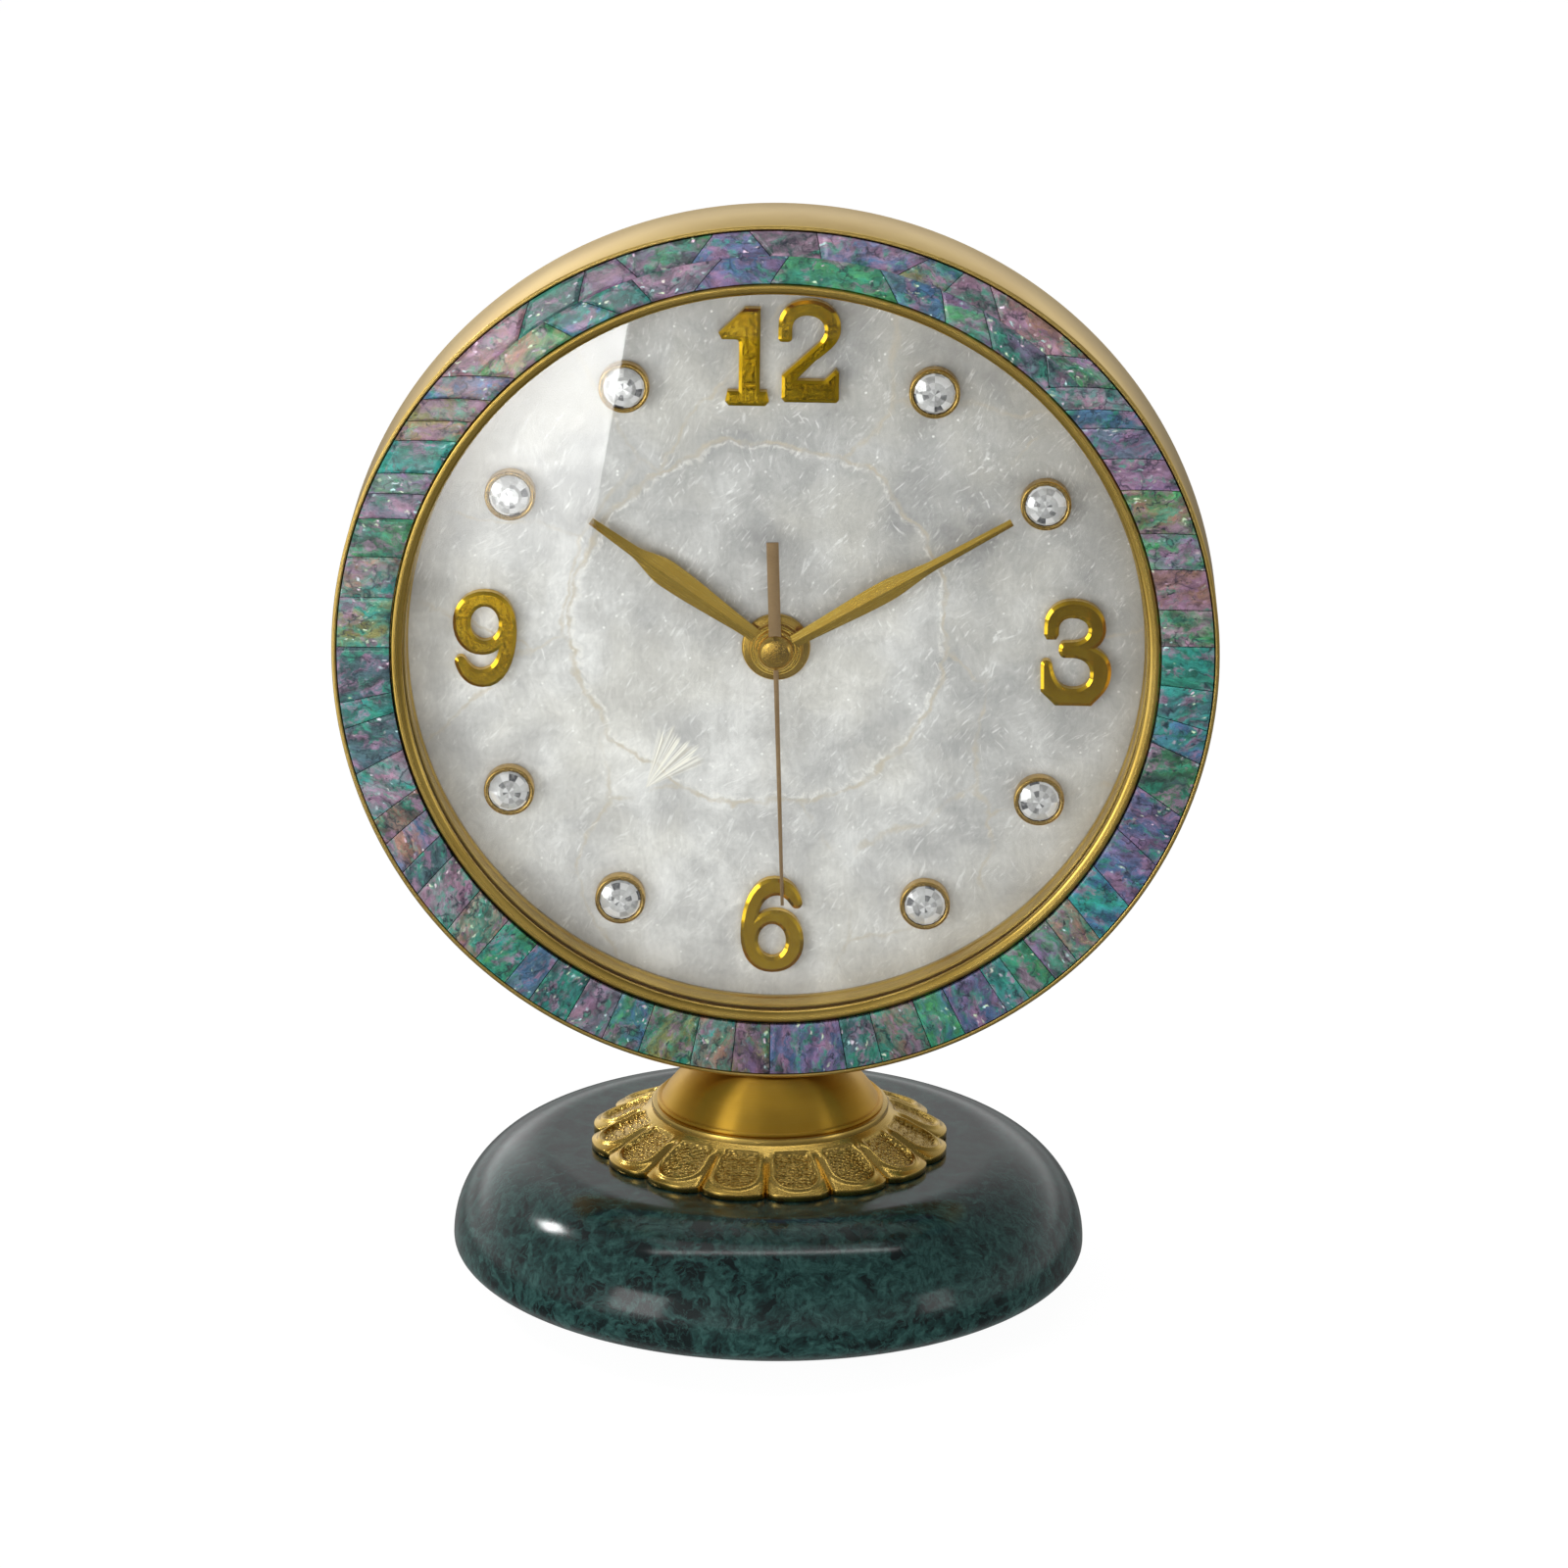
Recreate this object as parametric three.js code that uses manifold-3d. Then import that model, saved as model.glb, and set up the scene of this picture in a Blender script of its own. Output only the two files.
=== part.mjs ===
// Desk clock: a brass drum with a shell-inlaid front on a neck, a petal collar and a stone base.
// Millimetres, +Z up. The dial faces -Y, and the origin is the centre of the pad's underside.
import * as THREE from 'three';
import { mergeVertices } from 'three/addons/utils/BufferGeometryUtils.js';
import Module from 'manifold-3d';

const wasm = await Module();
wasm.setup();

// Fits between pieces
const SEAT = 0.05; // gap where one piece rests flat on another
const SLIP = 0.1; // radial gap where one piece slips into or turns in another
const SADDLE = 0.3; // gap between the drum and the neck that is cut to it
const BEDDING = 0.3; // gap round the shell tiles
const RUNNING = 0.5; // gap between a turning piece and what stands beside it

// Facets round the turned pieces
const DRUM_SIDES = 60;
const STONE_SIDES = 40;
const TURNED_SIDES = 24;
const SMALL_SIDES = 16;
const PIN_SIDES = 10;

// Stone base and its pad
const PAD_RADIUS = 30;
const PAD_THICKNESS = 1;
const BASE_RADIUS = 58.2;
const BASE_FOOT_RADIUS = 32;
const BASE_TOP_RADIUS = 40;
const BASE_EQUATOR = 8.3; // from the underside up to the widest line
const BASE_CROWN = 17.75; // from the widest line up to the flat top
const BASE_STEPS = 5;
const COUNTERBORE_RADIUS = 9;
const COUNTERBORE_DEPTH = 8;

// Tie rod and its flanged nut
const ROD_RADIUS = 3;
const ROD_TAIL = 1.5; // thread showing below the nut
const NUT_RADIUS = 5.8; // over the corners
const NUT_HEIGHT = 4;
const NUT_FLANGE_RADIUS = 8;
const NUT_FLANGE = 1.2;

// Petal collar
const PETALS = 16;
const PETAL_STEPS = 4;
const PETAL_NOTCH = 3; // how far the edge draws in between two petals
const PETAL_CREASE = 0.6; // how far the skirt sinks between two petals
const COLLAR_TIP_RADIUS = 33.6;
const COLLAR_EDGE = 1;
const COLLAR_HEIGHT = 8;
const COLLAR_RING_RADIUS = 21.8;
const COLLAR_RING = 1.2;
const COLLAR_FLARE = [4, 2.8]; // pull of the skirt's curve: out from the ring, up from the edge
const COLLAR_FOOT = 3;
const COLLAR_ROOF = 2.5;

// Neck
const NECK_RADIUS = 20.9;
const NECK_RIM = 0.6;
const NECK_SHOULDER_RADIUS = 15.4;
const NECK_SHOULDER = 5.8;
const NECK_TOP_RADIUS = 9.2;
const NECK_HEIGHT = 7.3; // up to the lowest line of the drum

// Drum wall
const DRUM_RADIUS = 80;
const DRUM_DEPTH = 18;
const BAND_WALL = 2;
const LIP_WIDTH = 0.8;
const WEB_THICKNESS = 1.4;
const CASE_BOSS = 5; // how far the stud boss and the screw lugs stand in from the wall
const STUD_BOSS_RADIUS = 5;
const LUG_WIDTH = 9;
const LUG_LENGTH = 4.5;
const LUG_ANGLES = [90, 210, 330];

// Shell inlay
const INLAY_WIDTH = 9.2;
const INLAY_THICKNESS = 1.2;
const INLAY_RECESS = 0.7;
const TILES = 40;
const SEAM_WIDTH = 0.4;
const SEAM_DEPTH = 0.3;

// Sight ring, glass and spacer
const SIGHT_WIDTH = 2.15;
const SIGHT_SINK = 0.1; // crest behind the lip of the drum
const SIGHT_LIP = 1;
const SIGHT_ROUND = 0.5;
const SPIGOT_WALL = 0.7;
const GLASS_OVERLAP = 0.8;
const GLASS_THICKNESS = 1.6;
const SPACER_DEPTH = 5.65;
const SPACER_WALL = 1.3;

// Back plate and its screws
const PLATE_THICKNESS = 1.2;
const PLATE_RECESS = 0.2;
const PLATE_REBATE = 0.9;
const CUTOUT_GAP = 0.6;
const PILLAR_RADIUS = 2;
const PILLAR_CIRCLE = 60;
const PILLAR_ANGLES = [30, 150, 270];
const SCREW_RADIUS = 1.5;
const SCREW_LENGTH = 5;
const SCREW_HEAD_RADIUS = 2.7;
const SCREW_HEAD = 1.3;
const SCREW_SLOT = 0.6;

// Dial, markers and numerals
const DIAL_THICKNESS = 2.2;
const MARKER_INSET = 11; // from the rim of the dial in to the circle of the markers
const HOUR_COUNT = 12;
const DIGIT_COUNT = 4;
const CUP_RADIUS = 4.6;
const CUP_HEIGHT = 2.6;
const CUP_LIP = 0.75;
const CUP_FLOOR = 0.8;
const CRYSTAL_RISE = 0.5; // table above the lip of the cup
const CRYSTAL_TABLE_RADIUS = 2;
const CRYSTAL_CROWN = 0.9;
const CRYSTAL_BACK_RADIUS = 2.2;
const CRYSTAL_SIDES = 12;
const NUMERAL_THICKNESS = 2;
const NUMERAL_CURVE_STEPS = 4;
const DIGIT_UNIT = 1; // one unit of the digits' outlines
const ONE_INSET = 21.45; // from the rim of the dial in to the foot of the 1 and of the 2
const TWO_INSET = 20.65;
const ONE_SHIFT = -5.4; // from the middle of the dial across to the stem of the 1 and the middle of the 2
const TWO_SHIFT = 5.3;
const THREE_INSET = 12.35; // from the rim of the dial in to the middle of the 3 and of the 9
const NINE_INSET = 13.95;
const SIX_INSET = 4.85; // from the rim of the dial in to the foot of the 6
const SIDE_DIGIT_HALF = 9.75; // from the level of the hand axis to the foot of the 3 and the head of the 9

// Hands, as they stand in the rest pose
const HAND_GAP = 0.35;
const HAND_EDGE = 0.35;
const HAND_STEPS = 10;
const HUB_WALL = 1.9;
const HOUR_ANGLE = 304.9;
const HOUR_LENGTH = 41;
const HOUR_WIDTH = 5;
const HOUR_BELLY = 25.5;
const HOUR_ROOT_WIDTH = 2.5;
const HOUR_THICKNESS = 0.8;
const MINUTE_ANGLE = 59.4;
const MINUTE_LENGTH = 49;
const MINUTE_WIDTH = 4;
const MINUTE_BELLY = 23.6;
const MINUTE_ROOT_WIDTH = 2.4;
const MINUTE_THICKNESS = 0.7;
const HAND_TIP_WIDTH = 1.3;
const SECOND_ANGLE = 177.8;
const SECOND_LENGTH = 48;
const SECOND_WIDTH = 0.95;
const SECOND_TAIL = 20.7;
const SECOND_TAIL_WIDTH = 2.2;
const SECOND_THICKNESS = 0.4;
const CAP_RADIUS = 3.2;
const CAP_HEIGHT = 1.2;

// Bush, its nut and the nested pipes of the hands
const SECONDS_ARBOR = 0.6;
const MINUTE_PIPE_WALL = 1.1;
const HOUR_PIPE_WALL = 0.7;
const BUSH_WALL = 0.9;
const PIPE_GAP = 0.15;
const BUSH_END = 0.25; // bush showing in front of its nut
const DIAL_NUT_RADIUS = 6.2;
const DIAL_NUT_HEIGHT = 1.5;
const DIAL_NUT_CHAMFER = 0.7;

// Wheel train: modules, tooth counts and layers
const MOTION_MODULE = 0.45;
const TRAIN_MODULE = 0.4;
const STEP_MODULE = 0.4;
const ROTOR_MODULE = 0.35;
const CANNON_TEETH = 10;
const MINUTE_WHEEL_TEETH = 30;
const MINUTE_PINION_TEETH = 8;
const HOUR_WHEEL_TEETH = 32;
const SET_PINION_TEETH = 10;
const PINION_LEAVES = 6;
const CENTRE_WHEEL_TEETH = 45;
const THIRD_WHEEL_TEETH = 48;
const SECONDS_WHEEL_TEETH = 30;
const INTERMEDIATE_TEETH = 36;
const WHEEL_THICKNESS = 1;
const LAYER_GAP = 0.5;
const PINION_OVERHANG = 0.15;
const PIVOT_RADIUS = 0.35;
const PIVOT_DEPTH = 0.7;
const STUD_RADIUS = 0.6;
const ARBOR_RADIUS = 0.5;

// Directions from one axis to the next, in degrees from +X towards +Z
const THIRD_DIRECTION = 30;
const MINUTE_WHEEL_DIRECTION = 160;
const SET_DIRECTION = 110;
const INTERMEDIATE_DIRECTION = 125;
const ROTOR_DIRECTION = 70;

// Tooth form in modules: above and below the pitch line, half widths at root and tip
const WHEEL_TOOTH = { addendum: 0.75, dedendum: 0.95, root: 0.65, tip: 0.25 };
const LEAF_TOOTH = { addendum: 0.45, dedendum: 1.15, root: 0.45, tip: 0.3 };

// Movement case, stepping motor and set knob
const CASE_CORNER = 4;
const CASE_FRONT = 1.2;
const CASE_WALL = 1.4;
const MIDDLE_PLATE = 0.8;
const POST_RADIUS = 1.4;
const POST_INSET = 2.6;
const MAGNET_RADIUS = 2.6;
const MAGNET_HEIGHT = 1.6;
const MAGNET_GAP = 0.5;
const STATOR_THICKNESS = 1;
const STATOR_HALF_SPAN = 13.2;
const STATOR_LEG = 2.7;
const STATOR_HEAD_RADIUS = 4.6;
const COIL_RISE = 9.2; // coil axis above the rotor axis
const COIL_CORE = [1, 2]; // thickness and height of the core bar
const COIL_RADIUS = 1.7;
const COIL_FLANGE_RADIUS = 2;
const COIL_FLANGE = 0.8;
const COIL_ROOM = 1.9; // above the coil to the case wall
const BOARD_THICKNESS = 1;
const BOARD_INSET = 1;
const BOARD_START = 12; // from the hand axis to the near edge of the board
const BOARD_HEIGHT = 26;
const CHIP_SIZE = 6;
const CHIP_HEIGHT = 1.2;
const KNOB_RADIUS = 6;
const KNOB_HEIGHT = 3;
const KNOB_RIDGES = 20;
const KNOB_RIDGE_DEPTH = 0.5;
const SET_ARBOR_RADIUS = 1.2;

// Cell and contacts
const CELL_RADIUS = 7.15;
const CELL_LENGTH = 49;
const CELL_NUB_RADIUS = 2.7;
const CELL_NUB = 1.2;
const CELL_GAP = 0.25;
const CONTACT_THICKNESS = 0.4;
const CONTACT_SPAN = 10;
const CONTACT_DIMPLE = 1.8;
const CONTACT_DIMPLE_RADIUS = 3.2;

// Levels up the stand
const BASE_BOTTOM = PAD_THICKNESS + SEAT;
const BASE_TOP = BASE_BOTTOM + BASE_EQUATOR + BASE_CROWN;
const COLLAR_BOTTOM = BASE_TOP + SEAT;
const NECK_BOTTOM = COLLAR_BOTTOM + COLLAR_HEIGHT + SEAT;
const DRUM_CENTRE = NECK_BOTTOM + NECK_HEIGHT + DRUM_RADIUS;

// Levels through the drum, from front to back
const FRONT = -DRUM_DEPTH / 2;
const BACK = DRUM_DEPTH / 2;
const INLAY_FRONT = FRONT + INLAY_RECESS;
const INLAY_BACK = INLAY_FRONT + INLAY_THICKNESS;
const WEB_FRONT = INLAY_BACK + SEAT;
const WEB_BACK = WEB_FRONT + WEB_THICKNESS;
const SIGHT_CREST = FRONT + SIGHT_SINK;
const SIGHT_LIP_BACK = SIGHT_CREST + SIGHT_LIP;
const GLASS_FRONT = SIGHT_LIP_BACK + SEAT;
const GLASS_BACK = GLASS_FRONT + GLASS_THICKNESS;
const SPACER_FRONT = GLASS_BACK + SEAT;
const SPACER_BACK = SPACER_FRONT + SPACER_DEPTH;
const DIAL_FRONT = SPACER_BACK + SEAT;
const DIAL_BACK = DIAL_FRONT + DIAL_THICKNESS;
const PLATE_BACK = BACK - PLATE_RECESS;
const PLATE_FRONT = PLATE_BACK - PLATE_THICKNESS;

// Radii through the drum, from outside to inside
const BAND_INNER = DRUM_RADIUS - BAND_WALL;
const BOSS_INNER = BAND_INNER - CASE_BOSS;
const DIAL_RADIUS = BOSS_INNER - RUNNING;
const LIP_INNER = DRUM_RADIUS - LIP_WIDTH;
const INLAY_OUTER = LIP_INNER - BEDDING;
const INLAY_INNER = INLAY_OUTER - INLAY_WIDTH;
const SIGHT_OUTER = INLAY_INNER - BEDDING;
const SIGHT_OPENING = SIGHT_OUTER - SIGHT_WIDTH;
const GLASS_RADIUS = SIGHT_OPENING + GLASS_OVERLAP;
const GLASS_SEAT = GLASS_RADIUS + SLIP;
const SPIGOT_OUTER = GLASS_SEAT + SPIGOT_WALL;
const WEB_HOLE = SPIGOT_OUTER + SLIP;
const SPACER_OUTER = GLASS_RADIUS - SLIP;
const DIAL_RIM = SPACER_OUTER - SPACER_WALL;
const PLATE_RADIUS = BAND_INNER + PLATE_REBATE;
const SCREW_CIRCLE = BAND_INNER - CASE_BOSS / 2;

// Pipes round the hand axis
const MINUTE_BORE = SECONDS_ARBOR + PIPE_GAP;
const MINUTE_PIPE = MINUTE_BORE + MINUTE_PIPE_WALL;
const HOUR_BORE = MINUTE_PIPE + PIPE_GAP;
const HOUR_PIPE = HOUR_BORE + HOUR_PIPE_WALL;
const BUSH_BORE = HOUR_PIPE + PIPE_GAP;
const BUSH_RADIUS = BUSH_BORE + BUSH_WALL;

// Levels of the hands, from the dial forward
const NUT_BACK = DIAL_FRONT - SEAT;
const NUT_FRONT = NUT_BACK - DIAL_NUT_HEIGHT;
const BUSH_FRONT = NUT_FRONT - BUSH_END;
const HOUR_BACK = BUSH_FRONT - HAND_GAP;
const HOUR_FRONT = HOUR_BACK - HOUR_THICKNESS;
const MINUTE_BACK = HOUR_FRONT - HAND_GAP;
const MINUTE_FRONT = MINUTE_BACK - MINUTE_THICKNESS;
const SECOND_BACK = MINUTE_FRONT - HAND_GAP;
const CAP_FRONT = SECOND_BACK - CAP_HEIGHT;

// Levels through the movement, from front to back
const MOVEMENT_FRONT = DIAL_BACK + SEAT;
const CHAMBER_FRONT = MOVEMENT_FRONT + CASE_FRONT;
const LAYER_PITCH = WHEEL_THICKNESS + LAYER_GAP;
const LAYER_START = CHAMBER_FRONT + LAYER_GAP;
const FRONT_LAYERS = 4;
const PLATE_2_FRONT = LAYER_START + FRONT_LAYERS * LAYER_PITCH;
const PLATE_2_BACK = PLATE_2_FRONT + MIDDLE_PLATE;
const REAR_START = PLATE_2_BACK + LAYER_GAP;
const REAR_LAYERS = 2;
const MAGNET_FRONT = REAR_START + REAR_LAYERS * LAYER_PITCH;
const MAGNET_BACK = MAGNET_FRONT + MAGNET_HEIGHT;
const STATOR_FRONT = MAGNET_FRONT + (MAGNET_HEIGHT - STATOR_THICKNESS) / 2;
const CHAMBER_BACK = MAGNET_BACK + LAYER_GAP;
const MOVEMENT_BACK = CHAMBER_BACK + CASE_WALL;
const PIVOT_FRONT = CHAMBER_FRONT - PIVOT_DEPTH + SEAT;
const PIVOT_BACK = CHAMBER_BACK + PIVOT_DEPTH - SEAT;
const PLATE_2_PIVOT = PLATE_2_BACK - PIVOT_DEPTH + SEAT;

// Centre distances of the meshing pairs and the axes that follow from them
const MOTION_DISTANCE = spacing(CANNON_TEETH, MINUTE_WHEEL_TEETH, MOTION_MODULE);
const SET_DISTANCE = spacing(SET_PINION_TEETH, MINUTE_WHEEL_TEETH, MOTION_MODULE);
const TRAIN_DISTANCE = spacing(PINION_LEAVES, THIRD_WHEEL_TEETH, TRAIN_MODULE);
const CENTRE_MODULE = (2 * TRAIN_DISTANCE) / (PINION_LEAVES + CENTRE_WHEEL_TEETH);
const STEP_DISTANCE = spacing(PINION_LEAVES, SECONDS_WHEEL_TEETH, STEP_MODULE);
const ROTOR_DISTANCE = spacing(PINION_LEAVES, INTERMEDIATE_TEETH, ROTOR_MODULE);
const HAND_AXIS = [0, 0];
const THIRD_AXIS = stepFrom(HAND_AXIS, THIRD_DIRECTION, TRAIN_DISTANCE);
const MINUTE_WHEEL_AXIS = stepFrom(HAND_AXIS, MINUTE_WHEEL_DIRECTION, MOTION_DISTANCE);
const SET_AXIS = stepFrom(MINUTE_WHEEL_AXIS, SET_DIRECTION, SET_DISTANCE);
const INTERMEDIATE_AXIS = stepFrom(HAND_AXIS, INTERMEDIATE_DIRECTION, STEP_DISTANCE);
const ROTOR_AXIS = stepFrom(INTERMEDIATE_AXIS, ROTOR_DIRECTION, ROTOR_DISTANCE);

// Outline of the movement case, set by the wheels, the coil and the cell
const CENTRE_TIP = (CENTRE_WHEEL_TEETH / 2 + WHEEL_TOOTH.addendum) * CENTRE_MODULE;
const COIL_Z = ROTOR_AXIS[1] + COIL_RISE;
const CHAMBER_BOTTOM = -CENTRE_TIP - RUNNING;
const CHAMBER_TOP = COIL_Z + COIL_FLANGE_RADIUS + COIL_ROOM;
const BAY_TOP = CHAMBER_BOTTOM - CASE_WALL;
const BAY_BOTTOM = BAY_TOP - 2 * (CELL_RADIUS + CELL_GAP);
const BAY_HALF = (CELL_LENGTH + CELL_NUB + 2 * CONTACT_THICKNESS + CONTACT_DIMPLE + 4 * SLIP) / 2;
const CASE_TOP = CHAMBER_TOP + CASE_WALL;
const CASE_BOTTOM = BAY_BOTTOM - CASE_WALL;
const CASE_HALF = BAY_HALF + CASE_WALL;
const CELL_Z = (BAY_TOP + BAY_BOTTOM) / 2;
const CELL_Y = CHAMBER_FRONT + SLIP + CELL_RADIUS;

/** Centre distance of two meshing wheels. */
function spacing(teethA, teethB, module) {
  return ((teethA + teethB) * module) / 2;
}

/** Point at a distance and a direction from another, in the plane of the dial. */
function stepFrom([x, z], degrees, distance) {
  const angle = THREE.MathUtils.degToRad(degrees);
  return [x + distance * Math.cos(angle), z + distance * Math.sin(angle)];
}

/** Geometry with shared vertices, no collapsed triangles and its faces outward. */
function weld(geometry) {
  const bare = new THREE.BufferGeometry();
  bare.setAttribute('position', geometry.getAttribute('position'));
  bare.setIndex(geometry.index);
  const merged = mergeVertices(bare, 1e-4);
  const position = merged.getAttribute('position');
  const corners = [new THREE.Vector3(), new THREE.Vector3(), new THREE.Vector3()];
  const kept = [];
  let volume = 0;
  for (let i = 0; i < merged.index.count; i += 3) {
    const triangle = [0, 1, 2].map((k) => merged.index.getX(i + k));
    if (new Set(triangle).size < 3) continue;
    corners.forEach((corner, k) => corner.fromBufferAttribute(position, triangle[k]));
    volume += corners[0].dot(corners[1].cross(corners[2]));
    kept.push(triangle);
  }
  const facing = volume < 0 ? kept.map(([a, b, c]) => [a, c, b]) : kept;
  merged.setIndex(facing.flat());
  return merged;
}

/** Closed geometry as a solid for joining and cutting. */
function solid(geometry) {
  const closed = weld(geometry);
  return new wasm.Manifold(new wasm.Mesh({
    numProp: 3,
    vertProperties: new Float32Array(closed.getAttribute('position').array),
    triVerts: new Uint32Array(closed.index.array),
  }));
}

/** First geometry joined with the others. */
function join(first, ...others) {
  return fromSolid(others.reduce((sum, other) => sum.add(solid(other)), solid(first)));
}

/** First geometry with the others cut away. */
function cut(first, ...others) {
  return fromSolid(others.reduce((rest, other) => rest.subtract(solid(other)), solid(first)));
}

/** Geometry of a solid. */
function fromSolid(body) {
  const mesh = body.getMesh();
  const geometry = new THREE.BufferGeometry();
  geometry.setAttribute('position', new THREE.BufferAttribute(mesh.vertProperties, 3));
  geometry.setIndex(new THREE.BufferAttribute(mesh.triVerts, 1));
  return geometry;
}

/** Profile of [radius, height] points turned about Y. */
function turned(profile, sides) {
  const points = profile.map(([radius, height]) => new THREE.Vector2(radius, height));
  return weld(new THREE.LatheGeometry(points, sides));
}

/** Profile clear of the axis turned about Y into a ring. */
function ring(profile, sides) {
  return turned([...profile, profile[0]], sides);
}

/** Plain ring about Y between two radii and two levels. */
function band(inner, outer, front, back, sides) {
  return ring([[inner, front], [outer, front], [outer, back], [inner, back]], sides);
}

/** Round bar along Y at a point of the dial plane. */
function bar([x, z], radius, front, back, sides = PIN_SIDES) {
  const geometry = new THREE.CylinderGeometry(radius, radius, back - front, sides);
  return weld(geometry.translate(x, (front + back) / 2, z));
}

/** Box between two corners. */
function block([x0, y0, z0], [x1, y1, z1]) {
  const geometry = new THREE.BoxGeometry(x1 - x0, y1 - y0, z1 - z0);
  return weld(geometry.translate((x0 + x1) / 2, (y0 + y1) / 2, (z0 + z1) / 2));
}

/** Outline in the dial plane made a plate between two levels. */
function plate(shape, front, back, curveSegments = NUMERAL_CURVE_STEPS) {
  const options = { depth: back - front, bevelEnabled: false, curveSegments };
  return weld(new THREE.ExtrudeGeometry(shape, options).rotateX(Math.PI / 2).translate(0, back, 0));
}

/** Upright copy of a geometry turned about Y, so that it is turned about Z. */
function upright(geometry) {
  return geometry.rotateX(Math.PI / 2);
}

/** Quarter of an ellipse from one point of a profile to another, level at the start or at the end. */
function quarter([r0, h0], [r1, h1], steps, levelAtEnd) {
  return Array.from({ length: steps }, (_, i) => {
    const angle = ((i + 1) / steps) * (Math.PI / 2);
    const across = levelAtEnd ? 1 - Math.cos(angle) : Math.sin(angle);
    const along = levelAtEnd ? Math.sin(angle) : 1 - Math.cos(angle);
    return [r0 + (r1 - r0) * across, h0 + (h1 - h0) * along];
  });
}

/** Ring about Z whose section changes with the angle. */
function modulated(angles, section) {
  const rings = angles.map((angle) => section(angle).map(([radius, z]) => (
    [radius * Math.cos(angle), radius * Math.sin(angle), z]
  )));
  const points = rings[0].length;
  const index = [];
  rings.forEach((_, i) => {
    const here = i * points;
    const next = ((i + 1) % rings.length) * points;
    for (let k = 0; k < points; k += 1) {
      const step = (k + 1) % points;
      index.push(here + k, next + k, next + step, here + k, next + step, here + step);
    }
  });
  const geometry = new THREE.BufferGeometry();
  geometry.setAttribute('position', new THREE.Float32BufferAttribute(rings.flat(2), 3));
  geometry.setIndex(index);
  return weld(geometry);
}

/** Rectangle with round corners in the dial plane. */
function roundedRectangle(x0, z0, x1, z1, radius) {
  const shape = new THREE.Shape();
  shape.absarc(x1 - radius, z0 + radius, radius, -Math.PI / 2, 0);
  shape.absarc(x1 - radius, z1 - radius, radius, 0, Math.PI / 2);
  shape.absarc(x0 + radius, z1 - radius, radius, Math.PI / 2, Math.PI);
  shape.absarc(x0 + radius, z0 + radius, radius, Math.PI, 1.5 * Math.PI);
  return shape;
}

/** Outline of a toothed wheel about a point, with the middle of one tooth at a given angle. */
function toothed([x, z], teeth, module, form, phase) {
  const pitch = (teeth * module) / 2;
  const root = pitch - form.dedendum * module;
  const tip = pitch + form.addendum * module;
  const rootHalf = (form.root * module) / root;
  const tipHalf = (form.tip * module) / tip;
  const at = (radius, angle) => new THREE.Vector2(x + radius * Math.cos(angle), z + radius * Math.sin(angle));
  const points = Array.from({ length: teeth }, (_, i) => {
    const middle = phase + (i * 2 * Math.PI) / teeth;
    return [
      at(root, middle - rootHalf),
      at(tip, middle - tipHalf),
      at(tip, middle + tipHalf),
      at(root, middle + rootHalf),
    ];
  });
  return new THREE.Shape(points.flat());
}

/** Toothed wheel in one layer. */
function wheel(axis, teeth, module, phase, { front, back }) {
  return plate(toothed(axis, teeth, module, WHEEL_TOOTH, phase), front, back);
}

/** Pinion that stands a little past both faces of the wheel it meshes with. */
function pinion(axis, leaves, module, phase, { front, back }) {
  const shape = toothed(axis, leaves, module, LEAF_TOOTH, phase);
  return plate(shape, front - PINION_OVERHANG, back + PINION_OVERHANG);
}

/** Levels of one wheel layer, counted from the front. */
function layer(number) {
  const behind = number >= FRONT_LAYERS;
  const start = behind ? REAR_START : LAYER_START;
  const front = start + (behind ? number - FRONT_LAYERS : number) * LAYER_PITCH;
  return { front, back: front + WHEEL_THICKNESS };
}

/** Phase that puts a gap of a wheel where a tooth of its neighbour points. */
function gapTowards(degrees, teeth) {
  return THREE.MathUtils.degToRad(degrees + 180) + Math.PI / teeth;
}

/** Phase that puts a tooth of a wheel in a direction. */
function toothTowards(degrees) {
  return THREE.MathUtils.degToRad(degrees);
}

/** Finish of a piece. */
function finish(color, metalness, roughness) {
  return () => new THREE.MeshStandardMaterial({ color, metalness, roughness });
}

const satinBrass = finish(0xb08d4a, 1, 0.35);
const polishedGold = finish(0xb98f1f, 1, 0.12);
const steel = finish(0x9a9a9a, 1, 0.4);
const blackPlastic = finish(0x1c1c1e, 0, 0.5);
const whitePlastic = finish(0xd8d6cf, 0, 0.5);
const greenMarble = finish(0x1f3b36, 0, 0.08);
const felt = finish(0x14231d, 0, 0.95);
const abalone = finish(0x5c8f8c, 0.1, 0.2);
const pearl = finish(0xcfccc4, 0, 0.25);
const clearGlass = () => new THREE.MeshStandardMaterial({
  color: 0xffffff, metalness: 0, roughness: 0.02, transparent: true, opacity: 0.15,
});
const crystal = finish(0xe6eaf0, 0, 0.02);
const copper = finish(0x9c5a2e, 1, 0.3);
const boardGreen = finish(0x1f4a2a, 0, 0.5);
const cellJacket = finish(0x2f4858, 0.2, 0.35);

/** Named piece in a group. */
function add(group, name, geometry, material) {
  const mesh = new THREE.Mesh(geometry, material());
  mesh.name = name;
  group.add(mesh);
  return mesh;
}

/** Felt pad, the face that the clock rests on. */
function basePad() {
  return upright(bar(HAND_AXIS, PAD_RADIUS, 0, PAD_THICKNESS, STONE_SIDES));
}

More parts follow.
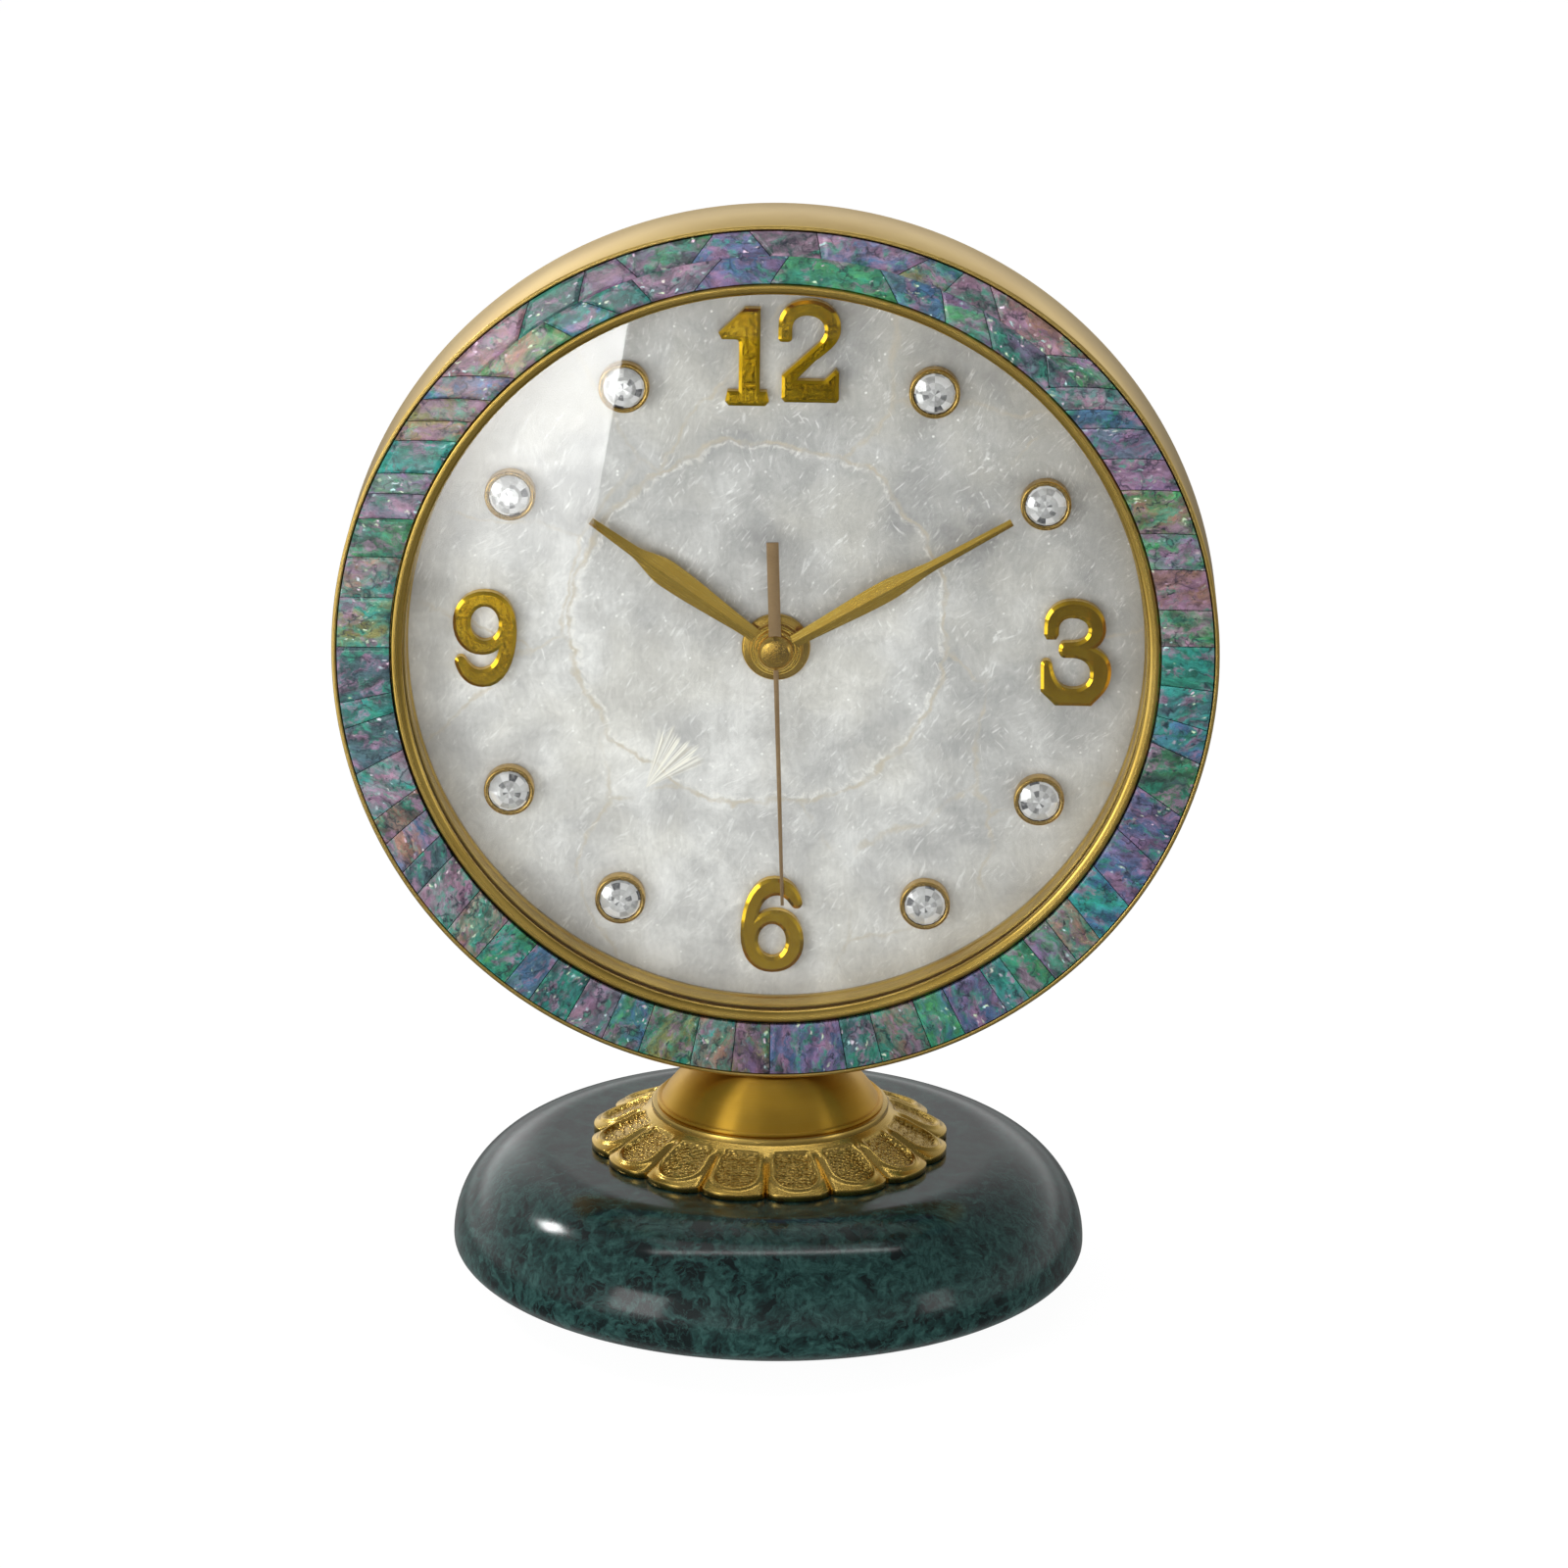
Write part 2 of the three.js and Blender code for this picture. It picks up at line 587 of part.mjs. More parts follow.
/** Stone base: a pebble profile with a bore and a counterbore from below. */
function marbleBase() {
  const bore = ROD_RADIUS + SLIP;
  const equator = [BASE_RADIUS, BASE_BOTTOM + BASE_EQUATOR];
  const roof = BASE_BOTTOM + COUNTERBORE_DEPTH;
  return upright(ring([
    [COUNTERBORE_RADIUS, BASE_BOTTOM],
    [BASE_FOOT_RADIUS, BASE_BOTTOM],
    ...quarter([BASE_FOOT_RADIUS, BASE_BOTTOM], equator, BASE_STEPS, false),
    ...quarter(equator, [BASE_TOP_RADIUS, BASE_TOP], BASE_STEPS, true),
    [bore, BASE_TOP],
    [bore, roof],
    [COUNTERBORE_RADIUS, roof],
  ], STONE_SIDES));
}

/** Petal collar: a flared shell with a scalloped edge and a crease between petals. */
function petalCollar() {
  const bore = ROD_RADIUS + SLIP;
  const count = PETALS * PETAL_STEPS;
  const angles = Array.from({ length: count }, (_, i) => -Math.PI / 2 + (i * 2 * Math.PI) / count);
  const section = (angle) => {
    const turn = ((angle + Math.PI / 2) * PETALS) / (2 * Math.PI);
    const across = 2 * (turn - Math.floor(turn + 1e-6)) - 1;
    const bulge = Math.sqrt(Math.max(0, 1 - across * across));
    const tip = COLLAR_TIP_RADIUS - PETAL_NOTCH * (1 - bulge);
    const start = new THREE.Vector2(COLLAR_RING_RADIUS, COLLAR_HEIGHT - COLLAR_RING);
    const pull = new THREE.Vector2(COLLAR_RING_RADIUS + COLLAR_FLARE[0], COLLAR_EDGE + COLLAR_FLARE[1]);
    const skirt = new THREE.QuadraticBezierCurve(start, pull, new THREE.Vector2(tip, COLLAR_EDGE));
    const sunk = PETAL_CREASE * (1 - bulge);
    const outer = [1 / 3, 2 / 3].map((t) => skirt.getPoint(t)).map(({ x, y }) => [x, y - sunk]);
    return [
      [bore, COLLAR_HEIGHT],
      [COLLAR_RING_RADIUS, COLLAR_HEIGHT],
      start.toArray(),
      ...outer,
      [tip, COLLAR_EDGE],
      [tip, 0],
      [COLLAR_TIP_RADIUS - PETAL_NOTCH - COLLAR_FOOT, 0],
      [COLLAR_RING_RADIUS - COLLAR_ROOF, COLLAR_HEIGHT - COLLAR_ROOF],
      [bore, COLLAR_HEIGHT - COLLAR_ROOF],
    ];
  };
  return modulated(angles, section).translate(0, 0, COLLAR_BOTTOM);
}

/** Neck: a turned cone with a bore, cut on top to saddle the drum. */
function neck() {
  const bore = ROD_RADIUS + SLIP;
  const top = NECK_HEIGHT + NECK_TOP_RADIUS / 4;
  const profile = [
    [bore, 0],
    [NECK_RADIUS, 0],
    [NECK_RADIUS, NECK_RIM],
    [NECK_SHOULDER_RADIUS, NECK_SHOULDER],
    [NECK_TOP_RADIUS, NECK_HEIGHT],
    [NECK_TOP_RADIUS, top],
    [bore, top],
  ];
  const cone = upright(ring(profile, STONE_SIDES)).translate(0, 0, NECK_BOTTOM);
  const reach = 2 * NECK_RADIUS;
  const drum = bar([0, DRUM_CENTRE], DRUM_RADIUS + SADDLE, -reach, reach, DRUM_SIDES);
  return cut(cone, drum);
}

/** Tie rod from the counterbore of the stone up into the stud boss of the drum. */
function tieRod() {
  const bottom = BASE_BOTTOM + COUNTERBORE_DEPTH - NUT_FLANGE - NUT_HEIGHT - ROD_TAIL;
  const top = DRUM_CENTRE - BOSS_INNER - RUNNING;
  return upright(bar([0, 0], ROD_RADIUS, bottom, top, SMALL_SIDES));
}

/** Flanged nut on the tie rod, up against the roof of the counterbore. */
function tieNut() {
  const roof = BASE_BOTTOM + COUNTERBORE_DEPTH - SEAT;
  const step = roof - NUT_FLANGE;
  const flange = upright(bar([0, 0], NUT_FLANGE_RADIUS, step, roof, TURNED_SIDES));
  const hexagon = upright(bar([0, 0], NUT_RADIUS, step - NUT_HEIGHT, roof - NUT_FLANGE / 2, 6));
  const bore = upright(bar([0, 0], ROD_RADIUS + SLIP, 0, BASE_TOP, SMALL_SIDES));
  return cut(join(flange, hexagon), bore);
}

/** Drum wall with its front web and lip, the boss for the tie rod and the lugs for the back screws. */
function caseBand() {
  const seat = PLATE_FRONT - SEAT;
  const rebate = PLATE_RADIUS + SLIP;
  const wall = ring([
    [DRUM_RADIUS, FRONT],
    [DRUM_RADIUS, BACK],
    [rebate, BACK],
    [rebate, seat],
    [BAND_INNER, seat],
    [BAND_INNER, WEB_BACK],
    [WEB_HOLE, WEB_BACK],
    [WEB_HOLE, WEB_FRONT],
    [LIP_INNER, WEB_FRONT],
    [LIP_INNER, FRONT],
  ], DRUM_SIDES);
  const buried = BAND_INNER + BAND_WALL / 2;
  const boss = upright(bar([0, 0], STUD_BOSS_RADIUS, -buried, -BOSS_INNER, SMALL_SIDES));
  const stud = upright(bar([0, 0], ROD_RADIUS + SLIP, -2 * DRUM_RADIUS, -BOSS_INNER / 2, SMALL_SIDES));
  const lug = block([BOSS_INNER, seat - LUG_LENGTH, -LUG_WIDTH / 2], [buried, seat, LUG_WIDTH / 2]);
  const lugs = LUG_ANGLES.map((angle) => lug.clone().rotateY(-THREE.MathUtils.degToRad(angle)));
  const holes = LUG_ANGLES.map((angle) => (
    bar(stepFrom(HAND_AXIS, angle, SCREW_CIRCLE), SCREW_RADIUS + SLIP, WEB_BACK, BACK)
  ));
  return cut(join(wall, boss, ...lugs), stud, ...holes);
}

/** Ring of shell tiles: flat tops with a shallow seam between one tile and the next. */
function inlayRing() {
  const pitch = (2 * Math.PI) / TILES;
  const seam = SEAM_WIDTH / INLAY_OUTER;
  const stations = [0, seam, pitch - seam];
  const angles = Array.from({ length: TILES }, (_, i) => stations.map((station) => i * pitch + station));
  const section = (angle) => {
    const inSeam = Math.abs(angle / pitch - Math.round(angle / pitch)) * pitch < seam / 2;
    const top = -INLAY_FRONT - (inSeam ? SEAM_DEPTH : 0);
    return [[INLAY_INNER, -INLAY_BACK], [INLAY_OUTER, -INLAY_BACK], [INLAY_OUTER, top], [INLAY_INNER, top]];
  };
  return upright(modulated(angles.flat(), section));
}

/** Sight ring: a rounded face that slopes in to the glass, and a spigot through the web. */
function sightRing() {
  const round = SIGHT_ROUND;
  return ring([
    [SIGHT_OPENING, SIGHT_LIP_BACK],
    [SIGHT_OPENING, SIGHT_LIP_BACK - round],
    [SIGHT_OUTER - 2 * round, SIGHT_CREST],
    [SIGHT_OUTER - round, SIGHT_CREST],
    [SIGHT_OUTER, SIGHT_CREST + round],
    [SIGHT_OUTER, WEB_FRONT - SEAT],
    [SPIGOT_OUTER, WEB_FRONT - SEAT],
    [SPIGOT_OUTER, WEB_BACK],
    [GLASS_SEAT, WEB_BACK],
    [GLASS_SEAT, SIGHT_LIP_BACK],
  ], DRUM_SIDES);
}

/** Flat glass in the sight ring. */
function glass() {
  return bar(HAND_AXIS, GLASS_RADIUS, GLASS_FRONT, GLASS_BACK, DRUM_SIDES);
}

/** Spacer ring between glass and dial. */
function spacerRing() {
  return band(DIAL_RIM, SPACER_OUTER, SPACER_FRONT, SPACER_BACK, DRUM_SIDES);
}

/** Back plate with a cut-out round the movement, screw holes and pillars that press on the dial. */
function backPlate() {
  const disc = bar(HAND_AXIS, PLATE_RADIUS, PLATE_FRONT, PLATE_BACK, DRUM_SIDES);
  const opening = plate(caseOutline(CUTOUT_GAP), PLATE_FRONT - 1, PLATE_BACK + 1);
  const holes = LUG_ANGLES.map((angle) => (
    bar(stepFrom(HAND_AXIS, angle, SCREW_CIRCLE), SCREW_RADIUS + SLIP, PLATE_FRONT - 1, PLATE_BACK + 1)
  ));
  const middle = (PLATE_FRONT + PLATE_BACK) / 2;
  const pillars = PILLAR_ANGLES.map((angle) => (
    bar(stepFrom(HAND_AXIS, angle, PILLAR_CIRCLE), PILLAR_RADIUS, DIAL_BACK + SEAT, middle, PIN_SIDES)
  ));
  return join(cut(disc, opening, ...holes), ...pillars);
}

/** Slotted screw through the back plate into a lug. */
function backScrew(angle) {
  const place = stepFrom(HAND_AXIS, angle, SCREW_CIRCLE);
  const under = PLATE_BACK + SEAT;
  const top = under + SCREW_HEAD;
  const head = bar(place, SCREW_HEAD_RADIUS, under, top, SMALL_SIDES);
  const shank = bar(place, SCREW_RADIUS, under - SCREW_LENGTH, under + SCREW_HEAD / 2);
  const [x, z] = place;
  const slot = block(
    [x - SCREW_HEAD_RADIUS - 1, top - SCREW_HEAD / 2, z - SCREW_SLOT / 2],
    [x + SCREW_HEAD_RADIUS + 1, top + 1, z + SCREW_SLOT / 2],
  );
  return cut(join(head, shank), slot);
}

/** Shell-faced dial board with a hole for the bush. */
function dial() {
  return band(BUSH_RADIUS + SLIP, DIAL_RADIUS, DIAL_FRONT, DIAL_BACK, DRUM_SIDES);
}

/** Cup of an hour marker, about the origin with its foot at zero. */
function markerCup() {
  const inner = CUP_RADIUS - CUP_LIP;
  return turned([
    [0, 0],
    [CUP_RADIUS, 0],
    [CUP_RADIUS, -CUP_HEIGHT],
    [inner, -CUP_HEIGHT],
    [inner, -CUP_FLOOR],
    [0, -CUP_FLOOR],
  ], SMALL_SIDES);
}

/** Faceted crystal of an hour marker, about the origin with the cup's foot at zero. */
function markerCrystal() {
  const table = -CUP_HEIGHT - CRYSTAL_RISE;
  const girdle = CUP_RADIUS - CUP_LIP - SLIP;
  const back = -CUP_FLOOR - SEAT;
  return turned([
    [0, table],
    [CRYSTAL_TABLE_RADIUS, table],
    [girdle, table + CRYSTAL_CROWN],
    [CRYSTAL_BACK_RADIUS, back],
    [0, back],
  ], CRYSTAL_SIDES);
}

/** Outline of the digit 1: flag, stem and slab foot. */
function digitOne() {
  const shape = new THREE.Shape();
  shape.moveTo(-4.3, 0.8);
  shape.lineTo(-3.6, 0);
  shape.lineTo(2.9, 0);
  shape.lineTo(3.6, 0.8);
  shape.lineTo(3.2, 2.7);
  shape.lineTo(1.9, 2.7);
  shape.lineTo(1.9, 18);
  shape.lineTo(-0.9, 18);
  shape.lineTo(-5.6, 13.4);
  shape.lineTo(-5, 12.2);
  shape.lineTo(-2.6, 12.2);
  shape.quadraticCurveTo(-1.9, 12.2, -1.9, 11.4);
  shape.lineTo(-1.9, 2.7);
  shape.lineTo(-3.9, 2.7);
  shape.closePath();
  return shape;
}

/** Outline of the digit 2: hook, bowl, diagonal and foot. */
function digitTwo() {
  const shape = new THREE.Shape();
  shape.moveTo(-5.6, 12);
  shape.lineTo(-5.6, 14);
  shape.bezierCurveTo(-5.6, 17.2, -3.2, 18.9, -0.2, 18.9);
  shape.bezierCurveTo(3.2, 18.9, 5.6, 16.8, 5.6, 13.7);
  shape.bezierCurveTo(5.6, 11, 3.4, 9.5, 0.9, 7.5);
  shape.lineTo(-2.3, 4.1);
  shape.lineTo(2.7, 4.1);
  shape.lineTo(4.8, 6.2);
  shape.lineTo(5.4, 5.5);
  shape.lineTo(5.4, 0.5);
  shape.lineTo(4.9, 0);
  shape.lineTo(-4.3, 0);
  shape.lineTo(-4.9, 0.7);
  shape.lineTo(-4.9, 4.9);
  shape.lineTo(0.1, 9.6);
  shape.bezierCurveTo(1.9, 11.2, 2.7, 12, 2.7, 13.4);
  shape.bezierCurveTo(2.7, 15, 1.3, 16, -0.4, 16);
  shape.bezierCurveTo(-2.2, 16, -3.1, 15, -3.1, 13.4);
  shape.lineTo(-3.1, 12);
  shape.quadraticCurveTo(-3.1, 11.1, -4, 11.1);
  shape.lineTo(-4.7, 11.1);
  shape.quadraticCurveTo(-5.6, 11.1, -5.6, 12);
  return shape;
}

/** Outline of the digit 3: two bowls, a short arm and a flat foot. */
function digitThree() {
  const shape = new THREE.Shape();
  shape.moveTo(-5.9, 13.3);
  shape.lineTo(-5.9, 15);
  shape.bezierCurveTo(-5.9, 18, -3.6, 19.8, -0.6, 19.8);
  shape.bezierCurveTo(3, 19.8, 5.3, 17.6, 5.3, 14.6);
  shape.bezierCurveTo(5.3, 12.9, 4.6, 11.7, 3.4, 10.9);
  shape.bezierCurveTo(5.3, 10, 6.4, 8.6, 6.4, 6.6);
  shape.bezierCurveTo(6.4, 4.6, 5.8, 3.2, 4.8, 2.1);
  shape.lineTo(2.9, 0);
  shape.lineTo(-3.6, 0);
  shape.lineTo(-6.3, 2.6);
  shape.lineTo(-6.4, 7.6);
  shape.bezierCurveTo(-6.4, 8.7, -4.7, 8.9, -4.3, 7.8);
  shape.bezierCurveTo(-3.9, 5, -2.9, 3.2, -0.6, 3.2);
  shape.bezierCurveTo(1.4, 3.2, 2.6, 4.4, 2.6, 6);
  shape.bezierCurveTo(2.6, 7.9, 1.3, 8.9, -0.6, 9);
  shape.lineTo(-2.2, 9);
  shape.bezierCurveTo(-3.5, 9.2, -3.5, 11.6, -2.4, 11.9);
  shape.lineTo(-0.6, 12);
  shape.bezierCurveTo(1.2, 12.1, 2.1, 13.1, 2.1, 14.4);
  shape.bezierCurveTo(2.1, 15.7, 0.8, 16.5, -0.8, 16.5);
  shape.bezierCurveTo(-2.4, 16.5, -3.2, 15.6, -3.2, 14.2);
  shape.lineTo(-3.2, 13.3);
  shape.lineTo(-3.7, 12.4);
  shape.lineTo(-5.4, 12.4);
  shape.closePath();
  return shape;
}

/** Outline of the digit 6: a round bowl and a curled tail. */
function digitSix() {
  const shape = new THREE.Shape();
  shape.moveTo(0, 0);
  shape.bezierCurveTo(3.4, 0, 5.8, 2.5, 5.8, 5.9);
  shape.bezierCurveTo(5.8, 9.4, 3.7, 12, 0.6, 12);
  shape.bezierCurveTo(-0.6, 12, -1.7, 11.6, -2.5, 10.9);
  shape.bezierCurveTo(-2.2, 13.2, -0.9, 14.8, 0.9, 14.8);
  shape.bezierCurveTo(2.1, 14.8, 2.8, 13.8, 3.5, 12.8);
  shape.bezierCurveTo(4.2, 11.8, 5.8, 12.5, 5.4, 13.7);
  shape.bezierCurveTo(4.7, 16.4, 2.9, 18.1, 0.3, 18.1);
  shape.bezierCurveTo(-3.6, 18.1, -5.8, 13.4, -5.8, 7.4);
  shape.bezierCurveTo(-5.8, 2.6, -3.4, 0, 0, 0);
  const counter = new THREE.Path();
  counter.absellipse(0, 6.1, 2.55, 3.2, 0, 2 * Math.PI);
  shape.holes.push(counter);
  return shape;
}

/** Applied digit on the dial, turned half round for a 9. */
function numeral(shape, [x, z], turn = 0) {
  const front = DIAL_FRONT - SEAT - NUMERAL_THICKNESS;
  const digit = plate(shape, front, DIAL_FRONT - SEAT).scale(DIGIT_UNIT, 1, DIGIT_UNIT);
  return digit.rotateY(turn).translate(x, 0, z);
}

/** Half width of a leaf-shaped hand at a distance from its axis. */
function leafHalf(distance, length, belly, rootWidth, width) {
  const inner = THREE.MathUtils.smoothstep(distance, 0, belly);
  const outer = THREE.MathUtils.smoothstep(distance, belly, length);
  const swollen = rootWidth + (width - rootWidth) * inner;
  return (swollen + (HAND_TIP_WIDTH - width) * outer) / 2;
}

/** Leaf-shaped blade towards +Z with a ridge along the middle of its front. */
function leafBlade(start, length, belly, rootWidth, width, back, thickness) {
  const sections = Array.from({ length: HAND_STEPS + 1 }, (_, i) => {
    const distance = start + ((length - start) * i) / HAND_STEPS;
    const half = leafHalf(distance, length, belly, rootWidth, width);
    return [
      [-half, back, distance],
      [half, back, distance],
      [half, back - HAND_EDGE, distance],
      [0, back - thickness, distance],
      [-half, back - HAND_EDGE, distance],
    ];
  });
  const sides = sections[0].length;
  const index = [];
  for (let i = 0; i < HAND_STEPS; i += 1) {
    for (let k = 0; k < sides; k += 1) {
      const [a, b] = [i * sides + k, i * sides + ((k + 1) % sides)];
      index.push(a, b, b + sides, a, b + sides, a + sides);
    }
  }
  const last = HAND_STEPS * sides;
  for (let k = 1; k < sides - 1; k += 1) {
    index.push(0, k + 1, k, last, last + k, last + k + 1);
  }
  const geometry = new THREE.BufferGeometry();
  geometry.setAttribute('position', new THREE.Float32BufferAttribute(sections.flat(2), 3));
  geometry.setIndex(index);
  return weld(geometry);
}

/** Leaf-shaped hand with its hub on a pipe, pointing up. */
function leafHand({ pipe, length, belly, rootWidth, width, back, thickness }) {
  const bore = pipe + SLIP / 2;
  const hub = bar(HAND_AXIS, bore + HUB_WALL, back - thickness, back, TURNED_SIDES);
  const blade = leafBlade(bore, length, belly, rootWidth, width, back, thickness);
  return cut(join(hub, blade), bar(HAND_AXIS, bore, back - 2 * thickness, back + thickness, TURNED_SIDES));
}

/** Second hand: thin blade, broad tail and a round cap on its arbor, pointing up. */
function secondHand() {
  const strip = (width, z0, z1) => block(
    [-width / 2, SECOND_BACK - SECOND_THICKNESS, z0],
    [width / 2, SECOND_BACK, z1],
  );
  const cap = bar(HAND_AXIS, CAP_RADIUS, CAP_FRONT, SECOND_BACK, TURNED_SIDES);
  const socket = bar(HAND_AXIS, SECONDS_ARBOR + SLIP / 2, CAP_FRONT + CAP_HEIGHT / 3, SECOND_BACK + 1);
  const blade = strip(SECOND_WIDTH, 0, SECOND_LENGTH);
  const tail = strip(SECOND_TAIL_WIDTH, -SECOND_TAIL, 0);
  return cut(join(cap, blade, tail), socket);
}

/** Round nut on the bush, with a sloped edge. */
function dialNut() {
  const bore = BUSH_RADIUS + SLIP / 2;
  return ring([
    [bore, NUT_BACK],
    [DIAL_NUT_RADIUS, NUT_BACK],
    [DIAL_NUT_RADIUS, NUT_FRONT + DIAL_NUT_CHAMFER],
    [DIAL_NUT_RADIUS - DIAL_NUT_CHAMFER, NUT_FRONT],
    [bore, NUT_FRONT],
  ], TURNED_SIDES);
}

/** Outline of the movement case, grown by a margin. */
function caseOutline(margin = 0) {
  return roundedRectangle(
    -CASE_HALF - margin,
    CASE_BOTTOM - margin,
    CASE_HALF + margin,
    CASE_TOP + margin,
    CASE_CORNER + margin,
  );
}

/** Front case: plate, threaded bush, stud of the minute wheel and blind pivot holes. */
function movementFront() {
  const face = plate(caseOutline(), MOVEMENT_FRONT, CHAMBER_FRONT);
  const bush = bar(HAND_AXIS, BUSH_RADIUS, BUSH_FRONT, CHAMBER_FRONT - CASE_FRONT / 2, TURNED_SIDES);
  const stud = bar(MINUTE_WHEEL_AXIS, STUD_RADIUS, CHAMBER_FRONT - CASE_FRONT / 2, layer(1).back);
  const bore = bar(HAND_AXIS, BUSH_BORE, BUSH_FRONT - 1, CHAMBER_FRONT + 1, TURNED_SIDES);
  const setHole = bar(SET_AXIS, SET_ARBOR_RADIUS + SLIP, CHAMBER_FRONT - PIVOT_DEPTH, CHAMBER_FRONT + 1);
  const thirdHole = bar(THIRD_AXIS, ARBOR_RADIUS + SLIP, CHAMBER_FRONT - PIVOT_DEPTH, CHAMBER_FRONT + 1);
  return cut(join(face, bush, stud), bore, setHole, thirdHole);
}

/** Rear case: gear chamber open to the front, battery bay open to the back, pivot holes in the back wall. */
function movementRear() {
  const start = CHAMBER_FRONT + SEAT;
  const box = plate(caseOutline(), start, MOVEMENT_BACK);
  const chamber = block([-BAY_HALF, start - 1, CHAMBER_BOTTOM], [BAY_HALF, CHAMBER_BACK, CHAMBER_TOP]);
  const bay = block([-BAY_HALF, start - 1, BAY_BOTTOM], [BAY_HALF, MOVEMENT_BACK + 1, BAY_TOP]);
  const pivots = [HAND_AXIS, INTERMEDIATE_AXIS, ROTOR_AXIS].map((axis) => (
    bar(axis, PIVOT_RADIUS + SLIP, CHAMBER_BACK - 1, CHAMBER_BACK + PIVOT_DEPTH)
  ));
  const setHole = bar(SET_AXIS, SET_ARBOR_RADIUS + SLIP, CHAMBER_BACK - 1, MOVEMENT_BACK + 1);
  return cut(box, chamber, bay, setHole, ...pivots);
}

/** Places of the two posts that carry the stator. */
function statorPosts() {
  const reach = STATOR_HALF_SPAN - STATOR_LEG / 2;
  const z = COIL_Z - COIL_CORE[1] / 2 - POST_RADIUS - RUNNING;
  return [[ROTOR_AXIS[0] - reach, z], [ROTOR_AXIS[0] + reach, z]];
}

/** Middle plate on four corner posts, with pivot holes and two posts for the stator. */
function middlePlate() {
  const low = [-BAY_HALF + SLIP, PLATE_2_FRONT, CHAMBER_BOTTOM + SLIP];
  const high = [BAY_HALF - SLIP, PLATE_2_BACK, CHAMBER_TOP - SLIP];
  const sheet = block(low, high);
  const middle = (PLATE_2_FRONT + PLATE_2_BACK) / 2;
  const corners = [low[0] + POST_INSET, high[0] - POST_INSET].flatMap((x) => (
    [low[2] + POST_INSET, high[2] - POST_INSET].map((z) => [x, z])
  ));
  const posts = corners.map((place) => bar(place, POST_RADIUS, CHAMBER_FRONT + SEAT, middle));
  const rests = statorPosts().map((place) => bar(place, POST_RADIUS, middle, STATOR_FRONT - SEAT));
  const through = [
    bar(HAND_AXIS, SECONDS_ARBOR + SLIP, PLATE_2_FRONT - 1, PLATE_2_BACK + 1),
    bar(SET_AXIS, SET_ARBOR_RADIUS + SLIP, PLATE_2_FRONT - 1, PLATE_2_BACK + 1),
    bar(THIRD_AXIS, ARBOR_RADIUS + SLIP, PLATE_2_FRONT - 1, PLATE_2_FRONT + PIVOT_DEPTH),
  ];
  const blind = [INTERMEDIATE_AXIS, ROTOR_AXIS].map((axis) => (
    bar(axis, PIVOT_RADIUS + SLIP, PLATE_2_BACK - PIVOT_DEPTH, PLATE_2_BACK + 1)
  ));
  return cut(join(sheet, ...posts, ...rests), ...through, ...blind);
}

/** Circuit board with its chip, on the middle plate. */
function circuitBoard() {
  const front = PLATE_2_BACK + SEAT;
  const back = front + BOARD_THICKNESS;
  const low = [BOARD_START, front, CHAMBER_BOTTOM + BOARD_INSET];
  const high = [BAY_HALF - BOARD_INSET, back, CHAMBER_BOTTOM + BOARD_INSET + BOARD_HEIGHT];
  const [x, z] = [(low[0] + high[0]) / 2, (low[2] + high[2]) / 2];
  const chip = block(
    [x - CHIP_SIZE / 2, back - BOARD_THICKNESS / 2, z - CHIP_SIZE / 2],
    [x + CHIP_SIZE / 2, back + CHIP_HEIGHT, z + CHIP_SIZE / 2],
  );
  return join(block(low, high), chip);
}

/** Stator: a yoke round the rotor with a leg to each end of the coil's core. */
function stator() {
  const [x, z] = ROTOR_AXIS;
  const shape = new THREE.Shape();
  const top = COIL_Z + COIL_CORE[1] / 2;
  const shoulder = z + STATOR_HEAD_RADIUS + 1;
  const waist = STATOR_HALF_SPAN - STATOR_LEG;
  shape.moveTo(x - STATOR_HEAD_RADIUS, z - STATOR_HEAD_RADIUS);
  shape.lineTo(x + STATOR_HEAD_RADIUS, z - STATOR_HEAD_RADIUS);
  shape.lineTo(x + STATOR_HALF_SPAN, shoulder);
  shape.lineTo(x + STATOR_HALF_SPAN, top);
  shape.lineTo(x + waist, top);
  shape.lineTo(x + waist, shoulder);
  shape.lineTo(x - waist, shoulder);
  shape.lineTo(x - waist, top);
  shape.lineTo(x - STATOR_HALF_SPAN, top);
  shape.lineTo(x - STATOR_HALF_SPAN, shoulder);
  shape.closePath();
  const yoke = plate(shape, STATOR_FRONT, STATOR_FRONT + STATOR_THICKNESS);
  const room = MAGNET_RADIUS + MAGNET_GAP;
  return cut(yoke, bar(ROTOR_AXIS, room, STATOR_FRONT - 1, MAGNET_BACK + 1, SMALL_SIDES));
}

/** Coil: core bar, winding and two flanges, its core ends against the stator's legs. */
function coil() {
  const [thickness, height] = COIL_CORE;
  const back = STATOR_FRONT - SEAT;
  const axisY = back - thickness / 2;
  const x = ROTOR_AXIS[0];
  const core = block(
    [x - STATOR_HALF_SPAN, back - thickness, COIL_Z - height / 2],
    [x + STATOR_HALF_SPAN, back, COIL_Z + height / 2],
  );
  const half = STATOR_HALF_SPAN - STATOR_LEG - RUNNING;
  const round = (radius, x0, x1) => bar([0, 0], radius, x0, x1, SMALL_SIDES)
    .rotateZ(-Math.PI / 2)
    .translate(x, axisY, COIL_Z);
  return join(
    core,
    round(COIL_RADIUS, -half, half),
    round(COIL_FLANGE_RADIUS, -half, -half + COIL_FLANGE),
    round(COIL_FLANGE_RADIUS, half - COIL_FLANGE, half),
  );
}

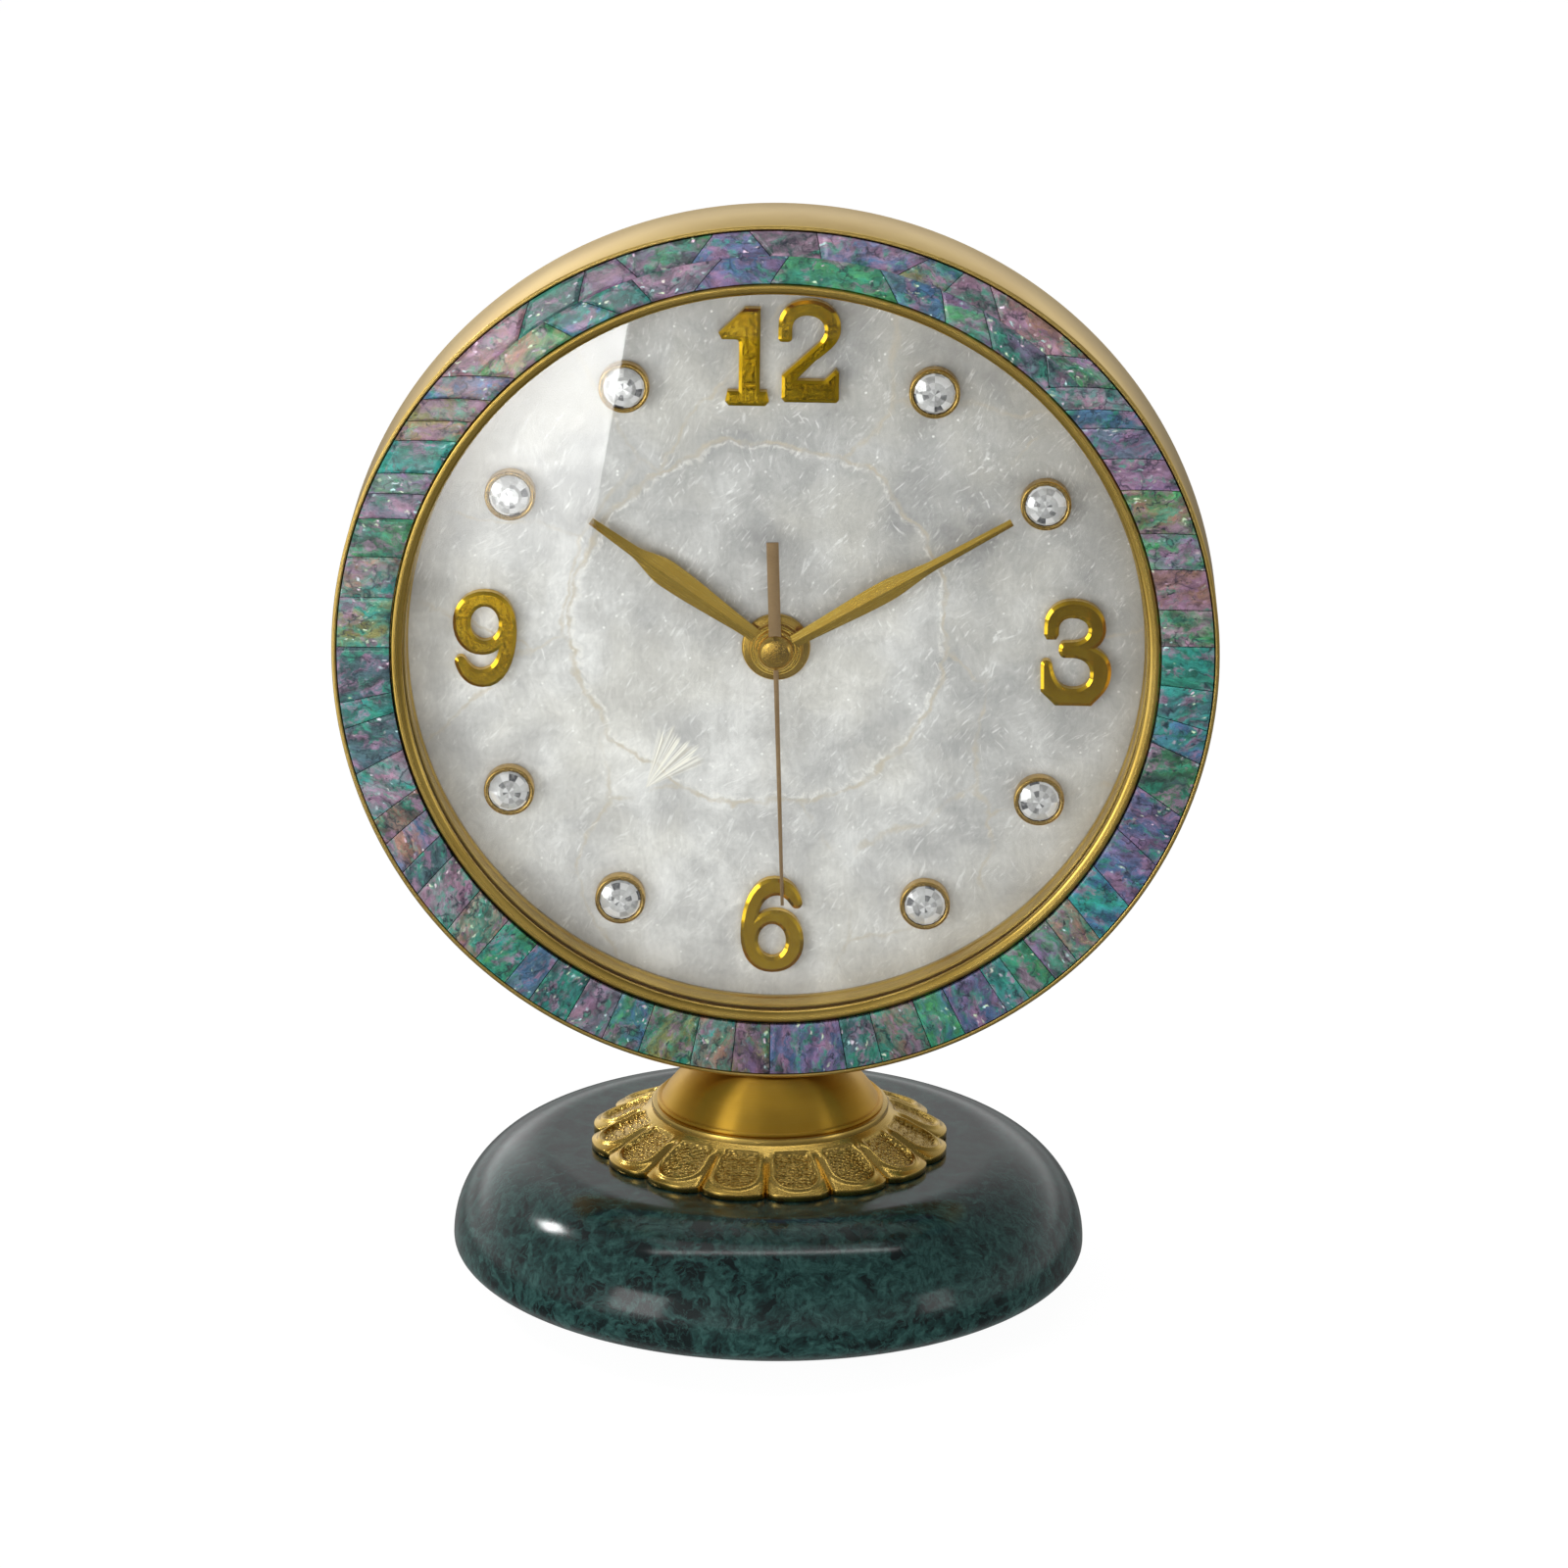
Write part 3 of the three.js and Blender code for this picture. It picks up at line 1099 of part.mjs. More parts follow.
/** Rotor: magnet and pinion on one arbor. */
function rotor() {
  return join(
    bar(ROTOR_AXIS, MAGNET_RADIUS, MAGNET_FRONT, MAGNET_BACK, SMALL_SIDES),
    pinion(ROTOR_AXIS, PINION_LEAVES, ROTOR_MODULE, gapTowards(ROTOR_DIRECTION, PINION_LEAVES), layer(5)),
    bar(ROTOR_AXIS, PIVOT_RADIUS, PLATE_2_PIVOT, PIVOT_BACK),
  );
}

/** Intermediate wheel: its teeth meet the rotor's pinion, its own pinion drives the seconds wheel. */
function intermediateWheel() {
  const leafPhase = gapTowards(INTERMEDIATE_DIRECTION, PINION_LEAVES);
  return join(
    wheel(INTERMEDIATE_AXIS, INTERMEDIATE_TEETH, ROTOR_MODULE, toothTowards(ROTOR_DIRECTION), layer(5)),
    pinion(INTERMEDIATE_AXIS, PINION_LEAVES, STEP_MODULE, leafPhase, layer(4)),
    bar(INTERMEDIATE_AXIS, PIVOT_RADIUS, PLATE_2_PIVOT, PIVOT_BACK),
    bar(INTERMEDIATE_AXIS, ARBOR_RADIUS, layer(4).front, layer(5).back),
  );
}

/** Seconds wheel: wheel, pinion for the third wheel and the long arbor of the second hand. */
function secondsWheel() {
  const leafPhase = toothTowards(THIRD_DIRECTION);
  return join(
    wheel(HAND_AXIS, SECONDS_WHEEL_TEETH, STEP_MODULE, toothTowards(INTERMEDIATE_DIRECTION), layer(4)),
    pinion(HAND_AXIS, PINION_LEAVES, TRAIN_MODULE, leafPhase, layer(3)),
    bar(HAND_AXIS, SECONDS_ARBOR, CAP_FRONT + CAP_HEIGHT / 3 + SEAT, layer(4).back),
    bar(HAND_AXIS, PIVOT_RADIUS, layer(4).front, PIVOT_BACK),
  );
}

/** Third wheel: its teeth meet the seconds pinion, its own pinion drives the centre wheel. */
function thirdWheel() {
  const phase = gapTowards(THIRD_DIRECTION, THIRD_WHEEL_TEETH);
  const leafPhase = gapTowards(THIRD_DIRECTION, PINION_LEAVES);
  return join(
    wheel(THIRD_AXIS, THIRD_WHEEL_TEETH, TRAIN_MODULE, phase, layer(3)),
    pinion(THIRD_AXIS, PINION_LEAVES, CENTRE_MODULE, leafPhase, layer(2)),
    bar(THIRD_AXIS, ARBOR_RADIUS, PIVOT_FRONT, PLATE_2_FRONT + PIVOT_DEPTH - SEAT),
  );
}

/** Centre wheel: held on the cannon pinion's tube by friction, so that the hands can be set. */
function centreWheel() {
  const disc = wheel(HAND_AXIS, CENTRE_WHEEL_TEETH, CENTRE_MODULE, toothTowards(THIRD_DIRECTION), layer(2));
  return cut(disc, bar(HAND_AXIS, MINUTE_PIPE + SLIP, layer(2).front - 1, layer(2).back + 1, TURNED_SIDES));
}

/** Cannon pinion: the minute hand's pipe with its pinion. */
function cannonPinion() {
  const end = layer(2).back;
  const phase = toothTowards(MINUTE_WHEEL_DIRECTION);
  const leaves = pinion(HAND_AXIS, CANNON_TEETH, MOTION_MODULE, phase, layer(1));
  const pipe = bar(HAND_AXIS, MINUTE_PIPE, MINUTE_FRONT, end, TURNED_SIDES);
  return cut(join(leaves, pipe), bar(HAND_AXIS, MINUTE_BORE, MINUTE_FRONT - 1, end + 1, SMALL_SIDES));
}

/** Minute wheel on its stud: driven by the cannon pinion, its own pinion drives the hour wheel. */
function minuteWheel() {
  const axis = MINUTE_WHEEL_AXIS;
  const phase = gapTowards(MINUTE_WHEEL_DIRECTION, MINUTE_WHEEL_TEETH);
  const leafPhase = gapTowards(MINUTE_WHEEL_DIRECTION, MINUTE_PINION_TEETH);
  const both = join(
    wheel(axis, MINUTE_WHEEL_TEETH, MOTION_MODULE, phase, layer(1)),
    pinion(axis, MINUTE_PINION_TEETH, MOTION_MODULE, leafPhase, layer(0)),
    bar(axis, 2 * STUD_RADIUS, layer(0).front, layer(1).back),
  );
  return cut(both, bar(axis, STUD_RADIUS + SLIP, CHAMBER_FRONT, layer(1).back + 1));
}

/** Hour wheel with the hour hand's pipe. */
function hourWheel() {
  const { back } = layer(0);
  const phase = toothTowards(MINUTE_WHEEL_DIRECTION);
  const disc = wheel(HAND_AXIS, HOUR_WHEEL_TEETH, MOTION_MODULE, phase, layer(0));
  const pipe = bar(HAND_AXIS, HOUR_PIPE, HOUR_FRONT, back, TURNED_SIDES);
  return cut(join(disc, pipe), bar(HAND_AXIS, HOUR_BORE, HOUR_FRONT - 1, back + 1, TURNED_SIDES));
}

/** Set knob: ridged knob behind the case, with an arbor and a pinion on the minute wheel. */
function setKnob() {
  const [x, z] = SET_AXIS;
  const steps = 2 * KNOB_RIDGES;
  const shape = new THREE.Shape(Array.from({ length: steps }, (_, i) => {
    const radius = KNOB_RADIUS - (i % 2) * KNOB_RIDGE_DEPTH;
    const angle = (i * 2 * Math.PI) / steps;
    return new THREE.Vector2(x + radius * Math.cos(angle), z + radius * Math.sin(angle));
  }));
  const start = MOVEMENT_BACK + HAND_GAP;
  const wheelTooth = gapTowards(MINUTE_WHEEL_DIRECTION, MINUTE_WHEEL_TEETH);
  const pitch = (2 * Math.PI) / MINUTE_WHEEL_TEETH;
  const towards = toothTowards(SET_DIRECTION);
  const offset = (towards - wheelTooth) / pitch;
  const lag = (offset - Math.round(offset)) * pitch * (MINUTE_WHEEL_TEETH / SET_PINION_TEETH);
  const phase = gapTowards(SET_DIRECTION, SET_PINION_TEETH) + lag;
  return join(
    plate(shape, start, start + KNOB_HEIGHT),
    bar(SET_AXIS, SET_ARBOR_RADIUS, PIVOT_FRONT, start + KNOB_HEIGHT / 2),
    pinion(SET_AXIS, SET_PINION_TEETH, MOTION_MODULE, phase, layer(1)),
  );
}

/** Cell along X in its bay, with the nub towards +X. */
function battery() {
  const end = BAY_HALF - SLIP - CONTACT_THICKNESS - SLIP;
  const shoulder = end - CELL_NUB;
  const start = shoulder - CELL_LENGTH;
  return turned([
    [0, start],
    [CELL_RADIUS, start],
    [CELL_RADIUS, shoulder],
    [CELL_NUB_RADIUS, shoulder],
    [CELL_NUB_RADIUS, end],
    [0, end],
  ], SMALL_SIDES).rotateZ(-Math.PI / 2).translate(0, CELL_Y, CELL_Z);
}

/** Flat contact at one end of the bay. */
function contactPlate(x0, x1) {
  return block(
    [x0, CELL_Y - CONTACT_SPAN / 2, CELL_Z - CONTACT_SPAN / 2],
    [x1, CELL_Y + CONTACT_SPAN / 2, CELL_Z + CONTACT_SPAN / 2],
  );
}

/** Contact at the nub's end of the bay. */
function contactPositive() {
  const outer = BAY_HALF - SLIP;
  return contactPlate(outer - CONTACT_THICKNESS, outer);
}

/** Contact at the flat end of the cell, with a pressed dimple. */
function contactNegative() {
  const outer = -BAY_HALF + SLIP;
  const face = outer + CONTACT_THICKNESS;
  const dimple = turned([
    [0, outer + CONTACT_THICKNESS / 2],
    [CONTACT_DIMPLE_RADIUS, outer + CONTACT_THICKNESS / 2],
    [CONTACT_DIMPLE_RADIUS / 2, face + CONTACT_DIMPLE],
    [0, face + CONTACT_DIMPLE],
  ], SMALL_SIDES).rotateZ(-Math.PI / 2).translate(0, CELL_Y, CELL_Z);
  return join(contactPlate(outer, face), dimple);
}

/** Stand: pad, stone, collar, neck and the rod that ties them to the drum. */
function stand() {
  const group = new THREE.Group();
  add(group, 'base_pad', basePad(), felt);
  add(group, 'marble_base', marbleBase(), greenMarble);
  add(group, 'petal_collar', petalCollar(), satinBrass);
  add(group, 'neck', neck(), satinBrass);
  add(group, 'tie_rod', tieRod(), steel);
  add(group, 'tie_nut', tieNut(), steel);
  return group;
}

/** Case of the drum. */
function drumCase() {
  const group = new THREE.Group();
  add(group, 'case_band', caseBand(), satinBrass);
  add(group, 'inlay_ring', inlayRing(), abalone);
  add(group, 'sight_ring', sightRing(), satinBrass);
  add(group, 'glass', glass(), clearGlass);
  add(group, 'spacer_ring', spacerRing(), satinBrass);
  add(group, 'back_plate', backPlate(), satinBrass);
  LUG_ANGLES.forEach((angle, i) => add(group, `back_screw_${i + 1}`, backScrew(angle), steel));
  return group;
}

/** Dial with its applied digits and set crystals. */
function dialFace() {
  const group = new THREE.Group();
  add(group, 'dial', dial(), pearl);
  add(group, 'numeral_12_one', numeral(digitOne(), [ONE_SHIFT, DIAL_RIM - ONE_INSET]), polishedGold);
  add(group, 'numeral_12_two', numeral(digitTwo(), [TWO_SHIFT, DIAL_RIM - TWO_INSET]), polishedGold);
  add(group, 'numeral_3', numeral(digitThree(), [DIAL_RIM - THREE_INSET, -SIDE_DIGIT_HALF]), polishedGold);
  add(group, 'numeral_6', numeral(digitSix(), [0, SIX_INSET - DIAL_RIM]), polishedGold);
  const nine = [NINE_INSET - DIAL_RIM, SIDE_DIGIT_HALF];
  add(group, 'numeral_9', numeral(digitSix(), nine, Math.PI), polishedGold);
  const hours = Array.from({ length: HOUR_COUNT }, (_, i) => i + 1);
  hours.filter((hour) => (hour * DIGIT_COUNT) % HOUR_COUNT !== 0).forEach((hour) => {
    const [x, z] = stepFrom(HAND_AXIS, 90 - (360 * hour) / HOUR_COUNT, DIAL_RIM - MARKER_INSET);
    add(group, `cup_${hour}`, markerCup(), satinBrass).position.set(x, DIAL_FRONT - SEAT, z);
    add(group, `crystal_${hour}`, markerCrystal(), crystal).position.set(x, DIAL_FRONT - SEAT, z);
  });
  return group;
}

/** Hands at their places, and the nut behind them. */
function handSet() {
  const group = new THREE.Group();
  const hour = leafHand({
    pipe: HOUR_PIPE,
    length: HOUR_LENGTH,
    belly: HOUR_BELLY,
    rootWidth: HOUR_ROOT_WIDTH,
    width: HOUR_WIDTH,
    back: HOUR_BACK,
    thickness: HOUR_THICKNESS,
  });
  const minute = leafHand({
    pipe: MINUTE_PIPE,
    length: MINUTE_LENGTH,
    belly: MINUTE_BELLY,
    rootWidth: MINUTE_ROOT_WIDTH,
    width: MINUTE_WIDTH,
    back: MINUTE_BACK,
    thickness: MINUTE_THICKNESS,
  });
  add(group, 'dial_nut', dialNut(), satinBrass);
  add(group, 'hour_hand', hour, satinBrass).rotation.y = THREE.MathUtils.degToRad(HOUR_ANGLE);
  add(group, 'minute_hand', minute, satinBrass).rotation.y = THREE.MathUtils.degToRad(MINUTE_ANGLE);
  add(group, 'second_hand', secondHand(), satinBrass).rotation.y = THREE.MathUtils.degToRad(SECOND_ANGLE);
  return group;
}

/** Quartz movement behind the dial. */
function movement() {
  const group = new THREE.Group();
  add(group, 'movement_front', movementFront(), blackPlastic);
  add(group, 'movement_rear', movementRear(), blackPlastic);
  add(group, 'middle_plate', middlePlate(), whitePlastic);
  add(group, 'circuit_board', circuitBoard(), boardGreen);
  add(group, 'coil', coil(), copper);
  add(group, 'stator', stator(), steel);
  add(group, 'rotor', rotor(), steel);
  add(group, 'intermediate_wheel', intermediateWheel(), whitePlastic);
  add(group, 'seconds_wheel', secondsWheel(), whitePlastic);
  add(group, 'third_wheel', thirdWheel(), whitePlastic);
  add(group, 'centre_wheel', centreWheel(), whitePlastic);
  add(group, 'cannon_pinion', cannonPinion(), whitePlastic);
  add(group, 'minute_wheel', minuteWheel(), whitePlastic);
  add(group, 'hour_wheel', hourWheel(), whitePlastic);
  add(group, 'set_knob', setKnob(), blackPlastic);
  add(group, 'battery', battery(), cellJacket);
  add(group, 'contact_positive', contactPositive(), steel);
  add(group, 'contact_negative', contactNegative(), steel);
  return group;
}

/** Whole clock: the stand, and the drum with all it holds at its own height. */
function deskClock() {
  const clock = new THREE.Group();
  const drum = new THREE.Group();
  drum.position.z = DRUM_CENTRE;
  drum.add(drumCase(), dialFace(), handSet(), movement());
  clock.add(stand(), drum);
  return clock;
}

export default deskClock();
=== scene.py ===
"""Looks of a desk clock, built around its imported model.

A brass drum with a shell inlay and a pearl dial stands on a brass neck, a petal collar and a marble
foot. Sizes are written in millimetres. Meshes are in metres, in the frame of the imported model.
"""
import logging
import math
import random
from contextlib import contextmanager
from dataclasses import dataclass
from enum import Enum
from typing import Callable, Iterator, Optional, Sequence, Union

import bpy
import numpy as np
from mathutils import Matrix, Vector


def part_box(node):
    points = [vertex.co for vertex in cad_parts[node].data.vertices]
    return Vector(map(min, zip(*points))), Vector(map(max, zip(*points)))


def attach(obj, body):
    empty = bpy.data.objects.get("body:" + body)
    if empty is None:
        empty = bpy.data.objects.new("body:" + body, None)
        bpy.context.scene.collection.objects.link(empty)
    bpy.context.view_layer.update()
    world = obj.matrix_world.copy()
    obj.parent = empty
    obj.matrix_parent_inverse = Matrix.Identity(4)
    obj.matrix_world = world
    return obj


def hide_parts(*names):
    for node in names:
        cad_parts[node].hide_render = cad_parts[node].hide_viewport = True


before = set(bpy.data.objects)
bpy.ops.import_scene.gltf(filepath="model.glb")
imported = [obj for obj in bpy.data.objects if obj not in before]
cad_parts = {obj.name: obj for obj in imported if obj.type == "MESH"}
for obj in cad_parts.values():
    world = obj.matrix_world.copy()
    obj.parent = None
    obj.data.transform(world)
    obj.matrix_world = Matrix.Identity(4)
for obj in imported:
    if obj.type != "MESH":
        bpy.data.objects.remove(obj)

LOG = logging.getLogger("desk_clock")

MM = 0.001

# Largest distance between doubled points in metres, and the faces round a turned piece by its size.
DOUBLES = 1e-6
CUP_FACES, HUB_FACES, NUT_FACES, PLAIN_FACES, LARGE_FACES, DRUM_FACES = 48, 64, 96, 160, 192, 256

# Degrees from the top of the drum: the shell's lines lie level up to the first and radial from the second.
LEVEL_UNTIL, RADIAL_FROM = 100.0, 140.0

Pair = tuple[float, float]
Triple = tuple[float, float, float]
Stops = tuple[tuple[float, Triple], ...]
Piece = bpy.types.Object
Socket = bpy.types.NodeSocket
Feed = Union[Socket, float, Sequence[float]]


@dataclass(frozen=True)
class Extent:
    """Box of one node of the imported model, in millimetres."""

    low: Vector
    high: Vector

    @classmethod
    def of(cls, node: str) -> "Extent":
        """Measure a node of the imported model."""
        low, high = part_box(node)
        return cls(low / MM, high / MM)

    @property
    def radius(self) -> float:
        """Half of the width."""
        return (self.high.x - self.low.x) / 2

    @property
    def middle(self) -> Vector:
        """Centre of the box."""
        return (self.low + self.high) / 2

    @property
    def turned(self) -> Triple:
        """Radius, front and back of a piece that is turned about the dial's axis."""
        return self.radius, self.low.y, self.high.y


DRUM_CENTRE = Extent.of("case_band").middle.z


class Axis(Enum):
    """Axis that a piece is turned about: the stand's upright one or the dial's level one."""

    STAND = "stand"
    FACE = "face"

    @property
    def direction(self) -> Vector:
        """Direction of the axis."""
        return Vector((0, 0, 1)) if self is Axis.STAND else Vector((0, 1, 0))

    @property
    def centre(self) -> Vector:
        """A point on the axis, in metres."""
        return Vector((0, 0, 0)) if self is Axis.STAND else Vector((0, 0, DRUM_CENTRE * MM))

    def point(self, radius: float, along: float) -> Vector:
        """Point of a profile in metres, from its radius and its place along the axis in millimetres."""
        return self.centre + Vector((radius, 0, 0)) * MM + self.direction * along * MM


def take(piece: Piece) -> None:
    """Select one piece alone and make it the active one.

    Args:
        piece: The piece to select.
    """
    bpy.ops.object.select_all(action="DESELECT")
    piece.select_set(True)
    bpy.context.view_layer.objects.active = piece


def added(operator: Callable[..., object], name: str, **settings: object) -> Piece:
    """Add an object while nothing else is selected, and name it.

    Args:
        operator: The operator that adds it.
        name: Name of the object.
        settings: Values of the operator's properties.

    Returns:
        The new object.
    """
    bpy.ops.object.select_all(action="DESELECT")
    operator(**settings)
    piece = bpy.context.object
    piece.name = name
    return piece


@contextmanager
def editing(piece: Piece) -> Iterator[None]:
    """Work on one piece in edit mode, with everything selected at the start.

    Args:
        piece: The piece to edit.
    """
    take(piece)
    bpy.ops.object.mode_set(mode="EDIT")
    bpy.ops.mesh.select_all(action="SELECT")
    yield
    bpy.ops.object.mode_set(mode="OBJECT")


def close_seams(piece: Piece, reach: float = DOUBLES) -> None:
    """Merge doubled points and turn every face outwards.

    Args:
        piece: The piece to close.
        reach: Largest distance between doubled points, in metres.
    """
    with editing(piece):
        bpy.ops.mesh.remove_doubles(threshold=reach)
        bpy.ops.mesh.normals_make_consistent(inside=False)


def apply_modifier(piece: Piece, kind: str, **settings: object) -> None:
    """Add one modifier, set it and apply it.

    Args:
        piece: The piece to change.
        kind: Blender's name of the modifier type.
        settings: Values of the modifier's properties.
    """
    take(piece)
    bpy.ops.object.modifier_add(type=kind)
    modifier = piece.modifiers[-1]
    for name, value in settings.items():
        setattr(modifier, name, value)
    bpy.ops.object.modifier_apply(modifier=modifier.name)


def soften(piece: Piece, width: float, segments: int = 2, corner: float = 35) -> None:
    """Round the sharp edges and shade the rest smooth.

    Args:
        piece: The piece to soften.
        width: Width of the rounding in millimetres.
        segments: Steps across the rounding.
        corner: Least angle of a sharp edge in degrees.
    """
    if width:
        apply_modifier(
            piece, "BEVEL", width=width * MM, segments=segments, limit_method="ANGLE",
            angle_limit=math.radians(corner), miter_outer="MITER_ARC", use_clamp_overlap=True,
        )
    take(piece)
    bpy.ops.object.shade_smooth_by_angle(angle=math.radians(corner))


def cut(piece: Piece, tool: Piece) -> None:
    """Cut a piece with a tool, which is used up."""
    apply_modifier(piece, "BOOLEAN", object=tool, operation="DIFFERENCE", solver="EXACT")
    bpy.data.objects.remove(tool)


def unite(pieces: Sequence[Piece], name: str) -> Piece:
    """Put several meshes into one object without cutting them.

    Args:
        pieces: The meshes, the first of which stays.
        name: Name of the result.

    Returns:
        The one object.
    """
    take(pieces[0])
    for piece in pieces:
        piece.select_set(True)
    bpy.ops.object.join()
    pieces[0].name = name
    return pieces[0]


def copy_of(piece: Piece, name: str) -> Piece:
    """Copy a piece together with its mesh.

    Args:
        piece: The piece to copy.
        name: Name of the copy.

    Returns:
        The copy.
    """
    take(piece)
    bpy.ops.object.duplicate(linked=False)
    copy = bpy.context.object
    copy.name = name
    return copy


def place(piece: Piece, at: Triple, turn: Triple = (0, 0, 0)) -> None:
    """Move and turn a piece that was modelled at the origin, and keep the place in its mesh.

    Args:
        piece: The piece to place.
        at: Where its origin goes, in millimetres.
        turn: Turns about X, Y and Z in degrees, made in that order.
    """
    take(piece)
    piece.rotation_euler = [math.radians(angle) for angle in turn]
    piece.location = Vector(at) * MM
    bpy.ops.object.transform_apply(location=True, rotation=True, scale=True)


def lathe(name: str, profile: Sequence[Pair], axis: Axis, steps: int = PLAIN_FACES) -> Piece:
    """Turn a piece: draw its profile point by point and spin it once round.

    Args:
        name: Name of the piece.
        profile: Radius and place along the axis of each point, in millimetres.
        axis: The axis to spin about.
        steps: Faces round the axis.

    Returns:
        The closed piece.
    """
    points = [axis.point(*pair) for pair in profile]
    piece = added(bpy.ops.mesh.primitive_plane_add, name, size=MM, location=points[0])
    bpy.ops.object.transform_apply(location=True)
    with editing(piece):
        bpy.ops.mesh.merge(type="CENTER")
        for start, end in zip(points, points[1:]):
            bpy.ops.mesh.extrude_vertices_move(TRANSFORM_OT_translate={"value": end - start})
        bpy.ops.mesh.select_all(action="SELECT")
        bpy.ops.mesh.spin(steps=steps, angle=2 * math.pi, center=axis.centre, axis=axis.direction)
    close_seams(piece)
    return piece


def ring(name: str, profile: Sequence[Pair], axis: Axis, steps: int = PLAIN_FACES) -> Piece:
    """Turn a piece whose profile closes on itself. The rest is as on the lathe."""
    return lathe(name, [*profile, profile[0]], axis, steps)


def arc(centre: Pair, radii: Pair, start: float, end: float, steps: int) -> list[Pair]:
    """Points on an elliptical arc of a profile between two angles in degrees, both ends included."""
    angles = np.radians(np.linspace(start, end, steps + 1))
    return [(centre[0] + radii[0] * math.cos(a), centre[1] + radii[1] * math.sin(a)) for a in angles]


def bend(start: Pair, pull: Pair, end: Pair, steps: int = 12) -> list[Pair]:
    """Points on a stretch of a profile that is drawn towards one point.

    Args:
        start: Where it starts.
        pull: The point that it is drawn towards.
        end: Where it ends.
        steps: Number of steps.

    Returns:
        The points, both ends included.
    """
    shares = np.linspace(0, 1, steps + 1)
    weights = zip((1 - shares) ** 2, 2 * shares * (1 - shares), shares ** 2)
    return [tuple(a * x + b * y + c * z for x, y, z in zip(start, pull, end)) for a, b, c in weights]


def grid(name: str, columns: int, rows: int) -> Piece:
    """Sheet of faces for a formula to shape, with its points along the columns first."""
    return added(bpy.ops.mesh.primitive_grid_add, name, x_subdivisions=columns, y_subdivisions=rows, size=2)


def points_of(piece: Piece) -> np.ndarray:
    """Points of a mesh.

    Args:
        piece: The piece.

    Returns:
        One row of X, Y and Z in metres for each point.
    """
    flat = np.empty(len(piece.data.vertices) * 3)
    piece.data.vertices.foreach_get("co", flat)
    return flat.reshape(-1, 3)


def set_points(piece: Piece, points: np.ndarray) -> None:
    """Move the points of a mesh, given in millimetres."""
    piece.data.vertices.foreach_set("co", (points * MM).ravel())
    piece.data.update()


def set_values(piece: Piece, name: str, values: np.ndarray) -> None:
    """Store a number or a vector at each point of a mesh.

    Args:
        piece: The piece.
        name: Name of the attribute.
        values: One number or one row of three for each point.
    """
    kind, key = ("FLOAT", "value") if values.ndim == 1 else ("FLOAT_VECTOR", "vector")
    attribute = piece.data.attributes.new(name, kind, "POINT")
    attribute.data.foreach_set(key, values.astype(np.float32).ravel())


def smoothstep(value: np.ndarray, low: float, high: float) -> np.ndarray:
    """Ease from 0 at low to 1 at high."""
    share = np.clip((value - low) / (high - low), 0, 1)
    return share * share * (3 - 2 * share)


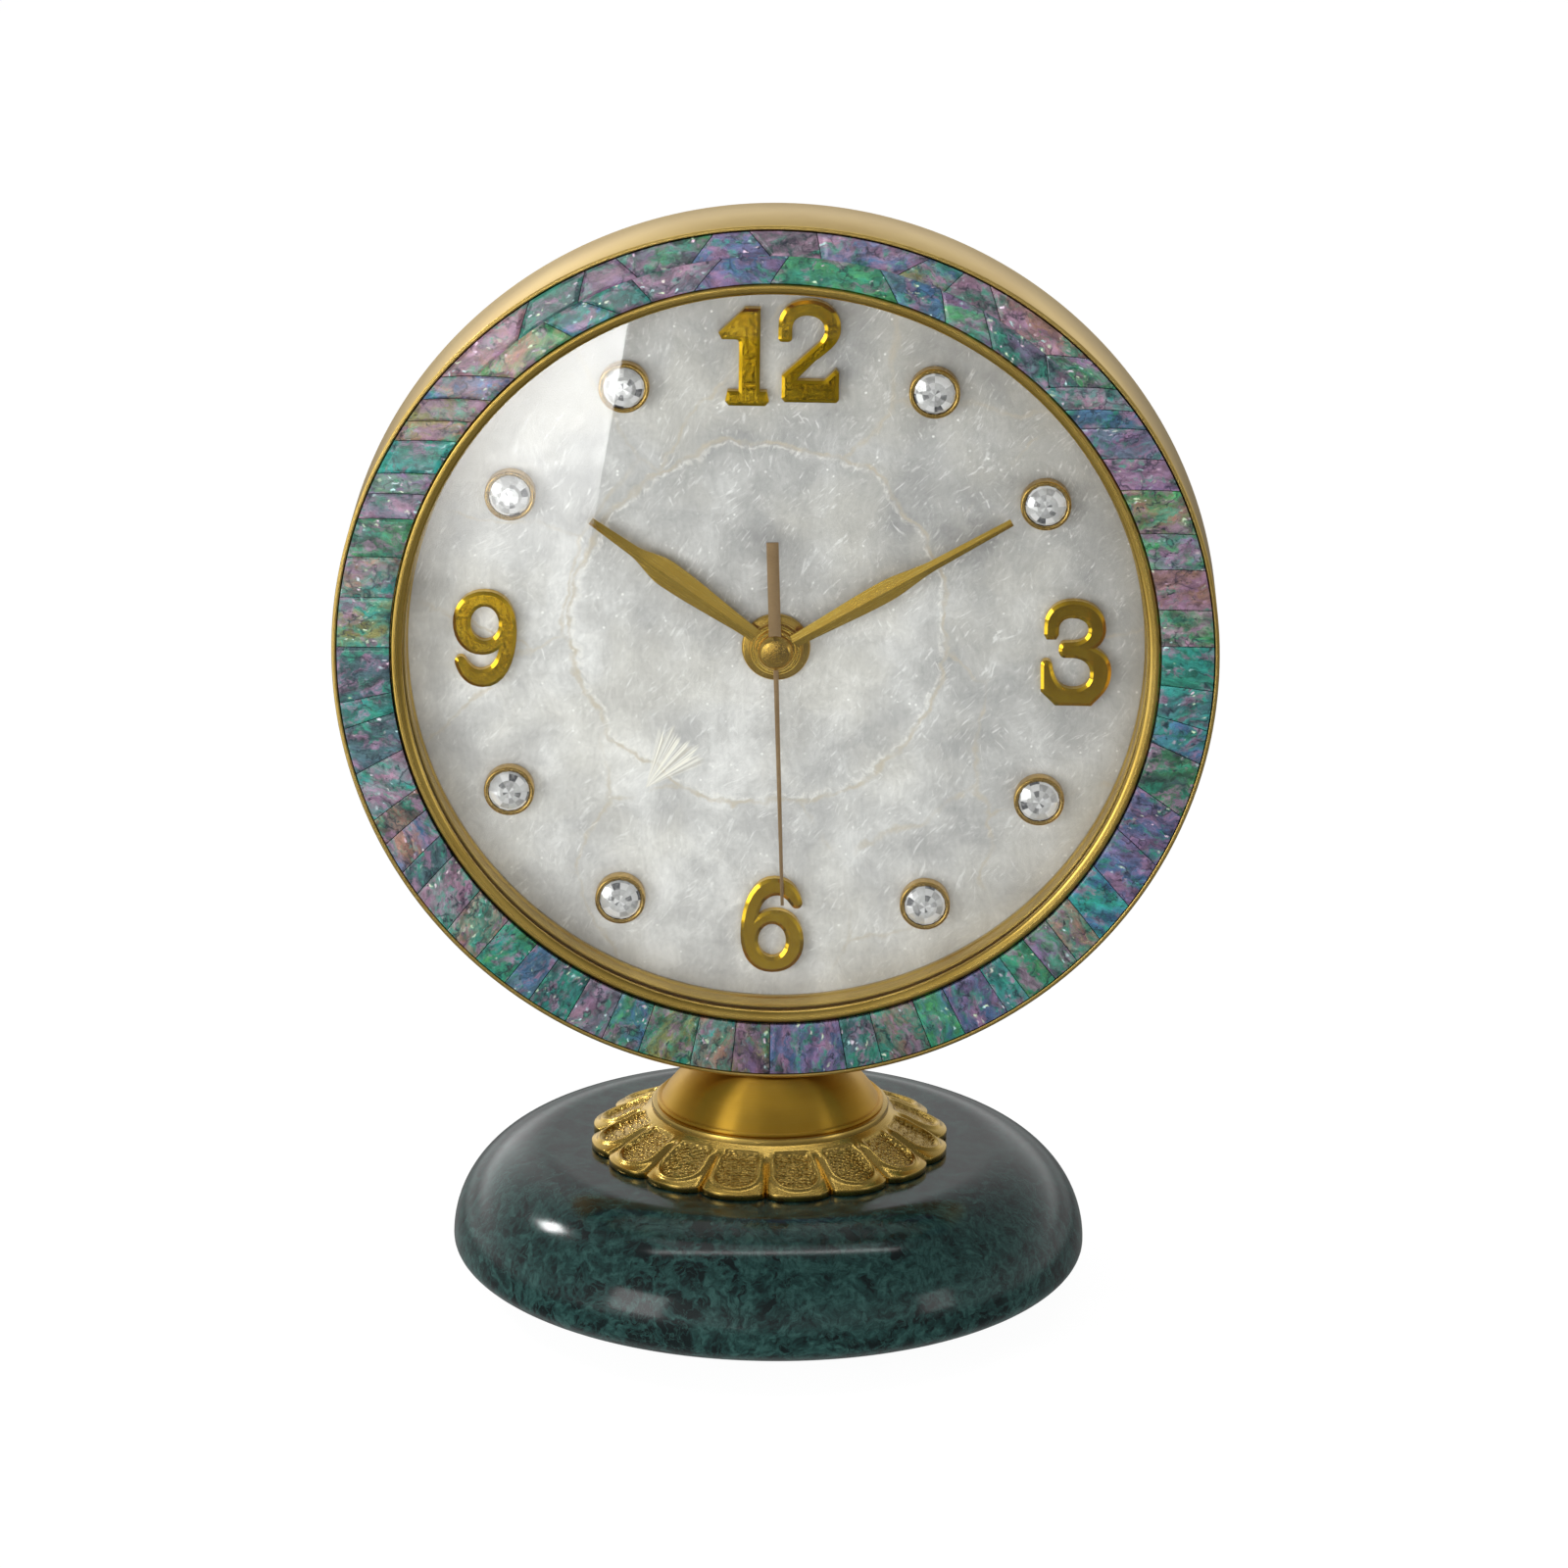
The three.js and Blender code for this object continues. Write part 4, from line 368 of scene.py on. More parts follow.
class Graph:
    """Lays out the nodes of one material, or of the room."""

    def __init__(self, name: str, kind: str = "Material") -> None:
        """Start without nodes.

        Args:
            name: Name of the material or the room.
            kind: Material or World.
        """
        self.owner = (bpy.data.worlds if kind == "World" else bpy.data.materials).new(name)
        self.owner.use_nodes = True
        self.tree = self.owner.node_tree
        self.tree.nodes.clear()
        self.output = self.tree.nodes.new("ShaderNodeOutput" + kind)

    def add(self, kind: str, inputs: Optional[dict] = None, **settings: object) -> bpy.types.Node:
        """Add a node.

        Args:
            kind: Node type without its ShaderNode prefix.
            inputs: What feeds each input, by name or number.
            settings: Values of the node's own properties.

        Returns:
            The node.
        """
        node = self.tree.nodes.new("ShaderNode" + kind)
        for name, value in settings.items():
            setattr(node, name, value)
        for name, value in (inputs or {}).items():
            self.feed(node.inputs[name], value)
        return node

    def feed(self, socket: Socket, value: Feed) -> None:
        """Link a socket to another, or set its value.

        Args:
            socket: The input.
            value: What feeds it.
        """
        if isinstance(value, bpy.types.NodeSocket):
            self.tree.links.new(value, socket)
        elif socket.type == "RGBA":
            socket.default_value = (*value[:3], 1)
        else:
            socket.default_value = value

    def object_mm(self, centre: Triple = (0, 0, 0)) -> Socket:
        """Object coordinates in millimetres from a centre."""
        coordinates = self.add("TexCoord").outputs["Object"]
        return self.mapped(coordinates, (1000, 1000, 1000), tuple(-value for value in centre))

    def mapped(
        self, vector: Socket, scale: Triple, shift: Triple = (0, 0, 0), turn: Triple = (0, 0, 0),
    ) -> Socket:
        """Scale, turn and shift a vector."""
        inputs = {"Vector": vector, "Scale": scale, "Location": shift, "Rotation": turn}
        return self.add("Mapping", inputs).outputs[0]

    def shifted(self, vector: Socket, scale: float, detail: float, reach: float) -> Socket:
        """Push a vector about by a cloudy pattern.

        Args:
            vector: The vector.
            scale: Scale of the clouds.
            detail: Their detail.
            reach: Twice the longest push.

        Returns:
            The pushed vector.
        """
        cloud = self.noise(vector, scale, detail, 0.6, colour=True)
        offset = self.vector_math("SUBTRACT", cloud, (0.5, 0.5, 0.5))
        stretched = self.vector_math("MULTIPLY", offset, (reach, reach, reach))
        return self.vector_math("ADD", vector, stretched)

    def stored(self, name: str, output: str) -> Socket:
        """Value that the mesh holds at each point."""
        return self.add("Attribute", attribute_name=name).outputs[output]

    def noise(
        self, vector: Socket, scale: Feed, detail: float = 3, rough: float = 0.5, colour: bool = False,
    ) -> Socket:
        """Cloudy pattern between 0 and 1, or three of them as a colour."""
        inputs = {"Vector": vector, "Scale": scale, "Detail": detail, "Roughness": rough}
        return self.add("TexNoise", inputs).outputs[1 if colour else 0]

    def streaks(
        self, vector: Socket, scale: Triple, detail: float = 4, rough: float = 0.6,
        shift: Triple = (0, 0, 0),
    ) -> Socket:
        """Cloudy pattern with a scale of its own along each axis."""
        return self.noise(self.mapped(vector, scale, shift), 1.0, detail, rough)

    def cells(
        self, vector: Socket, scale: float, output: str = "Distance", feature: str = "F1",
        irregular: float = 1,
    ) -> Socket:
        """Pattern of cells: distance from the middle or the edge, or a colour for each cell."""
        inputs = {"Vector": vector, "Scale": scale, "Randomness": irregular}
        return self.add("TexVoronoi", inputs, feature=feature).outputs[output]

    def cell_values(self, vector: Socket, scale: float) -> bpy.types.NodeOutputs:
        """Three values that stay the same all over a cell."""
        return self.add("SeparateColor", {0: self.cells(vector, scale, "Color")}).outputs

    def ramp(self, value: Socket, stops: Stops) -> Socket:
        """Colours along a value.

        Args:
            value: The value.
            stops: Where each colour lies, and the colour.

        Returns:
            The colour.
        """
        node = self.add("ValToRGB", {0: value})
        elements = node.color_ramp.elements
        for index, (place_at, colour) in enumerate(stops):
            element = elements[index] if index < 2 else elements.new(place_at)
            element.position = place_at
            element.color = (*colour, 1)
        return node.outputs[0]

    def span(self, value: Socket, low: float, high: float, to_low: float = 0, to_high: float = 1) -> Socket:
        """Map one span of a value onto another, clamped."""
        inputs = {0: value, 1: low, 2: high, 3: to_low, 4: to_high}
        return self.add("MapRange", inputs).outputs[0]

    def mix(self, share: Feed, first: Feed, second: Feed, blend: str = "MIX") -> Socket:
        """Mix two colours."""
        node = self.add("Mix", {0: share, 6: first, 7: second}, data_type="RGBA", blend_type=blend)
        return node.outputs[2]

    def math(self, operation: str, first: Feed, second: Feed = 0.5) -> Socket:
        """One step of arithmetic."""
        return self.add("Math", {0: first, 1: second}, operation=operation).outputs[0]

    def times(self, first: Feed, second: Feed) -> Socket:
        """Product of two values."""
        return self.math("MULTIPLY", first, second)

    def vector_math(self, operation: str, first: Feed, second: Feed = (0, 0, 0)) -> Socket:
        """One step of vector arithmetic."""
        node = self.add("VectorMath", {0: first, 1: second}, operation=operation)
        return node.outputs["Value" if operation in ("LENGTH", "DISTANCE", "DOT_PRODUCT") else "Vector"]

    def bump(self, height: Socket, strength: float, depth: float, under: Optional[Socket] = None) -> Socket:
        """Raise a surface by a height.

        Args:
            height: The height, from 0 to 1.
            strength: Share of the effect.
            depth: Full depth in millimetres.
            under: Normal of the surface below, if another height has raised it.

        Returns:
            The normal.
        """
        inputs = {"Height": height, "Strength": strength, "Distance": depth * MM}
        if under is not None:
            inputs["Normal"] = under
        return self.add("Bump", inputs).outputs[0]

    def show(self, shader: bpy.types.Node) -> None:
        """Send a shader to the output."""
        self.tree.links.new(shader.outputs[0], self.output.inputs["Surface"])

    def surface(self, colour: Feed, **inputs: Feed) -> None:
        """Finish with one shader. Underscores in the names of its inputs stand for spaces."""
        named = {name.replace("_", " "): value for name, value in inputs.items()}
        self.show(self.add("BsdfPrincipled", {"Base Color": colour, **named}))


@dataclass(frozen=True)
class Finish:
    """A surface finish. Each kind draws its own nodes, once."""

    name: str
    slot: str

    def draw(self, graph: Graph) -> None:
        """Lay out the nodes of the finish."""
        raise NotImplementedError

    def material(self) -> bpy.types.Material:
        """Look the material of this finish up, or draw it.

        Returns:
            The material.
        """
        found = bpy.data.materials.get(self.name)
        if found is None:
            graph = Graph(self.name)
            self.draw(graph)
            found = graph.owner
        return found


@dataclass(frozen=True)
class SatinBrass(Finish):
    """Turned and brushed brass, with tool lines that run round the axis."""

    colour: Triple
    dull: Triple
    painted_line_highlight: Triple
    rough: float
    axis: Axis = Axis.FACE
    stretch: float = 0.0
    lacquer: float = 0.0
    lined: float = 1.0
    pebbled: bool = False
    pebbles: float = 1.3
    pit: Triple = (0.36, 0.235, 0.065)

    def draw(self, graph: Graph) -> None:
        """Lay out the nodes of the finish.

        Args:
            graph: The material to fill.
        """
        point = graph.object_mm(tuple(self.axis.centre / MM))
        keep = (1, 1, 0) if self.axis is Axis.STAND else (1, 0, 1)
        radius = graph.vector_math("LENGTH", graph.vector_math("MULTIPLY", point, keep))
        along = graph.vector_math("DOT_PRODUCT", point, tuple(self.axis.direction))
        section = graph.add("CombineXYZ", {0: radius, 1: along}).outputs[0]
        lines = graph.noise(section, 6.0, 4, 0.7)
        cloud = graph.noise(point, 0.09, 3, 0.6)
        tone = graph.mix(graph.span(cloud, 0.3, 0.7), self.dull, self.colour)
        # painted highlight: a lighter brass along the tool lines
        tone = graph.mix(graph.span(lines, 0.35, 0.75, 0, 0.25 * self.lined), tone, self.painted_line_highlight)
        rough = graph.span(lines, 0.2, 0.8, self.rough - 0.06, self.rough + 0.08)
        normal = graph.bump(lines, 0.06 * self.lined, 0.02)
        extra: dict[str, Feed] = {"Coat_Weight": self.lacquer, "Coat_Roughness": 0.12}
        if self.pebbled:
            panel = graph.stored("panel", "Fac")
            grains = graph.cells(point, self.pebbles, irregular=0.6)
            pits = graph.times(graph.span(grains, 0.40, 0.66), panel)
            tone = graph.mix(graph.times(pits, 0.55), tone, self.pit)
            domes = graph.times(graph.span(grains, 0.05, 0.62, 1, 0), panel)
            normal = graph.bump(domes, 0.9, 0.28, normal)
        if self.stretch:
            extra["Tangent"] = graph.add("Tangent", direction_type="RADIAL", axis="Z").outputs[0]
            extra["Anisotropic"] = self.stretch
            extra["Anisotropic_Rotation"] = 0.25
        graph.surface(tone, Metallic=1.0, Roughness=rough, Normal=normal, **extra)


@dataclass(frozen=True)
class PolishedGold(Finish):
    """Gilt metal with a bright polish, faint smudges and a slightly uneven skin."""

    colour: Triple
    deep: Triple
    rough: float

    def draw(self, graph: Graph) -> None:
        """Lay out the nodes of the finish.

        Args:
            graph: The material to fill.
        """
        point = graph.object_mm()
        cloud = graph.noise(point, 0.35, 4, 0.6)
        tone = graph.mix(graph.span(cloud, 0.35, 0.7), self.deep, self.colour)
        smudge = graph.noise(point, 1.6, 5, 0.65)
        rough = graph.span(smudge, 0.3, 0.75, self.rough - 0.04, self.rough + 0.1)
        normal = graph.bump(graph.noise(point, 0.3, 2), 0.05, 0.08)
        graph.surface(tone, Metallic=1.0, Roughness=rough, Normal=normal)


@dataclass(frozen=True)
class BrushedGilt(Finish):
    """Gilt hand with fine lines along its blade and cloudy patches of painted sheen."""

    colour: Triple = (0.88, 0.60, 0.13)
    deep: Triple = (0.78, 0.49, 0.06)
    painted_sheen: Triple = (0.90, 0.66, 0.20)
    rough: float = 0.22

    def draw(self, graph: Graph) -> None:
        """Lay out the nodes of the finish.

        Args:
            graph: The material to fill.
        """
        grain = graph.stored("grain", "Vector")
        lines = graph.streaks(grain, (4.5, 0.06, 1.0), rough=0.65)
        cloud = graph.noise(graph.object_mm(), 0.5, 3, 0.6)
        tone = graph.mix(graph.span(lines, 0.30, 0.70), self.deep, self.colour)
        # painted sheen: cloudy patches of lighter gilt
        tone = graph.mix(graph.span(cloud, 0.45, 0.75, 0, 0.3), tone, self.painted_sheen)
        rough = graph.span(lines, 0.3, 0.7, self.rough - 0.05, self.rough + 0.08)
        graph.surface(tone, Metallic=1.0, Roughness=rough, Normal=graph.bump(lines, 0.08, 0.05))


@dataclass(frozen=True)
class GreenMarble(Finish):
    """Polished stone: blackish patches in a web of green veins."""

    webs: tuple[Pair, ...] = ((0.15, 0.62), (0.40, 0.50))
    stone: Stops = (
        (0.0, (0.0036, 0.0078, 0.0080)),
        (0.30, (0.0064, 0.0185, 0.0178)),
        (0.62, (0.0130, 0.0430, 0.0395)),
        (1.0, (0.0290, 0.0800, 0.0715)),
    )
    hairline: Triple = (0.036, 0.100, 0.088)
    speck: Triple = (0.0040, 0.0110, 0.0110)

    def draw(self, graph: Graph) -> None:
        """Lay out the nodes of the finish.

        Args:
            graph: The material to fill.
        """
        point = graph.object_mm()
        warped = graph.shifted(point, 0.06, 4, 12.0)
        ragged = graph.shifted(warped, 0.5, 5, 2.8)
        grain = graph.noise(warped, 1.1, 6, 0.7)
        lace = graph.noise(ragged, 0.7, 6, 0.66)
        dense = graph.span(graph.noise(warped, 0.035, 3, 0.55), 0.36, 0.60, 0.22, 1.0)
        layers = []
        for scale, widest in self.webs:
            edge = graph.cells(ragged, scale, feature="DISTANCE_TO_EDGE")
            fill = graph.cell_values(ragged, scale)[0]
            width = graph.times(graph.math("ADD", graph.times(fill, widest), 0.05), dense)
            layers.append(graph.span(graph.math("DIVIDE", edge, width), 0.35, 1.0, 1, 0))
        web = graph.math("MAXIMUM", layers[0], graph.times(layers[1], 0.7))
        share = graph.times(web, graph.span(lace, 0.34, 0.62, 0.25, 1.0))
        ridge = graph.math("ABSOLUTE", graph.math("SUBTRACT", graph.noise(ragged, 0.12, 5, 0.6), 0.5))
        thread = graph.times(graph.span(ridge, 0.0, 0.014, 1, 0), graph.span(grain, 0.38, 0.62))
        tone = graph.ramp(share, self.stone)
        tone = graph.mix(graph.times(thread, 0.75), tone, self.hairline)
        tone = graph.mix(graph.span(grain, 0.40, 0.70, 0.0, 0.45), tone, self.speck)
        rough = graph.span(grain, 0.2, 0.8, 0.10, 0.18)
        graph.surface(tone, Roughness=rough, Specular_IOR_Level=0.38)


@dataclass(frozen=True)
class Abalone(Finish):
    """Iridescent shell: streaks and patches of teal, green, blue and mauve, with dark cracks, painted
    glints and a painted sheen.
    """

    clouds: tuple[tuple[Triple, Triple], ...] = (
        ((11, 3, 40), (0.025, 0.255, 0.165)),
        ((5, 17, 90), (0.275, 0.150, 0.245)),
    )
    sparks: Stops = (
        (0.2, (0.72, 0.92, 0.62)),
        (0.5, (0.95, 0.66, 0.84)),
        (0.8, (0.62, 0.95, 0.95)),
    )
    cracked: Triple = (0.010, 0.016, 0.030)

    def draw(self, graph: Graph) -> None:
        """Lay out the nodes of the finish.

        Args:
            graph: The material to fill.
        """
        grain = graph.stored("grain", "Vector")
        main, second = graph.stored("main_tint", "Vector"), graph.stored("second_tint", "Vector")
        curved = graph.shifted(grain, 0.16, 4, 5.0)
        blend = graph.streaks(curved, (0.10, 0.26, 1.0))
        tone = graph.mix(graph.span(blend, 0.36, 0.64), main, second)
        for shift, tint in self.clouds:
            cloud = graph.streaks(curved, (0.16, 0.36, 1.0), 5, 0.65, shift)
            tone = graph.mix(graph.span(cloud, 0.51, 0.62, 0, 0.75), tone, tint)
        # broad light and dark patches: partly the shell's own tone, partly a painted sheen
        leaf = graph.streaks(curved, (0.22, 0.50, 1.0), shift=(7, 9, 160))
        streak = graph.streaks(curved, (0.30, 1.7, 1.0))
        lightness = graph.span(leaf, 0.32, 0.68, 0.42, 1.45)
        shade = graph.times(lightness, graph.span(streak, 0.3, 0.7, 0.82, 1.18))
        tone = graph.mix(1.0, tone, shade, "MULTIPLY")

        # painted glints: small bright spots of pale colour in some cells, where a cloudy mask allows
        flecks = graph.mapped(curved, (0.75, 1.5, 1.0))
        fleck = graph.cell_values(flecks, 1.0)
        core = graph.span(graph.cells(flecks, 1.0), 0.18, 0.42, 1, 0)
        lit = graph.span(graph.noise(grain, 0.14), 0.45, 0.6)
        glint = graph.times(graph.times(graph.math("GREATER_THAN", fleck[0], 0.78), core), lit)
        tone = graph.mix(graph.times(glint, 0.9), tone, graph.ramp(fleck[1], self.sparks))

        slanted = graph.mapped(curved, (0.20, 0.26, 1.0), turn=(0, 0, 0.7))
        gap = graph.cells(slanted, 1.0, feature="DISTANCE_TO_EDGE")
        worn = graph.span(graph.noise(grain, 0.30), 0.48, 0.58)
        crack = graph.times(graph.span(gap, 0.0, 0.07, 1, 0), worn)
        blot = graph.span(graph.streaks(curved, (0.45, 0.9, 1.0), 5, 0.7, (3, 5, 71)), 0.60, 0.66)
        dark = graph.math("MAXIMUM", crack, blot)
        tone = graph.mix(graph.times(dark, 0.85), tone, self.cracked)
        height = graph.math("ADD", leaf, graph.times(streak, 0.4))
        normal = graph.bump(height, 0.30, 0.14)
        rough = graph.span(streak, 0.3, 0.7, 0.20, 0.36)
        graph.surface(
            tone, Metallic=0.2, Roughness=rough, Normal=normal, Coat_Weight=0.3, Coat_Roughness=0.08,
        )


@dataclass(frozen=True)
class Pearl(Finish):
    """Pale shell veneer: leaves with cream edges, fine fibres also painted as glints, small flakes, a
    pearly tint, painted shade and a painted highlight.
    """

    disc_radius: float = 34.0
    disc_centre: Pair = (-3.0, 4.0)
    tuft_root: Pair = (-23.4, -27.4)
    tuft_reach: float = 12.5
    rim: Pair = (52.0, 68.0)
    strokes: tuple[tuple[float, float, float, float], ...] = (
        (52.0, 1.70, 0.575, 0.0),
        (40.0, 1.25, 0.575, 130.0),
        (64.0, 2.20, 0.580, 310.0),
        (118.0, 1.60, 0.600, 520.0),
        (56.0, 0.85, 0.580, 700.0),
    )
    leaves: Stops = (
        (0.36, (0.50, 0.497, 0.495)),
        (0.5, (0.645, 0.642, 0.632)),
        (0.64, (0.84, 0.836, 0.825)),
    )
    cream: Triple = (0.78, 0.75, 0.67)
    # near white of the fibre strokes, which also serve as painted glints
    fibre_glint: Triple = (1.0, 1.0, 0.99)
    gloom: Triple = (0.52, 0.515, 0.51)
    flake: Triple = (1.0, 1.0, 0.98)
    # pale colour of a painted highlight just inside the disc's outline
    lip: Triple = (0.98, 0.96, 0.91)
    seam: Triple = (0.56, 0.49, 0.37)
    tuft: Triple = (1.0, 0.975, 0.88)
    tuft_shade: Triple = (0.60, 0.54, 0.42)
    rim_shade: Triple = (0.50, 0.49, 0.47)

    def draw(self, graph: Graph) -> None:
        """Lay out the nodes of the finish.

        Args:
            graph: The material to fill.
        """
        point = graph.object_mm((0, 0, DRUM_CENTRE))
        flat = graph.vector_math("MULTIPLY", point, (1, 0, 1))
        warped = graph.vector_math("MULTIPLY", graph.shifted(flat, 0.10, 4, 8.0), (1, 0, 1))
        centre = (self.disc_centre[0], 0, self.disc_centre[1])
        radius = graph.vector_math("LENGTH", graph.vector_math("SUBTRACT", warped, centre))
        cloud = graph.noise(warped, 0.07, 5, 0.62)
        grain = graph.noise(warped, 0.9, 5, 0.7)

        drift = graph.vector_math("MULTIPLY", graph.shifted(flat, 0.05, 1, 11.0), (1, 0, 1))
        fibre = graph.streaks(drift, (1.5, 1.0, 0.22), rough=0.65)
        tone = graph.ramp(cloud, self.leaves)
        # painted shade: the veneer darkens steadily towards the upper right
        painted_diagonal_shade = graph.span(graph.vector_math("DOT_PRODUCT", flat, (0.55, 0, 0.84)), -30, 60, 0.99, 0.55)
        tone = graph.mix(1.0, tone, painted_diagonal_shade, "MULTIPLY")
        patches = graph.noise(graph.mapped(warped, (1, 1, 1), (70, 0, 20)), 0.04)
        tone = graph.mix(graph.span(patches, 0.48, 0.62, 0, 0.3), tone, self.cream)
        tone = graph.mix(1.0, tone, graph.span(grain, 0.3, 0.7, 0.89, 1.10), "MULTIPLY")
        tone = graph.mix(1.0, tone, graph.span(fibre, 0.3, 0.7, 0.93, 1.06), "MULTIPLY")
        height = grain
        # fibre strokes: the shell's pale fibres, painted near white so that they also stand for painted
        # glints
        for lean, scale, low, shift in self.strokes:
            turned = graph.add(
                "VectorRotate", {"Vector": drift, "Angle": math.radians(lean)}, rotation_type="Y_AXIS",
            ).outputs[0]
            hairs = graph.streaks(turned, (scale / 6, 1.0, scale), 4, 0.62, (shift, 0, 0))
            tufts = graph.noise(graph.mapped(warped, (1, 1, 1), (shift, 0, 50)), 0.16, 5, 0.65)
            present = graph.span(tufts, 0.50, 0.62)
            shown = graph.times(graph.span(hairs, low, low + 0.05), present)
            tone = graph.mix(graph.times(shown, 0.5), tone, self.fibre_glint)
            gloom = graph.times(graph.span(hairs, 0.42, 0.30, 0, 0.30), present)
            tone = graph.mix(gloom, tone, self.gloom)
            height = graph.math("ADD", height, shown)
        dots = graph.cells(flat, 0.9)
        sown = graph.math("GREATER_THAN", graph.cell_values(flat, 0.9)[0], 0.90)
        dot = graph.times(graph.span(dots, 0.16, 0.26, 1, 0), sown)
        dot = graph.times(dot, graph.span(cloud, 0.46, 0.56))
        tone = graph.mix(graph.times(dot, 0.8), tone, self.flake)

        outline = graph.math("SUBTRACT", radius, self.disc_radius)
        edge = graph.span(graph.math("ABSOLUTE", outline), 0.12, 0.60, 1, 0)
        # painted highlight: a pale band just inside the disc's outline, also raised a little by the bump
        lip = graph.span(graph.math("ABSOLUTE", graph.math("ADD", outline, 0.8)), 0.1, 0.6, 1, 0)
        beyond = graph.math("GREATER_THAN", outline, 0.0)
        leaf = graph.cells(warped, 0.026, feature="DISTANCE_TO_EDGE")
        rare = graph.span(graph.noise(flat, 0.05, 2), 0.42, 0.52, 0, 0.8)
        joint = graph.span(leaf, 0.002, 0.013, 1, 0)
        seam = graph.times(joint, graph.times(beyond, rare))
        patchy = graph.span(graph.noise(flat, 0.22, 4, 0.65), 0.38, 0.58, 0.3, 1.0)
        lines = graph.times(graph.math("MAXIMUM", edge, seam), patchy)
        lip = graph.times(lip, graph.span(grain, 0.4, 0.6))
        tone = graph.mix(graph.times(lip, 0.5), tone, self.lip)
        tone = graph.mix(graph.times(lines, 0.7), tone, self.seam)

        root = graph.vector_math("SUBTRACT", flat, (self.tuft_root[0], 0, self.tuft_root[1]))
        axes = graph.add("SeparateXYZ", {0: root})
        angle = graph.math("ARCTAN2", axes.outputs[2], axes.outputs[0])
        reach = graph.vector_math("LENGTH", root)
        fibres = graph.add("CombineXYZ", {0: graph.times(angle, 9.0)}).outputs[0]
        uneven = graph.times(graph.noise(fibres, 1.0, 2), self.tuft_reach * 0.8)
        along = graph.math("ADD", reach, uneven)
        combed = graph.noise(fibres, 1.5, 2, 0.6)
        strand = graph.span(combed, 0.47, 0.53)
        fan = graph.span(graph.math("ABSOLUTE", graph.math("SUBTRACT", angle, 0.90)), 0.40, 0.50, 1, 0)
        length = graph.span(along, self.tuft_reach * 1.25, self.tuft_reach * 1.35, 1, 0)
        spread = graph.times(fan, length)
        tuft = graph.times(strand, spread)
        shadow = graph.times(graph.span(combed, 0.48, 0.42, 0, 0.5), spread)
        tone = graph.mix(shadow, tone, self.tuft_shade)
        tone = graph.mix(graph.times(tuft, 0.95), tone, self.tuft)

        true_radius = graph.vector_math("LENGTH", flat)
        tone = graph.mix(graph.span(true_radius, *self.rim, 0, 0.3), tone, self.rim_shade)
        height = graph.math("ADD", height, graph.times(graph.math("ADD", lip, tuft), 0.7))
        normal = graph.bump(height, 0.25, 0.14)
        rough = graph.span(grain, 0.3, 0.7, 0.42, 0.28)
        graph.surface(tone, Metallic=0.05, Roughness=rough, Normal=normal, Specular_IOR_Level=0.5)


@dataclass(frozen=True)
class ClearGlass(Finish):
    """Thin clear glass: it mirrors by its angle and otherwise lets light straight through."""

    index: float = 1.5
    tint: Triple = (0.985, 0.99, 0.985)

    def draw(self, graph: Graph) -> None:
        """Lay out the nodes of the finish.

        Args:
            graph: The material to fill.
        """
        point = graph.object_mm((0, 0, DRUM_CENTRE))
        smear = graph.span(graph.noise(point, 0.05, 4, 0.6), 0.3, 0.7, 0.0, 0.02)
        mirror = graph.add("BsdfGlossy", {"Color": (1, 1, 1), "Roughness": smear})
        clear = graph.add("BsdfTransparent", {"Color": self.tint})
        leaving = graph.add("NewGeometry").outputs["Backfacing"]
        index = graph.span(leaving, 0, 1, self.index, 1 / self.index)
        share = graph.add("Fresnel", {"IOR": index}).outputs[0]
        graph.show(graph.add("MixShader", {0: share, 1: clear.outputs[0], 2: mirror.outputs[0]}))


@dataclass(frozen=True)
class Crystal(Finish):
    """Cut crystal whose colour is a painted reflection: a mosaic of dark, grey and near white tones by
    sector and band.
    """

    sectors: int = 12
    bands: float = 3.4
    # painted reflection: tones from dark to near white that stand for what the cut crystal mirrors
    painted_facet_tones: Stops = (
        (0.08, (0.10, 0.10, 0.11)),
        (0.24, (0.38, 0.38, 0.38)),
        (0.58, (0.62, 0.62, 0.62)),
        (0.90, (0.94, 0.94, 0.95)),
    )
    flaw: Triple = (0.90, 0.90, 0.92)

    def draw(self, graph: Graph) -> None:
        """Lay out the nodes of the finish.

        Args:
            graph: The material to fill.
        """
        flaws = graph.noise(graph.object_mm(), 1.2, 4, 0.6)
        spot = graph.stored("spot", "Vector")
        axes = graph.add("SeparateXYZ", {0: spot})
        turn = graph.math("ARCTAN2", axes.outputs[1], axes.outputs[0])
        sector = graph.math("FLOOR", graph.times(turn, self.sectors / (2 * math.pi)))
        band = graph.math("FLOOR", graph.times(graph.vector_math("LENGTH", spot), self.bands))
        mosaic = graph.add("CombineXYZ", {0: sector, 1: band}).outputs[0]
        # painted reflection: each sector and band of the cut gets a tone of its own
        painted_facet = graph.add("TexWhiteNoise", {"Vector": mosaic}, noise_dimensions="2D").outputs[0]
        tone = graph.ramp(painted_facet, self.painted_facet_tones)
        tone = graph.mix(graph.span(flaws, 0.45, 0.7, 0, 0.4), tone, self.flaw)
        rough = graph.span(flaws, 0.3, 0.7, 0.03, 0.10)
        graph.surface(tone, Metallic=0.3, Roughness=rough, Coat_Weight=0.8, Coat_Roughness=0.02)


